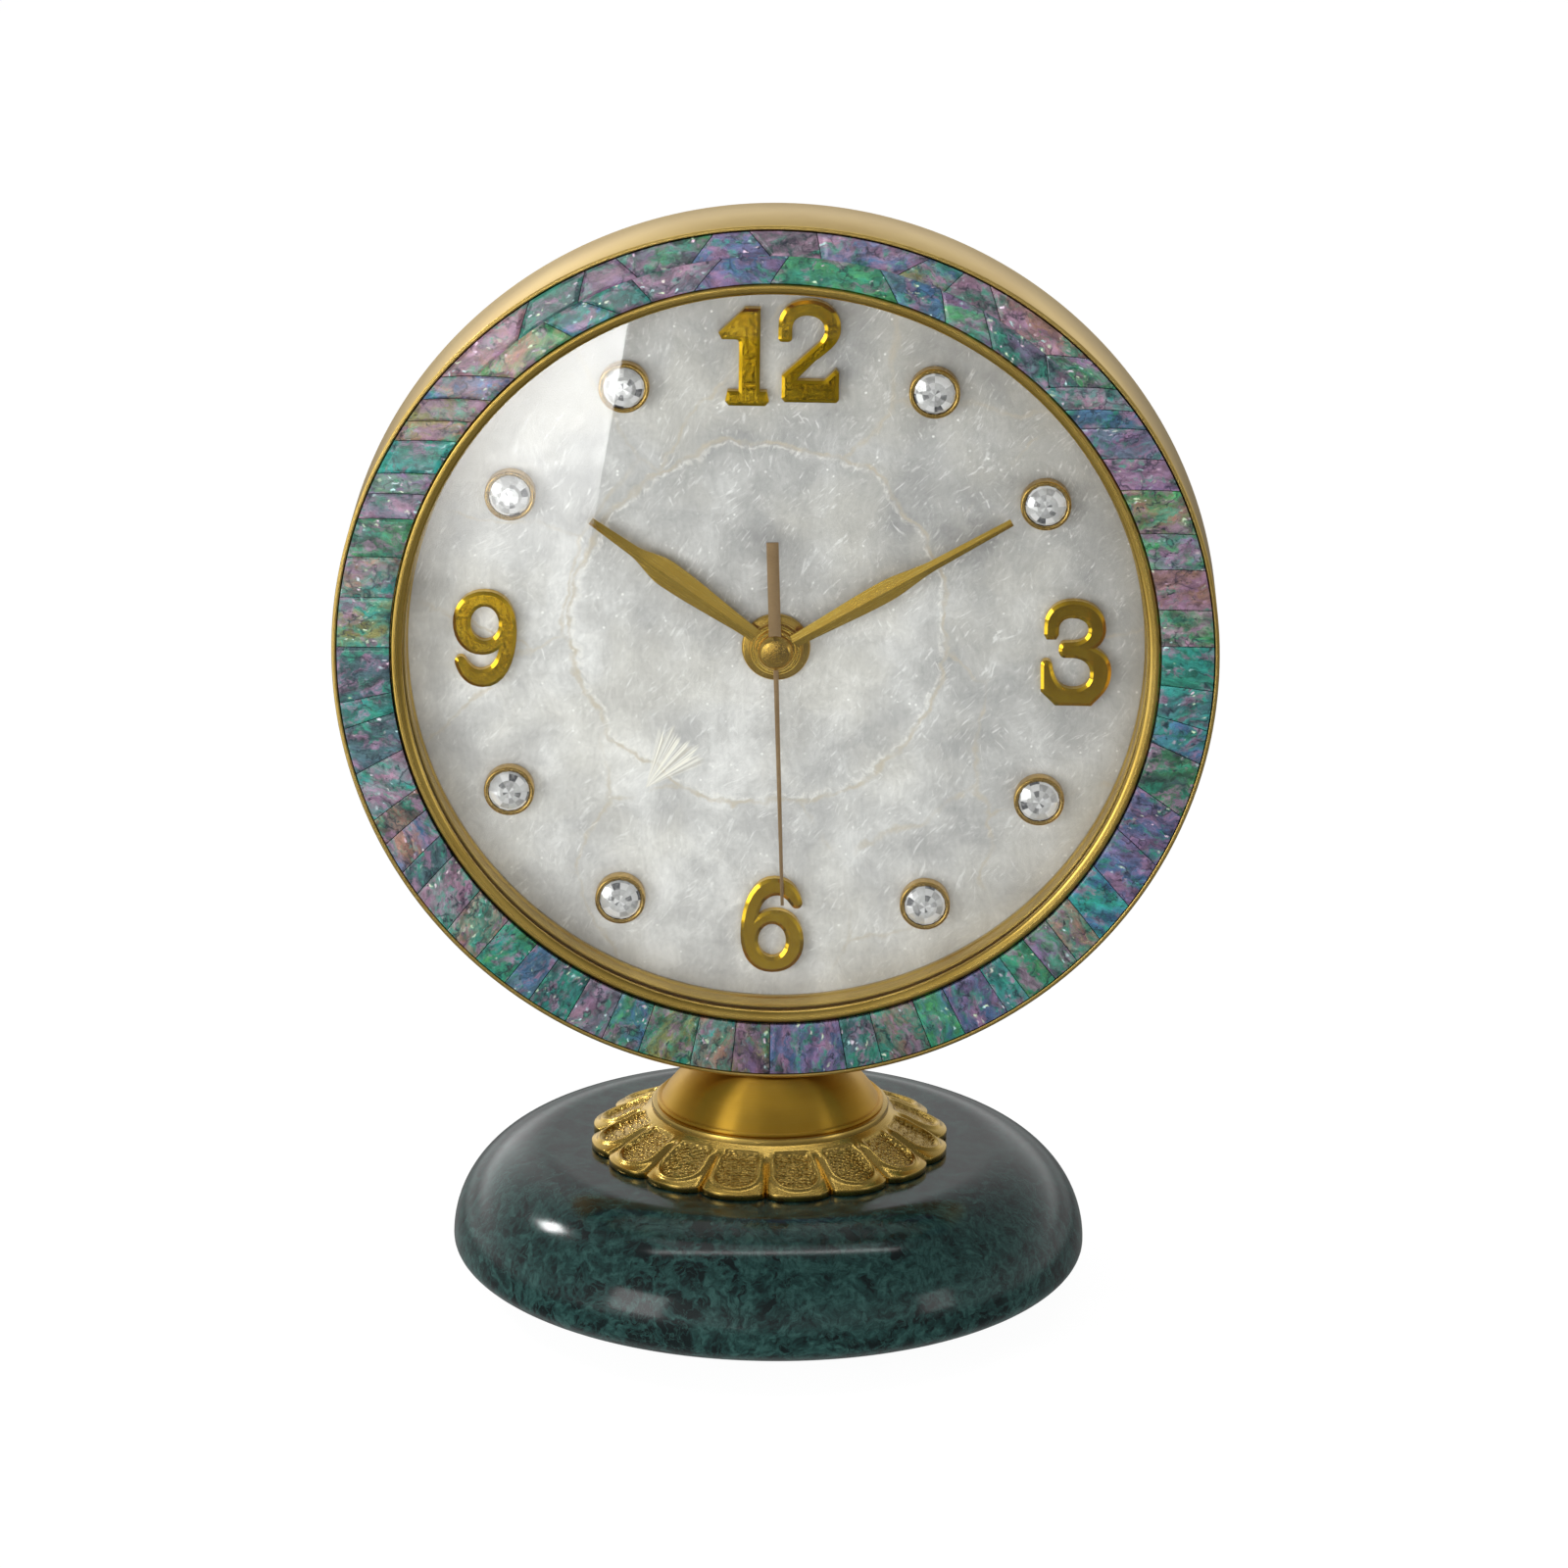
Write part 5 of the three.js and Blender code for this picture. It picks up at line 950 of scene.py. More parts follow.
@dataclass(frozen=True)
class Mottled(Finish):
    """Plain moulded, plated or pressed stuff with a fine grain and slight changes of tone."""

    light: Triple
    dark: Triple
    metal: float
    rough: Pair
    grain: float = 3.0
    depth: float = 0.04

    def draw(self, graph: Graph) -> None:
        """Lay out the nodes of the finish.

        Args:
            graph: The material to fill.
        """
        point = graph.object_mm()
        cloud = graph.noise(point, 0.12, 4, 0.6)
        grain = graph.noise(point, self.grain, 4, 0.65)
        share = graph.math("ADD", graph.times(cloud, 0.6), graph.times(grain, 0.4))
        tone = graph.mix(graph.span(share, 0.35, 0.65), self.dark, self.light)
        rough = graph.span(grain, 0.3, 0.7, *self.rough)
        normal = graph.bump(grain, 0.35, self.depth)
        graph.surface(tone, Metallic=self.metal, Roughness=rough, Normal=normal)


@dataclass(frozen=True)
class CellJacket(Finish):
    """Dry cell: a coloured sleeve with a pale band towards its nub, between two bare steel ends."""

    sleeve: Triple = (0.040, 0.085, 0.155)
    worn: Triple = (0.026, 0.056, 0.105)
    pale: Triple = (0.60, 0.57, 0.50)
    steel: Triple = (0.64, 0.64, 0.62)
    band: float = 13.5
    nub: float = 1.2
    rim: float = 0.5
    edge: float = 0.1

    def draw(self, graph: Graph) -> None:
        """Lay out the nodes of the finish.

        Args:
            graph: The material to fill.
        """
        box = Extent.of("battery")
        foot = box.low.x + self.rim
        head = box.high.x - self.nub - self.rim
        point = graph.object_mm()
        along = graph.vector_math("DOT_PRODUCT", point, (1, 0, 0))
        cloud = graph.noise(point, 0.3, 4, 0.6)
        scuffs = graph.streaks(point, (0.4, 2.5, 2.5), rough=0.65)
        tone = graph.mix(graph.span(cloud, 0.35, 0.65), self.worn, self.sleeve)
        start = head - self.band
        tone = graph.mix(graph.span(along, start, start + self.edge), tone, self.pale)
        tone = graph.mix(graph.span(scuffs, 0.62, 0.75, 0, 0.25), tone, self.pale)
        flat_end = graph.span(along, foot, foot + self.edge, 1, 0)
        ends = graph.math("MAXIMUM", flat_end, graph.span(along, head, head + self.edge))
        tone = graph.mix(ends, tone, self.steel)
        rough = graph.span(scuffs, 0.3, 0.7, 0.22, 0.38)
        metal = graph.span(ends, 0, 1, 0.25, 1.0)
        graph.surface(tone, Metallic=metal, Roughness=rough, Normal=graph.bump(scuffs, 0.1, 0.02))


FACE_BRASS = SatinBrass(
    "face_brass", "satin_brass", (0.68, 0.47, 0.11), (0.57, 0.37, 0.07), (0.80, 0.59, 0.24), 0.27,
)
WALL_BRASS = SatinBrass(
    "wall_brass", "satin_brass", (0.78, 0.55, 0.16), (0.70, 0.47, 0.12), (0.88, 0.66, 0.25), 0.30,
    lacquer=0.06,
)
NECK_BRASS = SatinBrass(
    "neck_brass", "satin_brass", (0.72, 0.43, 0.05), (0.64, 0.36, 0.035), (0.82, 0.56, 0.14), 0.42,
    Axis.STAND, stretch=1.0,
)
CAST_BRASS = SatinBrass(
    "cast_brass", "satin_brass", (0.66, 0.46, 0.125), (0.55, 0.36, 0.08), (0.80, 0.60, 0.24), 0.26,
    Axis.STAND, lined=0.15, pebbled=True,
)
GOLD = PolishedGold("bright_gilt", "polished_gold", (0.94, 0.61, 0.04), (0.84, 0.51, 0.02), 0.10)
CUP_GOLD = PolishedGold("cup_gilt", "satin_brass", (0.74, 0.50, 0.16), (0.60, 0.38, 0.10), 0.22)
HAND_GOLD = BrushedGilt("hand_gilt", "polished_gold")
NUT_GOLD = PolishedGold("nut_gilt", "polished_gold", (0.74, 0.49, 0.12), (0.64, 0.40, 0.07), 0.2)
MATT_BROWN = Mottled(
    "second_hand_lacquer", "satin_brass", (0.36, 0.24, 0.12), (0.27, 0.17, 0.08), 0.6, (0.38, 0.5),
)
MARBLE = GreenMarble("green_marble_polish", "green_marble")
SHELL = Abalone("abalone_lacquer", "abalone")
BED = Mottled("inlay_bed_resin", "abalone", (0.012, 0.014, 0.018), (0.005, 0.006, 0.008), 0.0, (0.4, 0.6))
PEARL = Pearl("pearl_veneer", "pearl")
GLASS = ClearGlass("clear_glass", "glass")
GEM = Crystal("cut_crystal", "crystal")
FELT = Mottled("pad_felt", "felt", (0.022, 0.045, 0.034), (0.010, 0.022, 0.017), 0.0, (0.9, 1.0), 5.0, 0.3)
STEEL = Mottled("zinc_steel", "steel", (0.62, 0.62, 0.60), (0.46, 0.46, 0.46), 1.0, (0.25, 0.42))
BLACK = Mottled(
    "black_moulding", "black_plastic", (0.020, 0.020, 0.022), (0.011, 0.011, 0.012), 0.0, (0.42, 0.6),
)
WHITE = Mottled("white_moulding", "white_plastic", (0.72, 0.71, 0.67), (0.62, 0.61, 0.57), 0.0, (0.35, 0.5))
BOARD = Mottled("green_board", "board", (0.020, 0.085, 0.035), (0.012, 0.050, 0.022), 0.0, (0.25, 0.4))
COPPER = Mottled(
    "coil_copper", "copper", (0.55, 0.22, 0.08), (0.40, 0.14, 0.05), 1.0, (0.3, 0.45), 8.0, 0.1,
)
JACKET = CellJacket("cell_jacket", "cell")


def hand_over(piece: Piece, finish: Finish, body: str, *nodes: str) -> None:
    """Give a finished piece its finish, the body it moves with and the nodes it stands for.

    Args:
        piece: The finished piece.
        finish: Its finish.
        body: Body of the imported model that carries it.
        nodes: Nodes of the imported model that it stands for.
    """
    if not piece.data.materials:
        piece.data.materials.append(finish.material())
    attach(piece, body)
    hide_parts(*nodes)
    LOG.info("%s: %d faces, rides on %s", piece.name, len(piece.data.polygons), body)


def dress_node(node: str, finish: Finish) -> None:
    """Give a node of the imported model, whose shape stays, its finish.

    Args:
        node: The node.
        finish: Its finish.
    """
    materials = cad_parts[node].data.materials
    materials.clear()
    materials.append(finish.material())
    LOG.info("%s: %s", node, finish.name)


def softened_node(
    node: str, name: str, finish: Finish, body: str, width: float, segments: int, corner: float,
) -> None:
    """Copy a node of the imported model, merge its loose triangles, round its sharp edges and hand it over.

    Args:
        node: The node to copy.
        name: Name of the new piece.
        finish: Its finish.
        body: Body that carries it.
        width: Width of the rounding in millimetres.
        segments: Steps across the rounding.
        corner: Least angle of a sharp edge in degrees.
    """
    piece = bpy.data.objects.new(name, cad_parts[node].data.copy())
    bpy.context.scene.collection.objects.link(piece)
    piece.data.materials.clear()
    with editing(piece):
        bpy.ops.mesh.remove_doubles(threshold=DOUBLES)
        bpy.ops.mesh.dissolve_limited(angle_limit=math.radians(1))
    soften(piece, width, segments, corner)
    apply_modifier(piece, "WEIGHTED_NORMAL", weight=100, keep_sharp=True)
    hand_over(piece, finish, body, node)


@dataclass
class Stand:
    """Felt pad, marble foot, petal collar and neck."""

    rod: float = 3.1
    counterbore: float = 9.0
    counterbore_depth: float = 8.0
    stone_foot: float = 32.0
    stone_top: float = 40.0
    stone_equator: float = 8.3
    petals: int = 16
    petal_columns: int = 40
    skirt_rows: int = 56
    petal_notch: float = 3.0
    petal_square: float = 2.2
    ring_radius: float = 21.8
    ring_height: float = 1.2
    edge: float = 1.3
    flare: Pair = (4.0, 2.8)
    panel_share: float = 0.69
    panel_top: float = 1.6
    panel_foot: float = 1.9
    panel_depth: float = 0.5
    rim_height: float = 0.40
    rim_width: float = 0.44
    valley_depth: float = 0.30
    valley_width: float = 0.42
    neck_bead: float = 0.7
    neck_pull: Pair = (16.7, 6.9)
    neck_top: Pair = (9.2, 7.3)
    saddle: float = 0.3
    pad_round: float = 0.3
    petal_join: float = 1e-5
    edge_lip: float = 0.03
    edge_break: float = 0.12
    edge_round: float = 0.2
    ring_round: float = 0.5
    ring_corner: Pair = (0.12, 0.14)
    panel_slope: float = 0.35
    panel_ease: float = 0.5
    rim_ease: float = 2.5
    neck_foot: float = 0.25
    bead_groove: Pair = (0.15, 0.75)
    cone_start: Pair = (0.35, 0.1)

    def build(self) -> None:
        """Build every piece of the stand."""
        self.pad()
        self.stone()
        self.collar()
        self.neck()
        dress_node("tie_rod", STEEL)
        dress_node("tie_nut", STEEL)

    def pad(self) -> None:
        """Felt disc under the stone, with a soft edge."""
        box = Extent.of("base_pad")
        profile = [(0, box.low.z), (box.radius, box.low.z), (box.radius, box.high.z), (0, box.high.z)]
        piece = lathe("felt_pad", profile, Axis.STAND)
        soften(piece, self.pad_round, 3)
        hand_over(piece, FELT, "case", "base_pad")

    def stone(self) -> None:
        """Turned foot with a flat top, a full round shoulder and the bore for the tie rod."""
        box = Extent.of("marble_base")
        bottom, top, radius = box.low.z, box.high.z, box.radius
        widest = bottom + self.stone_equator
        roof = bottom + self.counterbore_depth
        under = (radius - self.stone_foot, widest - bottom)
        over = (radius - self.stone_top, top - widest)
        piece = ring("marble_foot", [
            (self.counterbore, bottom),
            *arc((self.stone_foot, widest), under, -90, 0, 24)[:-1],
            *arc((self.stone_top, widest), over, 0, 90, 36),
            (self.rod, top), (self.rod, roof), (self.counterbore, roof),
        ], Axis.STAND, LARGE_FACES)
        soften(piece, 0)
        hand_over(piece, MARBLE, "case", "marble_base")

    def skirt(self, across: np.ndarray, share: np.ndarray) -> tuple[np.ndarray, np.ndarray]:
        """Flared skirt of one petal, before its panel is sunk.

        Args:
            across: Place across the petal, from -1 to 1.
            share: Place along the skirt, from 0 at the ring to 1 at the edge.

        Returns:
            Radius and height above the collar's underside.
        """
        box = Extent.of("petal_collar")
        bulge = np.sqrt(np.maximum(0, 1 - np.abs(across) ** self.petal_square))
        tip = box.radius - self.petal_notch * (1 - bulge)
        weights = ((1 - share) ** 2, 2 * share * (1 - share), share ** 2)
        radii = (self.ring_radius, self.ring_radius + self.flare[0], tip)
        heights = (box.high.z - box.low.z - self.ring_height, self.edge + self.flare[1], self.edge)
        radius = sum(weight * value for weight, value in zip(weights, radii))
        return radius, sum(weight * value for weight, value in zip(weights, heights))

    def relief(
        self, across: np.ndarray, radius: np.ndarray, length: np.ndarray,
    ) -> tuple[np.ndarray, np.ndarray]:
        """Sunk panel, raised rim and the valley between petals.

        Args:
            across: Place across the petal, from -1 to 1.
            radius: Distance from the stand's axis.
            length: Way along the skirt from the ring.

        Returns:
            Lift of the surface and how much of the panel lies there, from 0 to 1.
        """
        pitch = math.pi / self.petals * radius
        half = self.panel_share * pitch
        side = np.abs(across) * pitch
        foot = length[-1, self.petal_columns // 2] - self.panel_foot - half
        inside = np.where(length < foot, half - side, half - np.hypot(side, np.maximum(length - foot, 0)))
        head = smoothstep(length, self.panel_top - self.panel_ease, self.panel_top + self.panel_ease)
        panel = smoothstep(inside, 0.0, self.panel_slope) * head
        low_down = smoothstep(length, self.panel_top, self.panel_top + self.rim_ease)
        rim = np.exp(-(((inside + self.rim_width) / self.rim_width) ** 2)) * low_down
        valley = np.exp(-((pitch * (1 - np.abs(across)) / self.valley_width) ** 2)) * low_down
        return self.rim_height * rim - self.panel_depth * panel - self.valley_depth * valley, panel

    def collar(self) -> None:
        """Cast collar: one petal is shaped from a sheet and copied round the stand."""
        box = Extent.of("petal_collar")
        height = box.high.z - box.low.z
        columns = np.sin(np.linspace(-math.pi / 2, math.pi / 2, self.petal_columns + 1))
        across, share = np.meshgrid(columns, np.linspace(0, 1, self.skirt_rows + 1))
        radius, rise = self.skirt(across, share)
        steps = np.hypot(np.diff(radius, axis=0), np.diff(rise, axis=0))
        length = np.vstack([np.zeros_like(columns), np.cumsum(steps, axis=0)])
        outward, upward = -np.gradient(rise, axis=0), np.gradient(radius, axis=0)
        size = np.hypot(outward, upward)
        lift, panel = self.relief(across, radius, length)
        radius, rise = radius + lift * outward / size, rise + lift * upward / size

        ones = np.ones_like(columns)
        bevel = (
            (self.edge_lip, -self.edge_break),
            (self.edge_lip, self.edge_round - self.edge),
            (-self.edge_round, -self.edge),
        )
        skin = [(radius[-1] + out, np.maximum(rise[-1] + up, 0)) for out, up in bevel]
        inner = (
            (self.rod, 0.0),
            (self.rod, height),
            (self.ring_radius - self.ring_round, height),
            (self.ring_radius - self.ring_corner[0], height - self.ring_corner[1]),
            (self.ring_radius, height - self.ring_round),
        )
        skin += [(reach * ones, up * ones) for reach, up in inner] + [(radius[0], rise[0])]
        radius = np.vstack([radius, *(row[0] for row in skin)])
        rise = np.vstack([rise, *(row[1] for row in skin)])
        angle = -math.pi / 2 + (columns + 1) * math.pi / self.petals
        petal = grid("petal_collar_cast", self.petal_columns, len(radius) - 1)
        corners = (radius * np.cos(angle), radius * np.sin(angle), rise + box.low.z)
        set_points(petal, np.stack([corner.ravel() for corner in corners], 1))
        bare = np.zeros((len(skin), len(columns)))
        set_values(petal, "panel", np.vstack([panel, bare]).ravel())
        others = self.petals - 1
        turn = 2 * math.pi * others / self.petals
        with editing(petal):
            bpy.ops.mesh.spin(steps=others, dupli=True, angle=turn, center=(0, 0, 0), axis=(0, 0, 1))
        close_seams(petal, self.petal_join)
        soften(petal, 0, corner=50)
        hand_over(petal, CAST_BRASS, "case", "petal_collar")

    def neck(self) -> None:
        """Brushed cone on a small bead, cut to the round of the drum."""
        box = Extent.of("neck")
        bottom, radius = box.low.z, box.radius
        bead = self.neck_bead
        head = bottom + self.neck_top[1]
        piece = ring("brushed_neck", [
            (self.rod, bottom),
            (radius - self.neck_foot, bottom),
            *arc((radius - bead / 2, bottom + bead / 2), (bead / 2, bead / 2), -60, 120, 10),
            (radius - bead - self.bead_groove[0], bottom + bead * self.bead_groove[1]),
            *bend(
                (radius - bead - self.cone_start[0], bottom + bead + self.cone_start[1]),
                (self.neck_pull[0], bottom + self.neck_pull[1]),
                (self.neck_top[0], head),
            ),
            (self.neck_top[0], head + self.neck_top[0] / 4),
            (self.rod, head + self.neck_top[0] / 4),
        ], Axis.STAND, LARGE_FACES)
        drum = Extent.of("case_band").radius + self.saddle
        depth = 2 * radius
        round_bar = [(0, -depth), (drum, -depth), (drum, depth), (0, depth)]
        cut(piece, lathe("saddle_tool", round_bar, Axis.FACE, DRUM_FACES))
        soften(piece, 0, corner=30)
        hand_over(piece, NECK_BRASS, "case", "neck")


def radial_share(angle: float) -> float:
    """How far the shell's lines have turned from level to radial, from 0 to 1, at degrees from the top."""
    return min(max((abs(angle) - LEVEL_UNTIL) / (RADIAL_FROM - LEVEL_UNTIL), 0), 1)


@dataclass(frozen=True)
class Tile:
    """One shell tile: seams in degrees from the top, their leans, and rows as shares of the width."""

    places: Pair
    leans: Pair
    rows: Pair

    def grain(self) -> float:
        """Direction of the shell's grain.

        Returns:
            Degrees from level.
        """
        middle = (self.places[0] + self.places[1]) / 2
        if self.rows != (0, 1):
            return -middle
        radial = math.atan2(math.cos(math.radians(middle)), math.sin(math.radians(middle)))
        return radial_share(middle) * math.degrees(radial)


@dataclass
class Drum:
    """Brass drum with its shell inlay, sight ring, glass, inner wall and back."""

    wall: float = 2.0
    lip: float = 0.8
    web: Pair = (-7.05, -5.65)
    web_hole: float = 68.95
    plate_rebate: float = 79.0
    plate_seat: float = 7.55
    sight_lip_back: float = -7.9
    sight_spigot: float = 68.85
    sight_round: float = 0.55
    glass_seat: float = 68.15
    tile_thickness: float = 0.95
    seam: float = 0.14
    tile_cells: tuple[int, int] = (10, 8)
    tile_seed: int = 11
    tile_spacing: Pair = (3.2, 7.4)
    top_span: float = 46.0
    top_spacing: Pair = (6.0, 13.0)
    top_split: float = 0.52
    steepest: float = 20.0
    loose_lean: float = 1.3
    tile_sink: float = 0.08
    tile_round: float = 0.08
    grain_swing: float = 20.0
    grain_spread: float = 400.0
    tint_swing: Pair = (0.8, 1.2)
    bed_overlap: float = 0.1
    bed_gap: float = 0.02
    wall_round: float = 0.22
    sight_overlap: float = 0.7
    sight_slope: float = 0.8
    sight_gap: float = 0.05
    glass_chamfer: float = 0.3
    spacer_wall: float = 1.3
    spacer_step: float = 0.3
    spacer_foot: Pair = (1.1, 1.5)
    spacer_round: float = 0.1
    tints: tuple[Triple, ...] = (
        (0.275, 0.165, 0.230),
        (0.070, 0.140, 0.175),
        (0.030, 0.200, 0.150),
        (0.050, 0.255, 0.095),
        (0.195, 0.195, 0.065),
        (0.310, 0.170, 0.130),
        (0.175, 0.115, 0.225),
        (0.020, 0.260, 0.225),
        (0.050, 0.130, 0.260),
        (0.038, 0.078, 0.080),
    )

    def build(self) -> None:
        """Build every piece of the drum."""
        self.band()
        self.inlay()
        self.sight_ring()
        self.glass()
        self.inner_wall()
        self.back()

    def band(self) -> None:
        """Drum wall with its front lip, the web behind the inlay and the rebate for the back."""
        radius, front, back = Extent.of("case_band").turned
        inner = radius - self.wall
        piece = ring("drum_wall", [
            (radius, front), (radius, back),
            (self.plate_rebate, back), (self.plate_rebate, self.plate_seat),
            (inner, self.plate_seat), (inner, self.web[1]),
            (self.web_hole, self.web[1]), (self.web_hole, self.web[0]),
            (radius - self.lip, self.web[0]), (radius - self.lip, front),
        ], Axis.FACE, DRUM_FACES)
        soften(piece, self.wall_round, 3)
        hand_over(piece, WALL_BRASS, "case", "case_band")

    def lean(self, angle: float) -> float:
        """Shift of a seam round the ring for each millimetre outwards, at degrees from the top."""
        level = math.tan(math.radians(90 - max(abs(angle), self.steepest)))
        return math.copysign(level * (1 - radial_share(angle)), angle)

    @staticmethod
    def run(chance: random.Random, low: float, high: float, spacing: Pair) -> list[float]:
        """Places of the seams from one angle to another, both included.

        Args:
            chance: Source of the spacing.
            low: First angle in degrees.
            high: Last angle in degrees.
            spacing: Least and greatest step.

        Returns:
            The angles.
        """
        places = [low]
        while places[-1] + 2 * spacing[0] < high:
            places.append(places[-1] + chance.uniform(*spacing))
        return [place_at for place_at in places if place_at < high - spacing[0]] + [high]

    def layout(self, chance: random.Random) -> list[Tile]:
        """Tiles round the ring: one row, and two rows at the top.

        Args:
            chance: Source of the spacing.

        Returns:
            The tiles.
        """
        tiles = []
        for low, high in ((-180.0, -self.top_span), (self.top_span, 180.0)):
            places = self.run(chance, low, high, self.tile_spacing)
            for pair in zip(places, places[1:]):
                tiles.append(Tile(pair, (self.lean(pair[0]), self.lean(pair[1])), (0, 1)))
        for rows in ((0, self.top_split), (self.top_split, 1)):
            places = self.run(chance, -self.top_span, self.top_span, self.top_spacing)
            leans = [chance.uniform(-self.loose_lean, self.loose_lean) for _ in places]
            leans[0], leans[-1] = self.lean(-self.top_span), self.lean(self.top_span)
            tiles += [Tile(*pairs, rows) for pairs in zip(zip(places, places[1:]), zip(leans, leans[1:]))]
        return tiles

    def inlay(self) -> None:
        """Ring of shell tiles: one sheet is copied and shaped to each tile."""
        chance = random.Random(self.tile_seed)
        box = Extent.of("inlay_ring")
        inner = Extent.of("sight_ring").radius + self.seam
        outer = Extent.of("case_band").radius - self.lip - self.seam
        middle, width = (outer + inner) / 2, outer - inner
        front = box.low.y
        edge = self.seam / 2 / width
        sheet = grid("shell_tiles", *self.tile_cells)
        unit = (points_of(sheet) + 1) / 2
        pieces = []
        for index, tile in enumerate(self.layout(chance)):
            share = tile.rows[0] + (tile.rows[1] - tile.rows[0]) * unit[:, 1]
            share = np.clip(share, edge, 1 - edge)
            if tile.rows != (0, 1):
                share = share + np.where(share < self.top_split, -edge / 2, edge / 2)
            radius = inner + width * share
            gap = np.degrees(self.seam / 2 / radius)
            left, right = (
                place_at + np.degrees(lean * (radius - middle) / middle) + side * gap * math.hypot(1, lean)
                for place_at, lean, side in zip(tile.places, tile.leans, (1, -1))
            )
            angle = np.radians(left + (right - left) * unit[:, 0])
            x, z = radius * np.sin(angle), radius * np.cos(angle)
            piece = copy_of(sheet, f"tile_{index}")
            level = np.full_like(x, front + chance.uniform(0.0, self.tile_sink))
            set_points(piece, np.stack([x, level, z + DRUM_CENTRE], 1))
            turn = math.radians(tile.grain() + chance.uniform(-self.grain_swing, self.grain_swing))
            along = x * math.cos(turn) + z * math.sin(turn)
            side = z * math.cos(turn) - x * math.sin(turn)
            slice_of_shell = np.full_like(x, chance.uniform(0, self.grain_spread))
            set_values(piece, "grain", np.stack([along, side, slice_of_shell], 1))
            for name, tint in zip(("main_tint", "second_tint"), chance.sample(self.tints, 2)):
                shade = np.array(tint) * chance.uniform(*self.tint_swing)
                set_values(piece, name, np.tile(shade, (len(x), 1)))
            pieces.append(piece)
        bpy.data.objects.remove(sheet)
        shell = unite(pieces, "shell_tiles")
        self.face_forward(shell)
        apply_modifier(shell, "SOLIDIFY", thickness=self.tile_thickness * MM, offset=-1)
        soften(shell, self.tile_round, 2, 60)
        shell.data.materials.append(SHELL.material())
        bed_front = front + self.tile_thickness - self.bed_overlap
        near, far = inner + self.bed_gap, outer - self.bed_gap
        section = [(near, bed_front), (far, bed_front), (far, box.high.y), (near, box.high.y)]
        bed = ring("inlay_bed", section, Axis.FACE)
        bed.data.materials.append(BED.material())
        hand_over(unite([shell, bed], "shell_tiles"), SHELL, "case", "inlay_ring")

    @staticmethod
    def face_forward(piece: Piece) -> None:
        """Turn the faces of a flat sheet towards the front.

        Args:
            piece: The sheet.
        """
        mesh = piece.data
        for polygon in mesh.polygons:
            polygon.select = polygon.normal.y > 0
        take(piece)
        bpy.ops.object.mode_set(mode="EDIT")
        bpy.ops.mesh.flip_normals()
        bpy.ops.object.mode_set(mode="OBJECT")

    def sight_ring(self) -> None:
        """Ring that holds the glass: a rounded crest, a slope to the glass and a spigot."""
        outer, crest, end = Extent.of("sight_ring").turned
        opening = Extent.of("spacer_ring").radius - self.sight_overlap
        summit = outer - self.sight_round
        shoulder = self.web[0] - self.sight_gap
        slope = (summit - opening, self.sight_slope)
        piece = ring("sight_ring_turned", [
            (opening, self.sight_lip_back),
            *arc((summit, crest + self.sight_slope), slope, 180, 270, 12)[:-1],
            *arc((summit, crest + self.sight_round), (self.sight_round, self.sight_round), 270, 360, 10),
            (outer, shoulder), (self.sight_spigot, shoulder), (self.sight_spigot, end),
            (self.glass_seat, end), (self.glass_seat, self.sight_lip_back),
        ], Axis.FACE, DRUM_FACES)
        soften(piece, 0, corner=40)
        hand_over(piece, FACE_BRASS, "case", "sight_ring")

    def glass(self) -> None:
        """Flat glass with a small chamfer."""
        radius, front, back = Extent.of("glass").turned
        flat, shoulder = radius - self.glass_chamfer, front + self.glass_chamfer
        profile = [(0, front), (flat, front), (radius, shoulder), (radius, back), (0, back)]
        piece = lathe("front_glass", profile, Axis.FACE)
        soften(piece, 0, corner=30)
        hand_over(piece, GLASS, "case", "glass")

    def inner_wall(self) -> None:
        """Spacer between glass and dial, with a small step at its foot."""
        outer, front, back = Extent.of("spacer_ring").turned
        inner = outer - self.spacer_wall
        upper = inner + self.spacer_step
        piece = ring("inner_wall", [
            (upper, front), (outer, front), (outer, back), (inner, back),
            (inner, back - self.spacer_foot[0]), (upper, back - self.spacer_foot[1]),
        ], Axis.FACE, DRUM_FACES)
        soften(piece, self.spacer_round, 2, 25)
        hand_over(piece, FACE_BRASS, "case", "spacer_ring")

    def back(self) -> None:
        """Back plate and its three screws."""
        softened_node("back_plate", "back_cover", WALL_BRASS, "case", 0.25, 2, 45)
        for number in (1, 2, 3):
            softened_node(f"back_screw_{number}", f"cover_screw_{number}", STEEL, "case", 0.15, 2, 50)


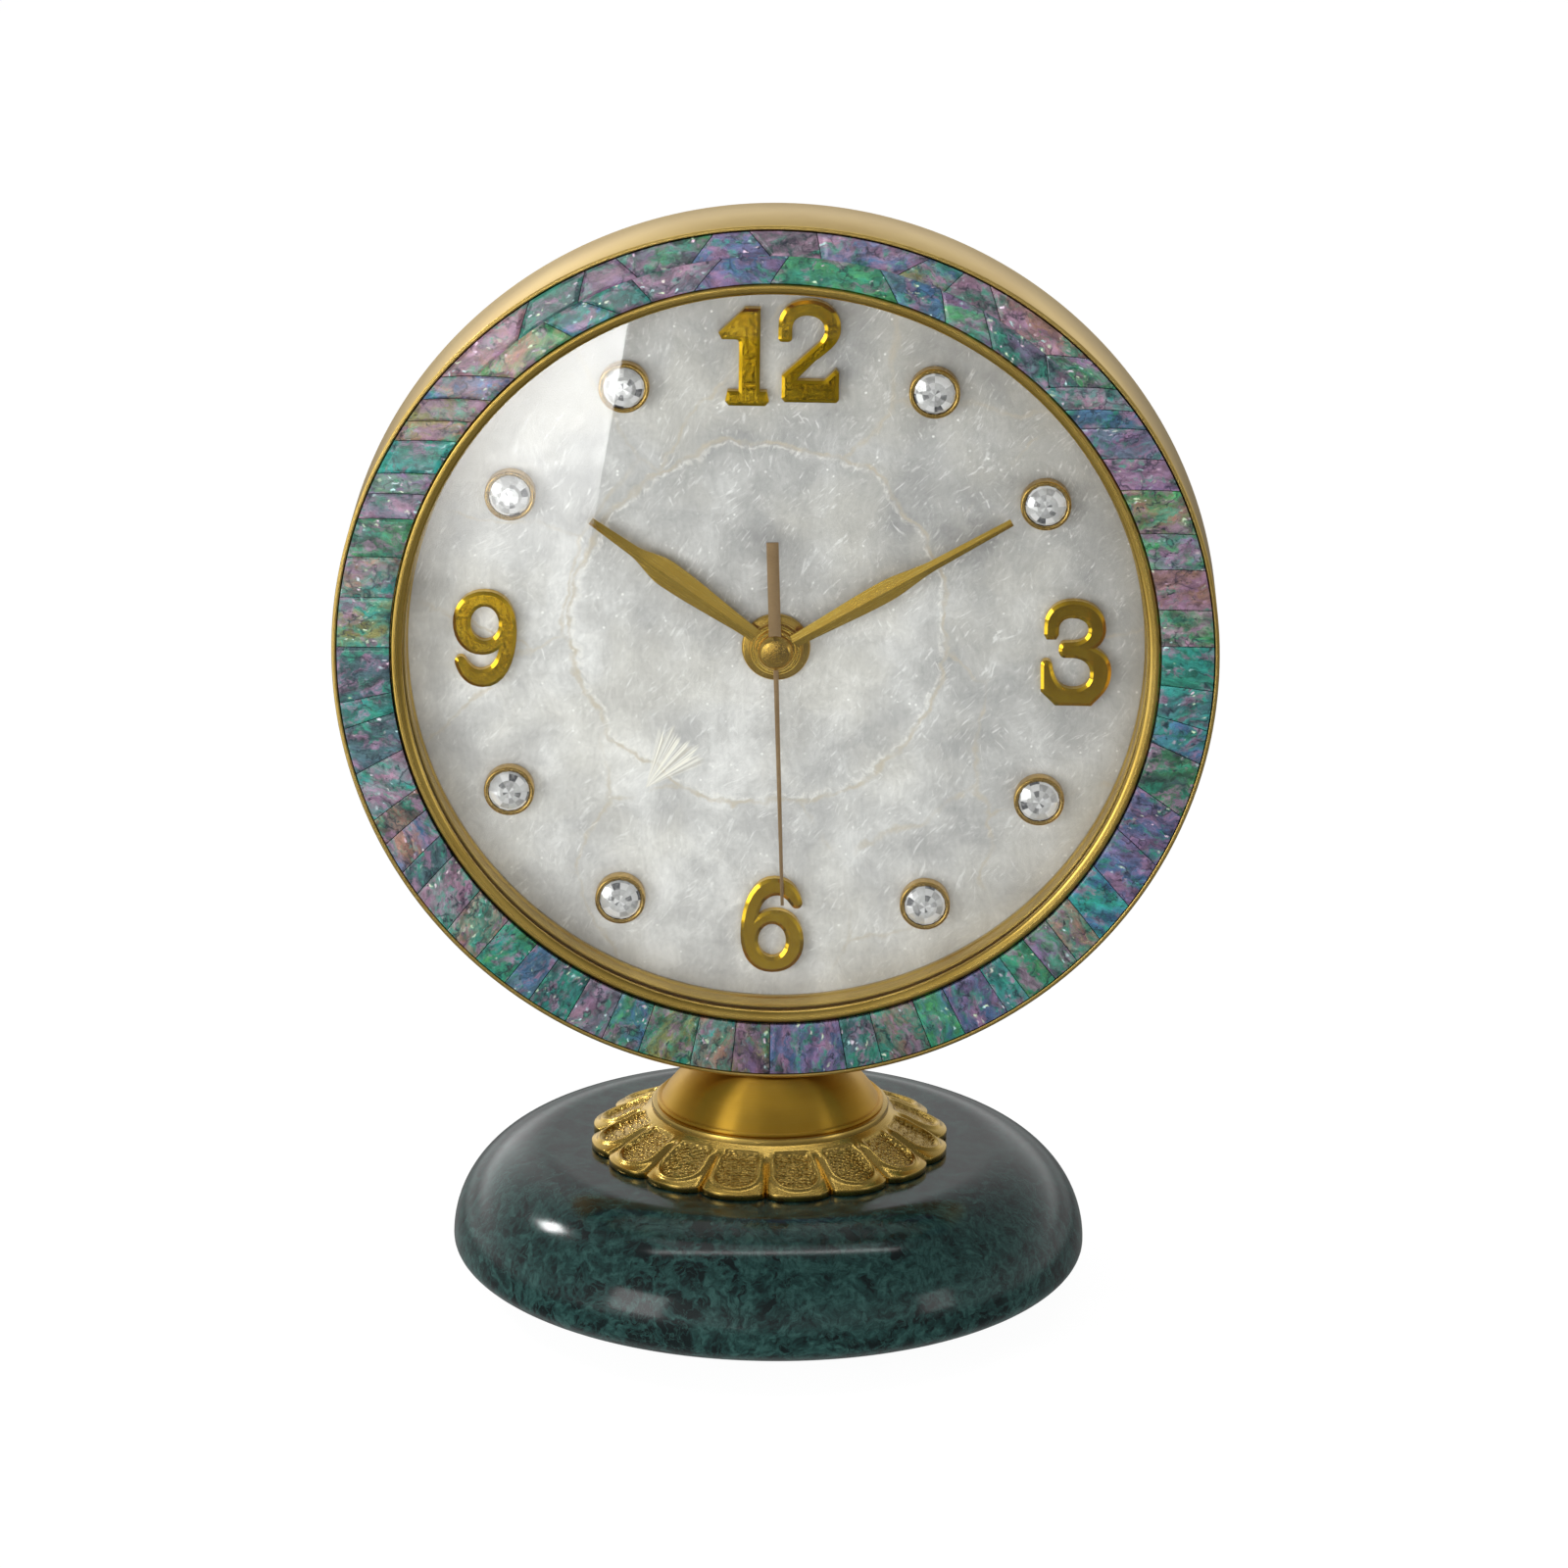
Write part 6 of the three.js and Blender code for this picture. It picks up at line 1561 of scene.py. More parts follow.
class Pen:
    """Draws closed outlines of straight and curved strokes, in millimetres."""

    round_handle: float = 0.5523
    joined: float = 1e-6

    def __init__(self) -> None:
        """Start with no outline."""
        self.outlines: list[list[list[Vector]]] = []

    def move(self, x: float, y: float) -> "Pen":
        """Start a new outline at a place across and upwards."""
        self.outlines.append([[Vector((x, y, 0)) for _ in range(3)]])
        return self

    def line(self, *points: Pair) -> "Pen":
        """Draw straight strokes from point to point.

        Args:
            points: Ends of the strokes.

        Returns:
            The same pen.
        """
        for x, y in points:
            start = self.outlines[-1][-1][1]
            end = Vector((x, y, 0))
            self.curve(start.lerp(end, 1 / 3)[:2], start.lerp(end, 2 / 3)[:2], (x, y))
        return self

    def curve(self, leave: Pair, arrive: Pair, end: Pair) -> "Pen":
        """Draw a curved stroke with two handles.

        Args:
            leave: Handle at its start.
            arrive: Handle at its end.
            end: Where it ends.

        Returns:
            The same pen.
        """
        self.outlines[-1][-1][2] = Vector((*leave, 0))
        at = Vector((*end, 0))
        self.outlines[-1].append([Vector((*arrive, 0)), at, at.copy()])
        return self

    def quad(self, bend: Pair, end: Pair) -> "Pen":
        """Draw a curved stroke with one handle.

        Args:
            bend: The handle.
            end: Where it ends.

        Returns:
            The same pen.
        """
        start = self.outlines[-1][-1][1]
        pull = Vector((*bend, 0))
        leave = start.lerp(pull, 2 / 3)
        arrive = Vector((*end, 0)).lerp(pull, 2 / 3)
        return self.curve(leave[:2], arrive[:2], end)

    def oval(self, centre: Pair, radii: Pair) -> "Pen":
        """Draw a whole ellipse.

        Args:
            centre: Its centre.
            radii: Its half axes, across and upwards.

        Returns:
            The same pen.
        """
        (cx, cy), (rx, ry) = centre, radii
        kx, ky = rx * self.round_handle, ry * self.round_handle
        self.move(cx + rx, cy)
        self.curve((cx + rx, cy + ky), (cx + kx, cy + ry), (cx, cy + ry))
        self.curve((cx - kx, cy + ry), (cx - rx, cy + ky), (cx - rx, cy))
        self.curve((cx - rx, cy - ky), (cx - kx, cy - ry), (cx, cy - ry))
        return self.curve((cx + kx, cy - ry), (cx + rx, cy - ky), (cx + rx, cy))

    def close(self) -> "Pen":
        """Close the outline with a straight stroke if it is still open."""
        first, last = self.outlines[-1][0][1], self.outlines[-1][-1][1]
        return self if (first - last).length < self.joined else self.line(first[:2])


class Digit(Enum):
    """Digits on the dial."""

    ONE = 1
    TWO = 2
    THREE = 3
    SIX = 6

    @property
    def steps(self) -> int:
        """Steps along each stroke: few for the one, which has hardly a curve."""
        return 4 if self is Digit.ONE else 8

    def outline(self) -> Pen:
        """Draw the digit with its foot at the origin.

        Returns:
            The pen that drew it.
        """
        pen = Pen()
        if self is Digit.ONE:
            pen.move(-4.3, 0.8).line((-3.6, 0), (2.9, 0), (3.6, 0.8), (3.2, 2.7), (1.9, 2.7), (1.9, 18))
            pen.line((-0.9, 18), (-5.6, 13.4), (-5, 12.2), (-2.6, 12.2)).quad((-1.9, 12.2), (-1.9, 11.4))
            pen.line((-1.9, 2.7), (-3.9, 2.7)).close()
        elif self is Digit.TWO:
            pen.move(-5.6, 12).line((-5.6, 14)).curve((-5.6, 17.2), (-3.2, 18.9), (-0.2, 18.9))
            pen.curve((3.2, 18.9), (5.6, 16.8), (5.6, 13.7)).curve((5.6, 11), (3.4, 9.5), (0.9, 7.5))
            pen.line((-2.3, 4.1), (2.7, 4.1), (4.8, 6.2), (5.4, 5.5), (5.4, 0.5), (4.9, 0), (-4.3, 0))
            pen.line((-4.9, 0.7), (-4.9, 4.9), (0.1, 9.6)).curve((1.9, 11.2), (2.7, 12), (2.7, 13.4))
            pen.curve((2.7, 15), (1.3, 16), (-0.4, 16)).curve((-2.2, 16), (-3.1, 15), (-3.1, 13.4))
            pen.line((-3.1, 12)).quad((-3.1, 11.1), (-4, 11.1))
            pen.line((-4.7, 11.1)).quad((-5.6, 11.1), (-5.6, 12))
        elif self is Digit.THREE:
            pen.move(-5.9, 13.3).line((-5.9, 15)).curve((-5.9, 18), (-3.6, 19.8), (-0.6, 19.8))
            pen.curve((3, 19.8), (5.3, 17.6), (5.3, 14.6)).curve((5.3, 12.9), (4.6, 11.7), (3.4, 10.9))
            pen.curve((5.3, 10), (6.4, 8.6), (6.4, 6.6)).curve((6.4, 4.6), (5.8, 3.2), (4.8, 2.1))
            pen.line((2.9, 0), (-3.6, 0), (-6.3, 2.6), (-6.4, 7.6))
            pen.curve((-6.4, 8.7), (-4.7, 8.9), (-4.3, 7.8)).curve((-3.9, 5), (-2.9, 3.2), (-0.6, 3.2))
            pen.curve((1.4, 3.2), (2.6, 4.4), (2.6, 6)).curve((2.6, 7.9), (1.3, 8.9), (-0.6, 9))
            pen.line((-2.2, 9)).curve((-3.5, 9.2), (-3.5, 11.6), (-2.4, 11.9))
            pen.line((-0.6, 12)).curve((1.2, 12.1), (2.1, 13.1), (2.1, 14.4))
            pen.curve((2.1, 15.7), (0.8, 16.5), (-0.8, 16.5))
            pen.curve((-2.4, 16.5), (-3.2, 15.6), (-3.2, 14.2))
            pen.line((-3.2, 13.3), (-3.7, 12.4), (-5.4, 12.4)).close()
        else:
            pen.move(0, 0).curve((3.4, 0), (5.8, 2.5), (5.8, 5.9)).curve((5.8, 9.4), (3.7, 12), (0.6, 12))
            pen.curve((-0.6, 12), (-1.7, 11.6), (-2.5, 10.9)).curve((-2.2, 13.2), (-0.9, 14.8), (0.9, 14.8))
            pen.curve((2.1, 14.8), (2.8, 13.8), (3.5, 12.8)).curve((4.2, 11.8), (5.8, 12.5), (5.4, 13.7))
            pen.curve((4.7, 16.4), (2.9, 18.1), (0.3, 18.1)).curve((-3.6, 18.1), (-5.8, 13.4), (-5.8, 7.4))
            pen.curve((-5.8, 2.6), (-3.4, 0), (0, 0)).oval((0, 6.1), (2.55, 3.2))
        return pen


@dataclass
class Dial:
    """Pearl dial with its gilt digits, crystals in cups and the nut that clamps it."""

    bush_hole: float = 3.9
    digit_chamfer: float = 0.62
    digit_slope: float = 0.55
    digit_wall: float = 1.8
    cup_lip: float = 0.75
    cup_floor: float = 0.8
    gem_table: float = 1.7
    gem_sides: int = 8
    gem_hours: tuple[int, ...] = (1, 2, 4, 5, 7, 8, 10, 11)
    plate_round: float = 0.15
    digit_join: float = 5e-6
    cup_mouth: float = 0.5
    cup_crest: float = 0.375
    cup_foot: float = 0.35
    gem_swell: float = 0.1
    gem_levels: Triple = (0.38, 0.95, 1.25)
    gem_taper: float = 0.05
    gem_foot: float = 0.55
    nut_play: float = 0.05
    nut_shoulder: float = 0.75
    nut_dome: Pair = (0.6, 0.4)
    nut_step: Pair = (1.3, 0.3)
    nut_land: float = 1.45
    nut_round: float = 0.06

    def build(self) -> None:
        """Build every piece of the dial."""
        self.plate()
        for node, digit, turned in (
            ("numeral_12_one", Digit.ONE, False),
            ("numeral_12_two", Digit.TWO, False),
            ("numeral_3", Digit.THREE, False),
            ("numeral_6", Digit.SIX, False),
            ("numeral_9", Digit.SIX, True),
        ):
            self.digit(node, digit, turned)
        self.markers()
        self.nut()

    def plate(self) -> None:
        """Shell-faced board with a softened rim."""
        radius, front, back = Extent.of("dial").turned
        piece = ring("pearl_dial", [
            (self.bush_hole, front), (radius, front), (radius, back), (self.bush_hole, back),
        ], Axis.FACE, LARGE_FACES)
        soften(piece, self.plate_round)
        hand_over(piece, PEARL, "case", "dial")

    def digit(self, node: str, digit: Digit, turned: bool) -> None:
        """Cast one digit with a chamfer round its front.

        Args:
            node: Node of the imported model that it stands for.
            digit: Which outline to draw.
            turned: Whether it stands on its head.
        """
        box = Extent.of(node)
        drawn = added(bpy.ops.curve.primitive_bezier_curve_add, "digit_outline")
        curve = drawn.data
        curve.splines.clear()
        for knots in digit.outline().outlines:
            knots[0][0] = knots[-1][0]
            knots.pop()
            spline = curve.splines.new("BEZIER")
            spline.bezier_points.add(len(knots) - 1)
            spline.use_cyclic_u = True
            spline.resolution_u = digit.steps
            for point, (arrive, at, leave) in zip(spline.bezier_points, knots):
                point.handle_left_type = point.handle_right_type = "FREE"
                point.co, point.handle_left, point.handle_right = at * MM, arrive * MM, leave * MM
        curve.dimensions = "2D"
        curve.fill_mode = "BOTH"
        curve.extrude = self.digit_wall * MM
        curve.bevel_depth = self.digit_chamfer * MM
        curve.bevel_resolution = 0
        curve.offset = -self.digit_chamfer * MM
        take(drawn)
        bpy.ops.object.convert(target="MESH")
        piece = bpy.context.object
        piece.name = "gilt_" + node
        piece.scale.z = self.digit_slope
        bpy.ops.object.transform_apply(location=False, rotation=False, scale=True)
        corners = points_of(piece)
        low, high = corners.min(0) / MM, corners.max(0) / MM
        middle = (low + high) / 2
        sign = -1 if turned else 1
        at = (box.middle.x - sign * middle[0], box.low.y + high[2], box.middle.z - sign * middle[1])
        place(piece, at, (90, 180 if turned else 0, 0))
        close_seams(piece, self.digit_join)
        with editing(piece):
            bpy.ops.mesh.bisect(
                plane_co=(0, box.high.y * MM, 0), plane_no=(0, 1, 0), use_fill=True, clear_outer=True,
            )
        soften(piece, 0, corner=22)
        hand_over(piece, GOLD, "case", node)

    def markers(self) -> None:
        """One cup and one crystal, copied to each hour that has no digit."""
        cup, gem = self.cup(Extent.of("cup_1")), self.gem(Extent.of("crystal_1"))
        for hour in self.gem_hours:
            for model, kind, finish in ((cup, "cup", CUP_GOLD), (gem, "crystal", GEM)):
                node = f"{kind}_{hour}"
                middle = Extent.of(node).middle
                piece = copy_of(model, f"set_{node}")
                place(piece, (middle.x, 0, middle.z), (0, 30 * hour, 0))
                hand_over(piece, finish, "case", node)
        bpy.data.objects.remove(cup)
        bpy.data.objects.remove(gem)

    def cup(self, box: Extent) -> Piece:
        """Turned cup with a rounded lip.

        Args:
            box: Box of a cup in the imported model.

        Returns:
            The cup, with its axis through the origin.
        """
        radius, front, back = box.turned
        inner = radius - self.cup_lip
        middle = radius - self.cup_lip / 2
        floor = back - self.cup_floor
        piece = lathe("cup_model", [
            (0, floor), (inner, floor), (inner, front + self.cup_mouth),
            *arc((middle, front + self.cup_crest), (self.cup_lip / 2, self.cup_crest), 180, 360, 10),
            (radius, back - self.cup_foot), (radius, back), (0, back),
        ], Axis.FACE, CUP_FACES)
        place(piece, (0, 0, -DRUM_CENTRE))
        soften(piece, 0, corner=50)
        return piece

    def gem(self, box: Extent) -> Piece:
        """Cut crystal: rings of points under one skin.

        Args:
            box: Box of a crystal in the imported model.

        Returns:
            The crystal, with its axis through the origin.
        """
        girdle, front, back = box.turned
        crown, upper, lower = (front + level for level in self.gem_levels)
        half_turn = math.pi / self.gem_sides
        rings = (
            (self.gem_table, front, self.gem_sides, 0.0),
            ((self.gem_table + girdle) / 2 + self.gem_swell, crown, self.gem_sides, half_turn),
            (girdle, upper, 2 * self.gem_sides, half_turn / 2),
            (girdle - self.gem_taper, lower, 2 * self.gem_sides, half_turn / 2),
            (girdle * self.gem_foot, back, self.gem_sides, half_turn),
        )
        loops = []
        for radius, along, sides, turn in rings:
            loops.append(added(
                bpy.ops.mesh.primitive_circle_add, "gem_ring", vertices=sides, radius=radius * MM,
                location=(0, along * MM, 0), rotation=(math.pi / 2, turn, 0),
            ))
            bpy.ops.object.transform_apply(location=True, rotation=True)
        piece = unite(loops, "gem_model")
        with editing(piece):
            bpy.ops.mesh.convex_hull()
            bpy.ops.mesh.dissolve_limited(angle_limit=math.radians(1))
            bpy.ops.mesh.normals_make_consistent(inside=False)
        places = points_of(piece) / (girdle * MM)
        set_values(piece, "spot", np.stack([places[:, 0], places[:, 2], np.zeros(len(places))], 1))
        return piece

    def nut(self) -> None:
        """Round nut with a stepped, domed front."""
        radius, front, back = Extent.of("dial_nut").turned
        bore = self.bush_hole - self.nut_play
        shoulder = front + self.nut_shoulder
        piece = ring("dial_clamp_nut", [
            (bore, back), (radius, back), (radius, shoulder),
            *arc((radius - self.nut_dome[0], shoulder), self.nut_dome, 0, -80, 6),
            (radius - self.nut_step[0], front + self.nut_step[1]),
            (radius - self.nut_land, front), (bore, front),
        ], Axis.FACE, NUT_FACES)
        soften(piece, self.nut_round, 2, 40)
        hand_over(piece, NUT_GOLD, "case", "dial_nut")


@dataclass(frozen=True)
class Leaf:
    """Sizes of one leaf-shaped hand."""

    node: str
    angle: float
    length: float
    belly: float
    width: float
    waist: Pair
    root: float
    bore: float


@dataclass
class HandSet:
    """Hour, minute and second hands."""

    tip: float = 1.3
    edge: float = 0.35
    hub_wall: float = 1.9
    steps: int = 80
    columns: int = 12
    hour: Leaf = Leaf("hour_hand", 304.9, 41.0, 24.3, 5.0, (32.0, 2.0), 2.5, 2.75)
    minute: Leaf = Leaf("minute_hand", 59.4, 49.0, 22.6, 4.0, (33.5, 1.9), 2.4, 1.9)
    second_angle: float = 177.8
    second_length: float = 48.0
    second_width: float = 0.95
    second_tip: float = 0.6
    second_tail: float = 20.7
    second_tail_width: float = 2.2
    second_thickness: float = 0.4
    second_level: float = 1.2
    tail_start: float = 1.0
    strip_cells: tuple[int, int] = (2, 12)
    strip_round: float = 0.1
    blade_root: float = 0.5
    hub_chamfer: float = 0.2
    cap_radius: float = 3.2
    cap_flat: float = 0.75
    cap_break: Pair = (0.65, 0.06)
    cap_slope: float = 0.6
    cap_overlap: float = 0.05
    cap_round: float = 0.04

    def build(self) -> None:
        """Build the three hands."""
        self.leaf_hand(self.hour)
        self.leaf_hand(self.minute)
        self.second_hand()

    def half_width(self, distance: np.ndarray, leaf: Leaf) -> np.ndarray:
        """Half width of a blade.

        Args:
            distance: Distances from its axis.
            leaf: Sizes of the hand.

        Returns:
            The half width at each distance.
        """
        waist_at, waist = leaf.waist
        swollen = leaf.root + (leaf.width - leaf.root) * smoothstep(distance, leaf.bore, leaf.belly)
        drawn = swollen + (waist - leaf.width) * smoothstep(distance, leaf.belly, waist_at)
        taper = np.clip((distance - waist_at) / (leaf.length - waist_at), 0, 1)
        return (drawn + (self.tip - waist) * taper) / 2

    def leaf_hand(self, leaf: Leaf) -> None:
        """Blade with a ridge along its middle, on a turned hub. The body and the node have one name.

        Args:
            leaf: Sizes of the hand.
        """
        box = Extent.of(leaf.node)
        front, back = box.low.y, box.high.y
        blade = grid(leaf.node + "_blade", self.columns, self.steps)
        unit = points_of(blade)
        start = leaf.bore + self.hub_wall * self.blade_root
        distance = start + (leaf.length - start) * (unit[:, 1] + 1) / 2
        half = self.half_width(distance, leaf)
        ridge = back - self.edge - (back - self.edge - front) * (1 - np.abs(unit[:, 0]))
        set_points(blade, np.stack([half * unit[:, 0], ridge, distance], 1))
        set_values(blade, "grain", np.stack([half * unit[:, 0], distance, np.zeros_like(half)], 1))
        with editing(blade):
            bpy.ops.mesh.extrude_region_move(TRANSFORM_OT_translate={"value": (0, self.edge * MM, 0)})
            bpy.ops.transform.resize(value=(1, 0, 1), center_override=(0, back * MM, 0))
        close_seams(blade)
        soften(blade, 0, corner=8)
        hub_radius = leaf.bore + self.hub_wall
        hub = ring(leaf.node + "_hub", [
            (leaf.bore, back), (hub_radius, back), (hub_radius, front + self.hub_chamfer),
            (hub_radius - self.hub_chamfer, front), (leaf.bore, front),
        ], Axis.FACE, HUB_FACES)
        place(hub, (0, 0, -DRUM_CENTRE))
        soften(hub, 0, corner=30)
        reach = np.linalg.norm(points_of(hub)[:, (0, 2)], axis=1) / MM
        set_values(hub, "grain", np.stack([reach, np.zeros_like(reach), np.ones_like(reach)], 1))
        whole = unite([blade, hub], leaf.node + "_leaf")
        place(whole, (0, 0, DRUM_CENTRE), (0, leaf.angle, 0))
        hand_over(whole, HAND_GOLD, leaf.node, leaf.node)

    def strip(self, name: str, widths: Pair, ends: Pair, back: float) -> Piece:
        """Flat tapering strip of the second hand.

        Args:
            name: Name of the strip.
            widths: Width at its start and at its end.
            ends: Start and end from the axis, upwards.
            back: Level of its back.

        Returns:
            The strip, with its axis through the origin.
        """
        sheet = grid(name, *self.strip_cells)
        unit = points_of(sheet)
        share = (unit[:, 1] + 1) / 2
        half = (widths[0] + (widths[1] - widths[0]) * share) / 2
        height = ends[0] + (ends[1] - ends[0]) * share
        set_points(sheet, np.stack([half * unit[:, 0], np.full_like(half, back), height], 1))
        with editing(sheet):
            offset = (0, -self.second_thickness * MM, 0)
            bpy.ops.mesh.extrude_region_move(TRANSFORM_OT_translate={"value": offset})
        close_seams(sheet)
        soften(sheet, self.strip_round)
        return sheet

    def second_hand(self) -> None:
        """Thin blade with a broad tail, under a turned cap."""
        front = Extent.of("second_hand").low.y
        level = front + self.second_level
        widths = (self.second_width, self.second_tip)
        blade = self.strip("second_blade", widths, (0.0, self.second_length), level)
        widths = (self.second_tail_width, self.second_tail_width)
        tail = self.strip("second_tail", widths, (-self.second_tail, -self.tail_start), level)
        blade = unite([blade, tail], "second_blade")
        blade.data.materials.append(MATT_BROWN.material())
        cap = lathe("second_cap", [
            (0, front),
            (self.cap_radius - self.cap_flat, front),
            (self.cap_radius - self.cap_break[0], front + self.cap_break[1]),
            (self.cap_radius, front + self.cap_slope),
            (self.cap_radius, level + self.cap_overlap),
            (0, level + self.cap_overlap),
        ], Axis.FACE, HUB_FACES)
        place(cap, (0, 0, -DRUM_CENTRE))
        soften(cap, self.cap_round, 2, 20)
        cap.data.materials.append(NUT_GOLD.material())
        whole = unite([blade, cap], "second_hand_sweep")
        place(whole, (0, 0, DRUM_CENTRE), (0, self.second_angle, 0))
        hand_over(whole, MATT_BROWN, "second_hand", "second_hand")


@dataclass
class Movement:
    """Quartz movement behind the dial: what shows at the back is softened, the rest is dressed."""

    inner: tuple[tuple[Finish, tuple[str, ...]], ...] = (
        (BLACK, ("movement_front",)),
        (BOARD, ("circuit_board",)),
        (COPPER, ("coil",)),
        (FACE_BRASS, ("cannon_pinion",)),
        (STEEL, ("stator", "rotor", "contact_positive", "contact_negative")),
        (WHITE, ("middle_plate", "intermediate_wheel", "seconds_wheel", "third_wheel")),
        (WHITE, ("centre_wheel", "minute_wheel", "hour_wheel")),
    )

    def build(self) -> None:
        """Build what shows and dress what doesn't."""
        softened_node("movement_rear", "movement_cover", BLACK, "case", 0.5, 3, 50)
        softened_node("set_knob", "setting_knob", WHITE, "set_knob", 0.25, 2, 50)
        softened_node("battery", "dry_cell", JACKET, "battery", 0.3, 3, 45)
        for finish, nodes in self.inner:
            for node in nodes:
                dress_node(node, finish)


@dataclass(frozen=True)
class Lamp:
    """A soft rectangular lamp that faces the clock."""

    name: str
    direction: Triple
    distance: float
    size: Pair
    radiance: float
    mirrored: bool = True

    def hang(self, target: Vector) -> None:
        """Hang the lamp and aim it.

        Args:
            target: The point that it faces, in metres.
        """
        lamp = added(bpy.ops.object.light_add, self.name, type="AREA")
        away = Vector(self.direction).normalized()
        lamp.location = target + away * self.distance
        lamp.rotation_euler = away.to_track_quat("Z", "Y").to_euler()
        lamp.data.shape = "RECTANGLE"
        lamp.data.size, lamp.data.size_y = self.size
        lamp.data.energy = self.radiance * math.pi * self.size[0] * self.size[1]
        lamp.visible_glossy = self.mirrored
        lamp.visible_camera = False


@dataclass(frozen=True)
class Board:
    """Board on the floor that only polished parts mirror, with its glow by the clock and far from it."""

    name: str
    x: Pair
    y: Pair
    height: float
    glow: Pair

    def lay(self) -> None:
        """Lay the board in its place."""
        board = added(bpy.ops.mesh.primitive_plane_add, self.name, size=1)
        board.scale = (self.x[1] - self.x[0], self.y[1] - self.y[0], 1)
        board.location = (sum(self.x) / 2, sum(self.y) / 2, self.height)
        bpy.ops.object.transform_apply(location=True, rotation=True, scale=True)
        graph = Graph(self.name + "_glow")
        along = graph.add("SeparateXYZ", {0: graph.object_mm()}).outputs[1]
        fade = graph.span(along, self.y[1] / MM, self.y[0] / MM, *self.glow)
        graph.show(graph.add("Emission", {"Color": (1, 1, 1), "Strength": fade}))
        board.data.materials.append(graph.owner)
        board.visible_camera = board.visible_diffuse = board.visible_shadow = False


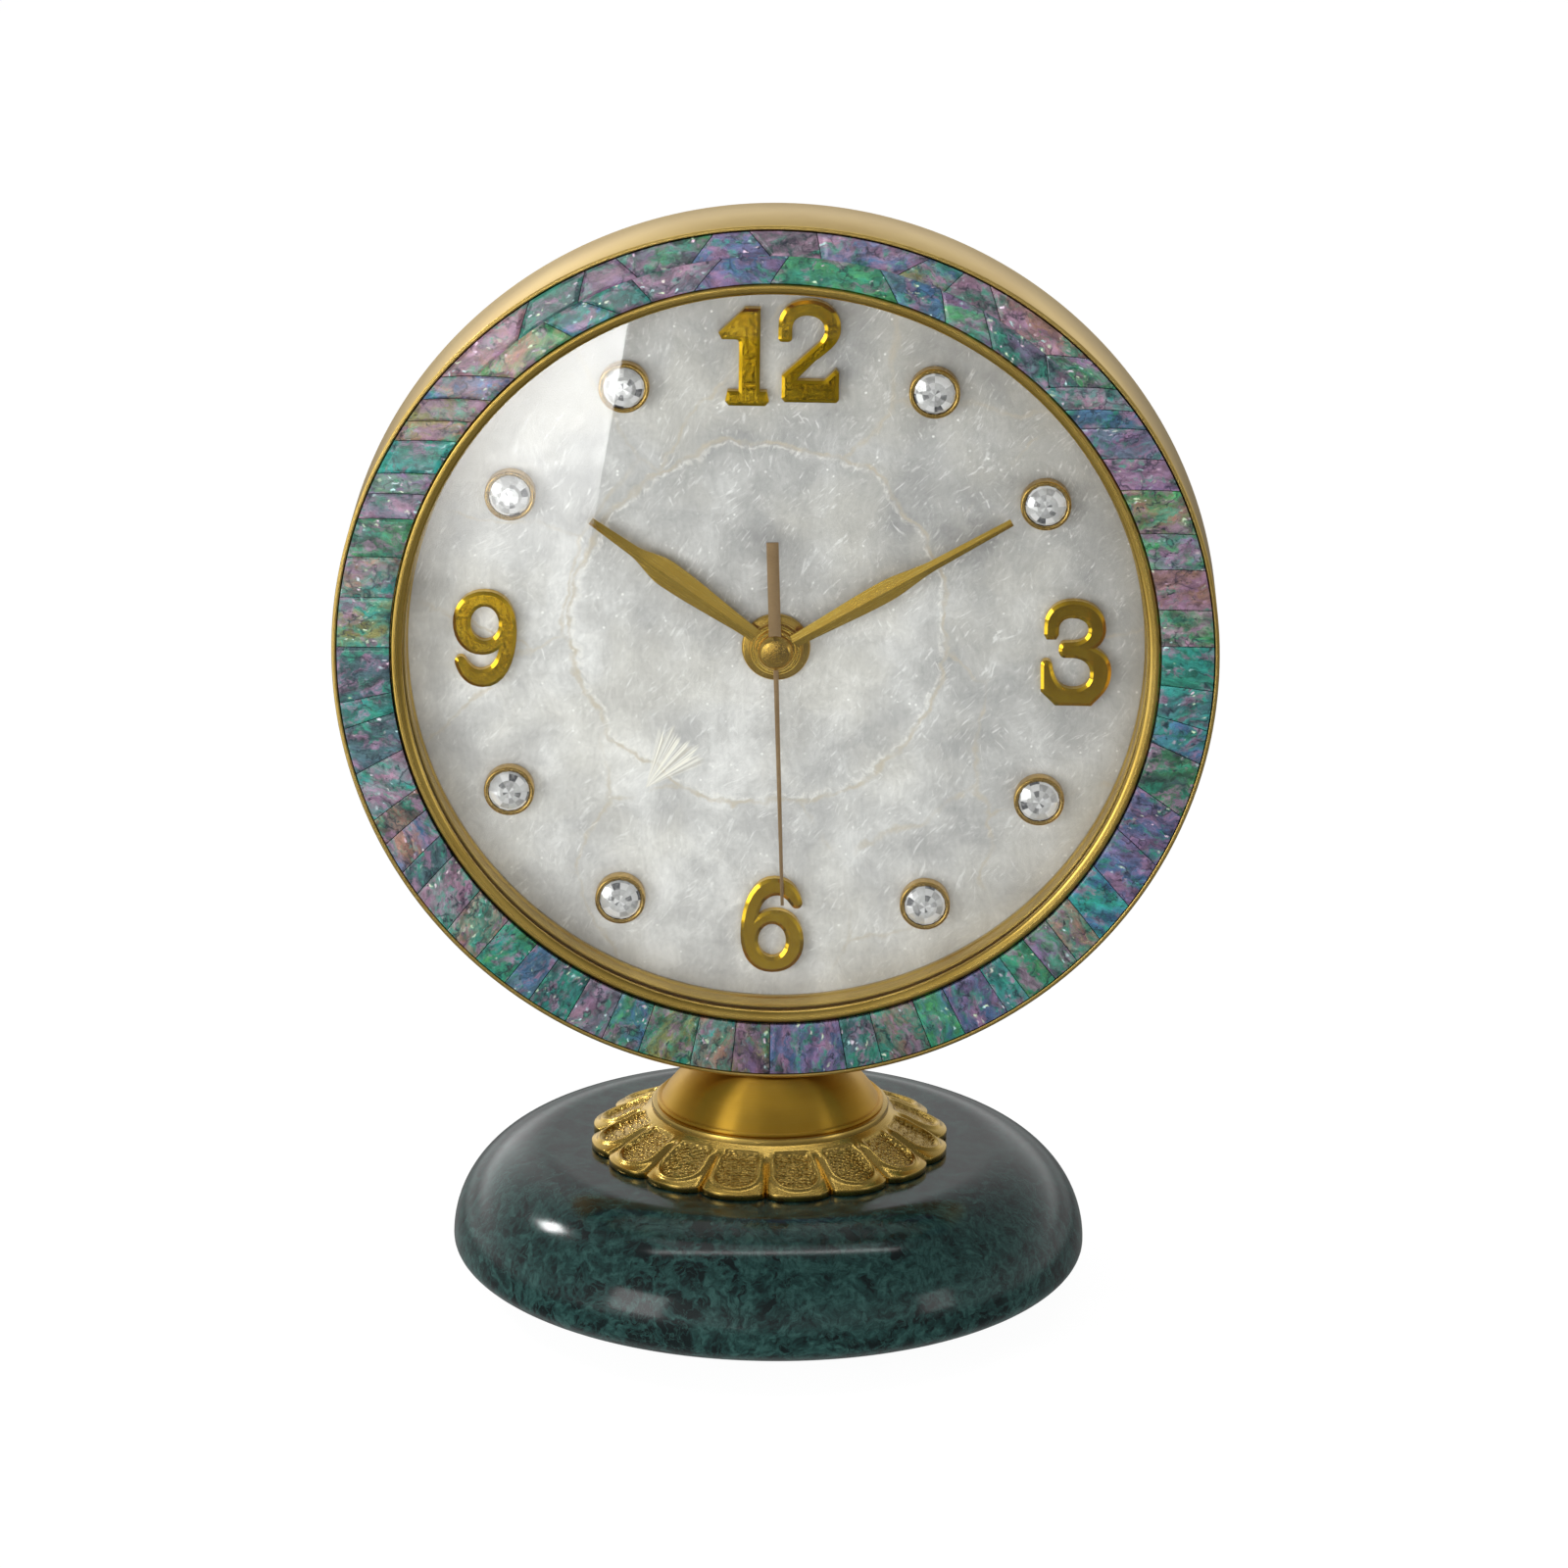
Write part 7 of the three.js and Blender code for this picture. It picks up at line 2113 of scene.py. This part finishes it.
@dataclass
class Studio:
    """Pale floor, surroundings, lamps and the camera at the photograph's angle."""

    floor_size: float = 8.0
    floor_glow: float = 0.96
    floor_tones: tuple[Triple, Triple] = ((0.10, 0.10, 0.10), (0.12, 0.12, 0.12))
    elevation: float = 17.431
    azimuth: float = 1.1743
    distance: float = 1.4355
    roll: float = 0.757
    target: Triple = (0.0, 0.0, 0.096)
    lens: float = 181.0
    sensor: float = 36.0
    clip: Pair = (0.01, 50.0)
    shift: Pair = (0.0062, 0.00045)
    room_by_height: tuple[Pair, ...] = (
        (-1.0, 0.20), (-0.16, 0.22), (-0.05, 0.80), (0.12, 0.78), (0.45, 0.42), (0.8, 0.26),
    )
    room_by_depth: tuple[Pair, ...] = ((-0.9, 0.55), (-0.2, 0.5), (0.35, 0.7), (0.8, 1.22))
    room_by_side: tuple[Pair, ...] = ((-1.0, 1.0), (-0.7, 1.5), (-0.3, 1.7), (-0.12, 1.0), (1.0, 1.0))
    rear_by_height: tuple[Pair, ...] = (
        (-0.2, 0.6), (-0.06, 0.4), (0.05, 0.4), (0.12, 0.85), (0.17, 1.2), (0.24, 1.0),
    )
    rear: Pair = (0.5, 0.8)
    boards: tuple[Board, ...] = (
        Board("sheen_board", (-0.60, 0.60), (-0.72, -0.14), 0.001, (0.28, 0.0)),
        Board("left_board", (-0.60, -0.17), (-0.60, -0.16), 0.002, (1.8, 1.0)),
        Board("window_board", (-0.160, -0.056), (-0.82, -0.47), 0.003, (0.5, 11.0)),
    )
    lamps: tuple[Lamp, ...] = (
        Lamp("overhead", (0.0, 0.35, 1.0), 1.6, (1.3, 1.0), 0.75),
        Lamp("strip", (0.008, -0.054, 1.0), 0.505, (0.62, 0.032), 5.5),
        Lamp("side_spot", (-0.744, 0.321, 0.586), 1.1, (0.14, 0.14), 32.0),
        Lamp("front_left", (-0.70, -0.68, 0.16), 1.2, (0.42, 0.50), 3.6),
        Lamp("front_right", (0.89, -0.45, 0.10), 1.2, (0.26, 0.40), 1.6),
        Lamp("fill_left", (-0.78, -0.62, 0.0), 0.75, (0.30, 0.30), 7.0, mirrored=False),
        Lamp("front_fill", (0.0, -0.95, -0.02), 0.75, (0.7, 0.5), 2.6, mirrored=False),
    )

    def build(self) -> None:
        """Set up the studio."""
        self.floor()
        self.surroundings()
        for board in self.boards:
            board.lay()
        for lamp in self.lamps:
            lamp.hang(Vector(self.target))
        self.camera()
        bpy.context.scene.view_settings.view_transform = "Standard"

    def floor(self) -> None:
        """Wide pale floor, lit through from below so that it stays white."""
        plane = added(bpy.ops.mesh.primitive_plane_add, "studio_floor", size=self.floor_size)
        graph = Graph("floor_paint")
        tone = graph.mix(graph.noise(graph.object_mm(), 0.004), *self.floor_tones)
        graph.surface(
            tone, Roughness=0.9, Specular_IOR_Level=0.0,
            Emission_Color=(1, 1, 1), Emission_Strength=self.floor_glow,
        )
        plane.data.materials.append(graph.owner)
        plane.visible_glossy = False

    def surroundings(self) -> None:
        """Room as the polished parts mirror it: dark below, dim in front, with a dark line far behind."""
        graph = Graph("studio_room", "World")
        bpy.context.scene.world = graph.owner
        axes = graph.add("SeparateXYZ", {0: graph.add("TexCoord").outputs["Generated"]}).outputs
        room = (
            (1.0, axes[2], self.room_by_height),
            (1.0, axes[1], self.room_by_depth),
            (1.0, axes[0], self.room_by_side),
            (graph.span(axes[1], *self.rear), axes[2], self.rear_by_height),
        )
        tone: Feed = (1, 1, 1)
        for share, along, stops in room:
            greys = tuple(((at + 1) / 2, (value, value, value)) for at, value in stops)
            tone = graph.mix(share, tone, graph.ramp(graph.span(along, -1, 1), greys), "MULTIPLY")
        graph.show(graph.add("Background", {"Color": tone}))

    def camera(self) -> None:
        """Camera at the photograph's angle."""
        elevation, azimuth, roll = (math.radians(a) for a in (self.elevation, self.azimuth, self.roll))
        level = math.cos(elevation)
        back = Vector((math.sin(azimuth) * level, -math.cos(azimuth) * level, math.sin(elevation)))
        right = (-back).cross(Vector((0, 0, 1))).normalized()
        up = right.cross(-back)
        across = right * math.cos(roll) + up * math.sin(roll)
        upward = up * math.cos(roll) - right * math.sin(roll)
        camera = added(bpy.ops.object.camera_add, "photo_camera")
        turn = Matrix((across, upward, back)).transposed().to_4x4()
        camera.matrix_world = Matrix.Translation(Vector(self.target) + back * self.distance) @ turn
        camera.data.lens = self.lens
        camera.data.sensor_width = self.sensor
        camera.data.shift_x, camera.data.shift_y = self.shift
        camera.data.clip_start, camera.data.clip_end = self.clip
        bpy.context.scene.camera = camera


def main() -> None:
    """Build the clock and its studio."""
    logging.basicConfig(level=logging.INFO, format="%(name)s %(message)s")
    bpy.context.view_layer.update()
    for assembly in (Studio(), Stand(), Drum(), Dial(), HandSet(), Movement()):
        assembly.build()
        LOG.info("%s done", type(assembly).__name__)
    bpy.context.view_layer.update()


if __name__ == "__main__":
    main()
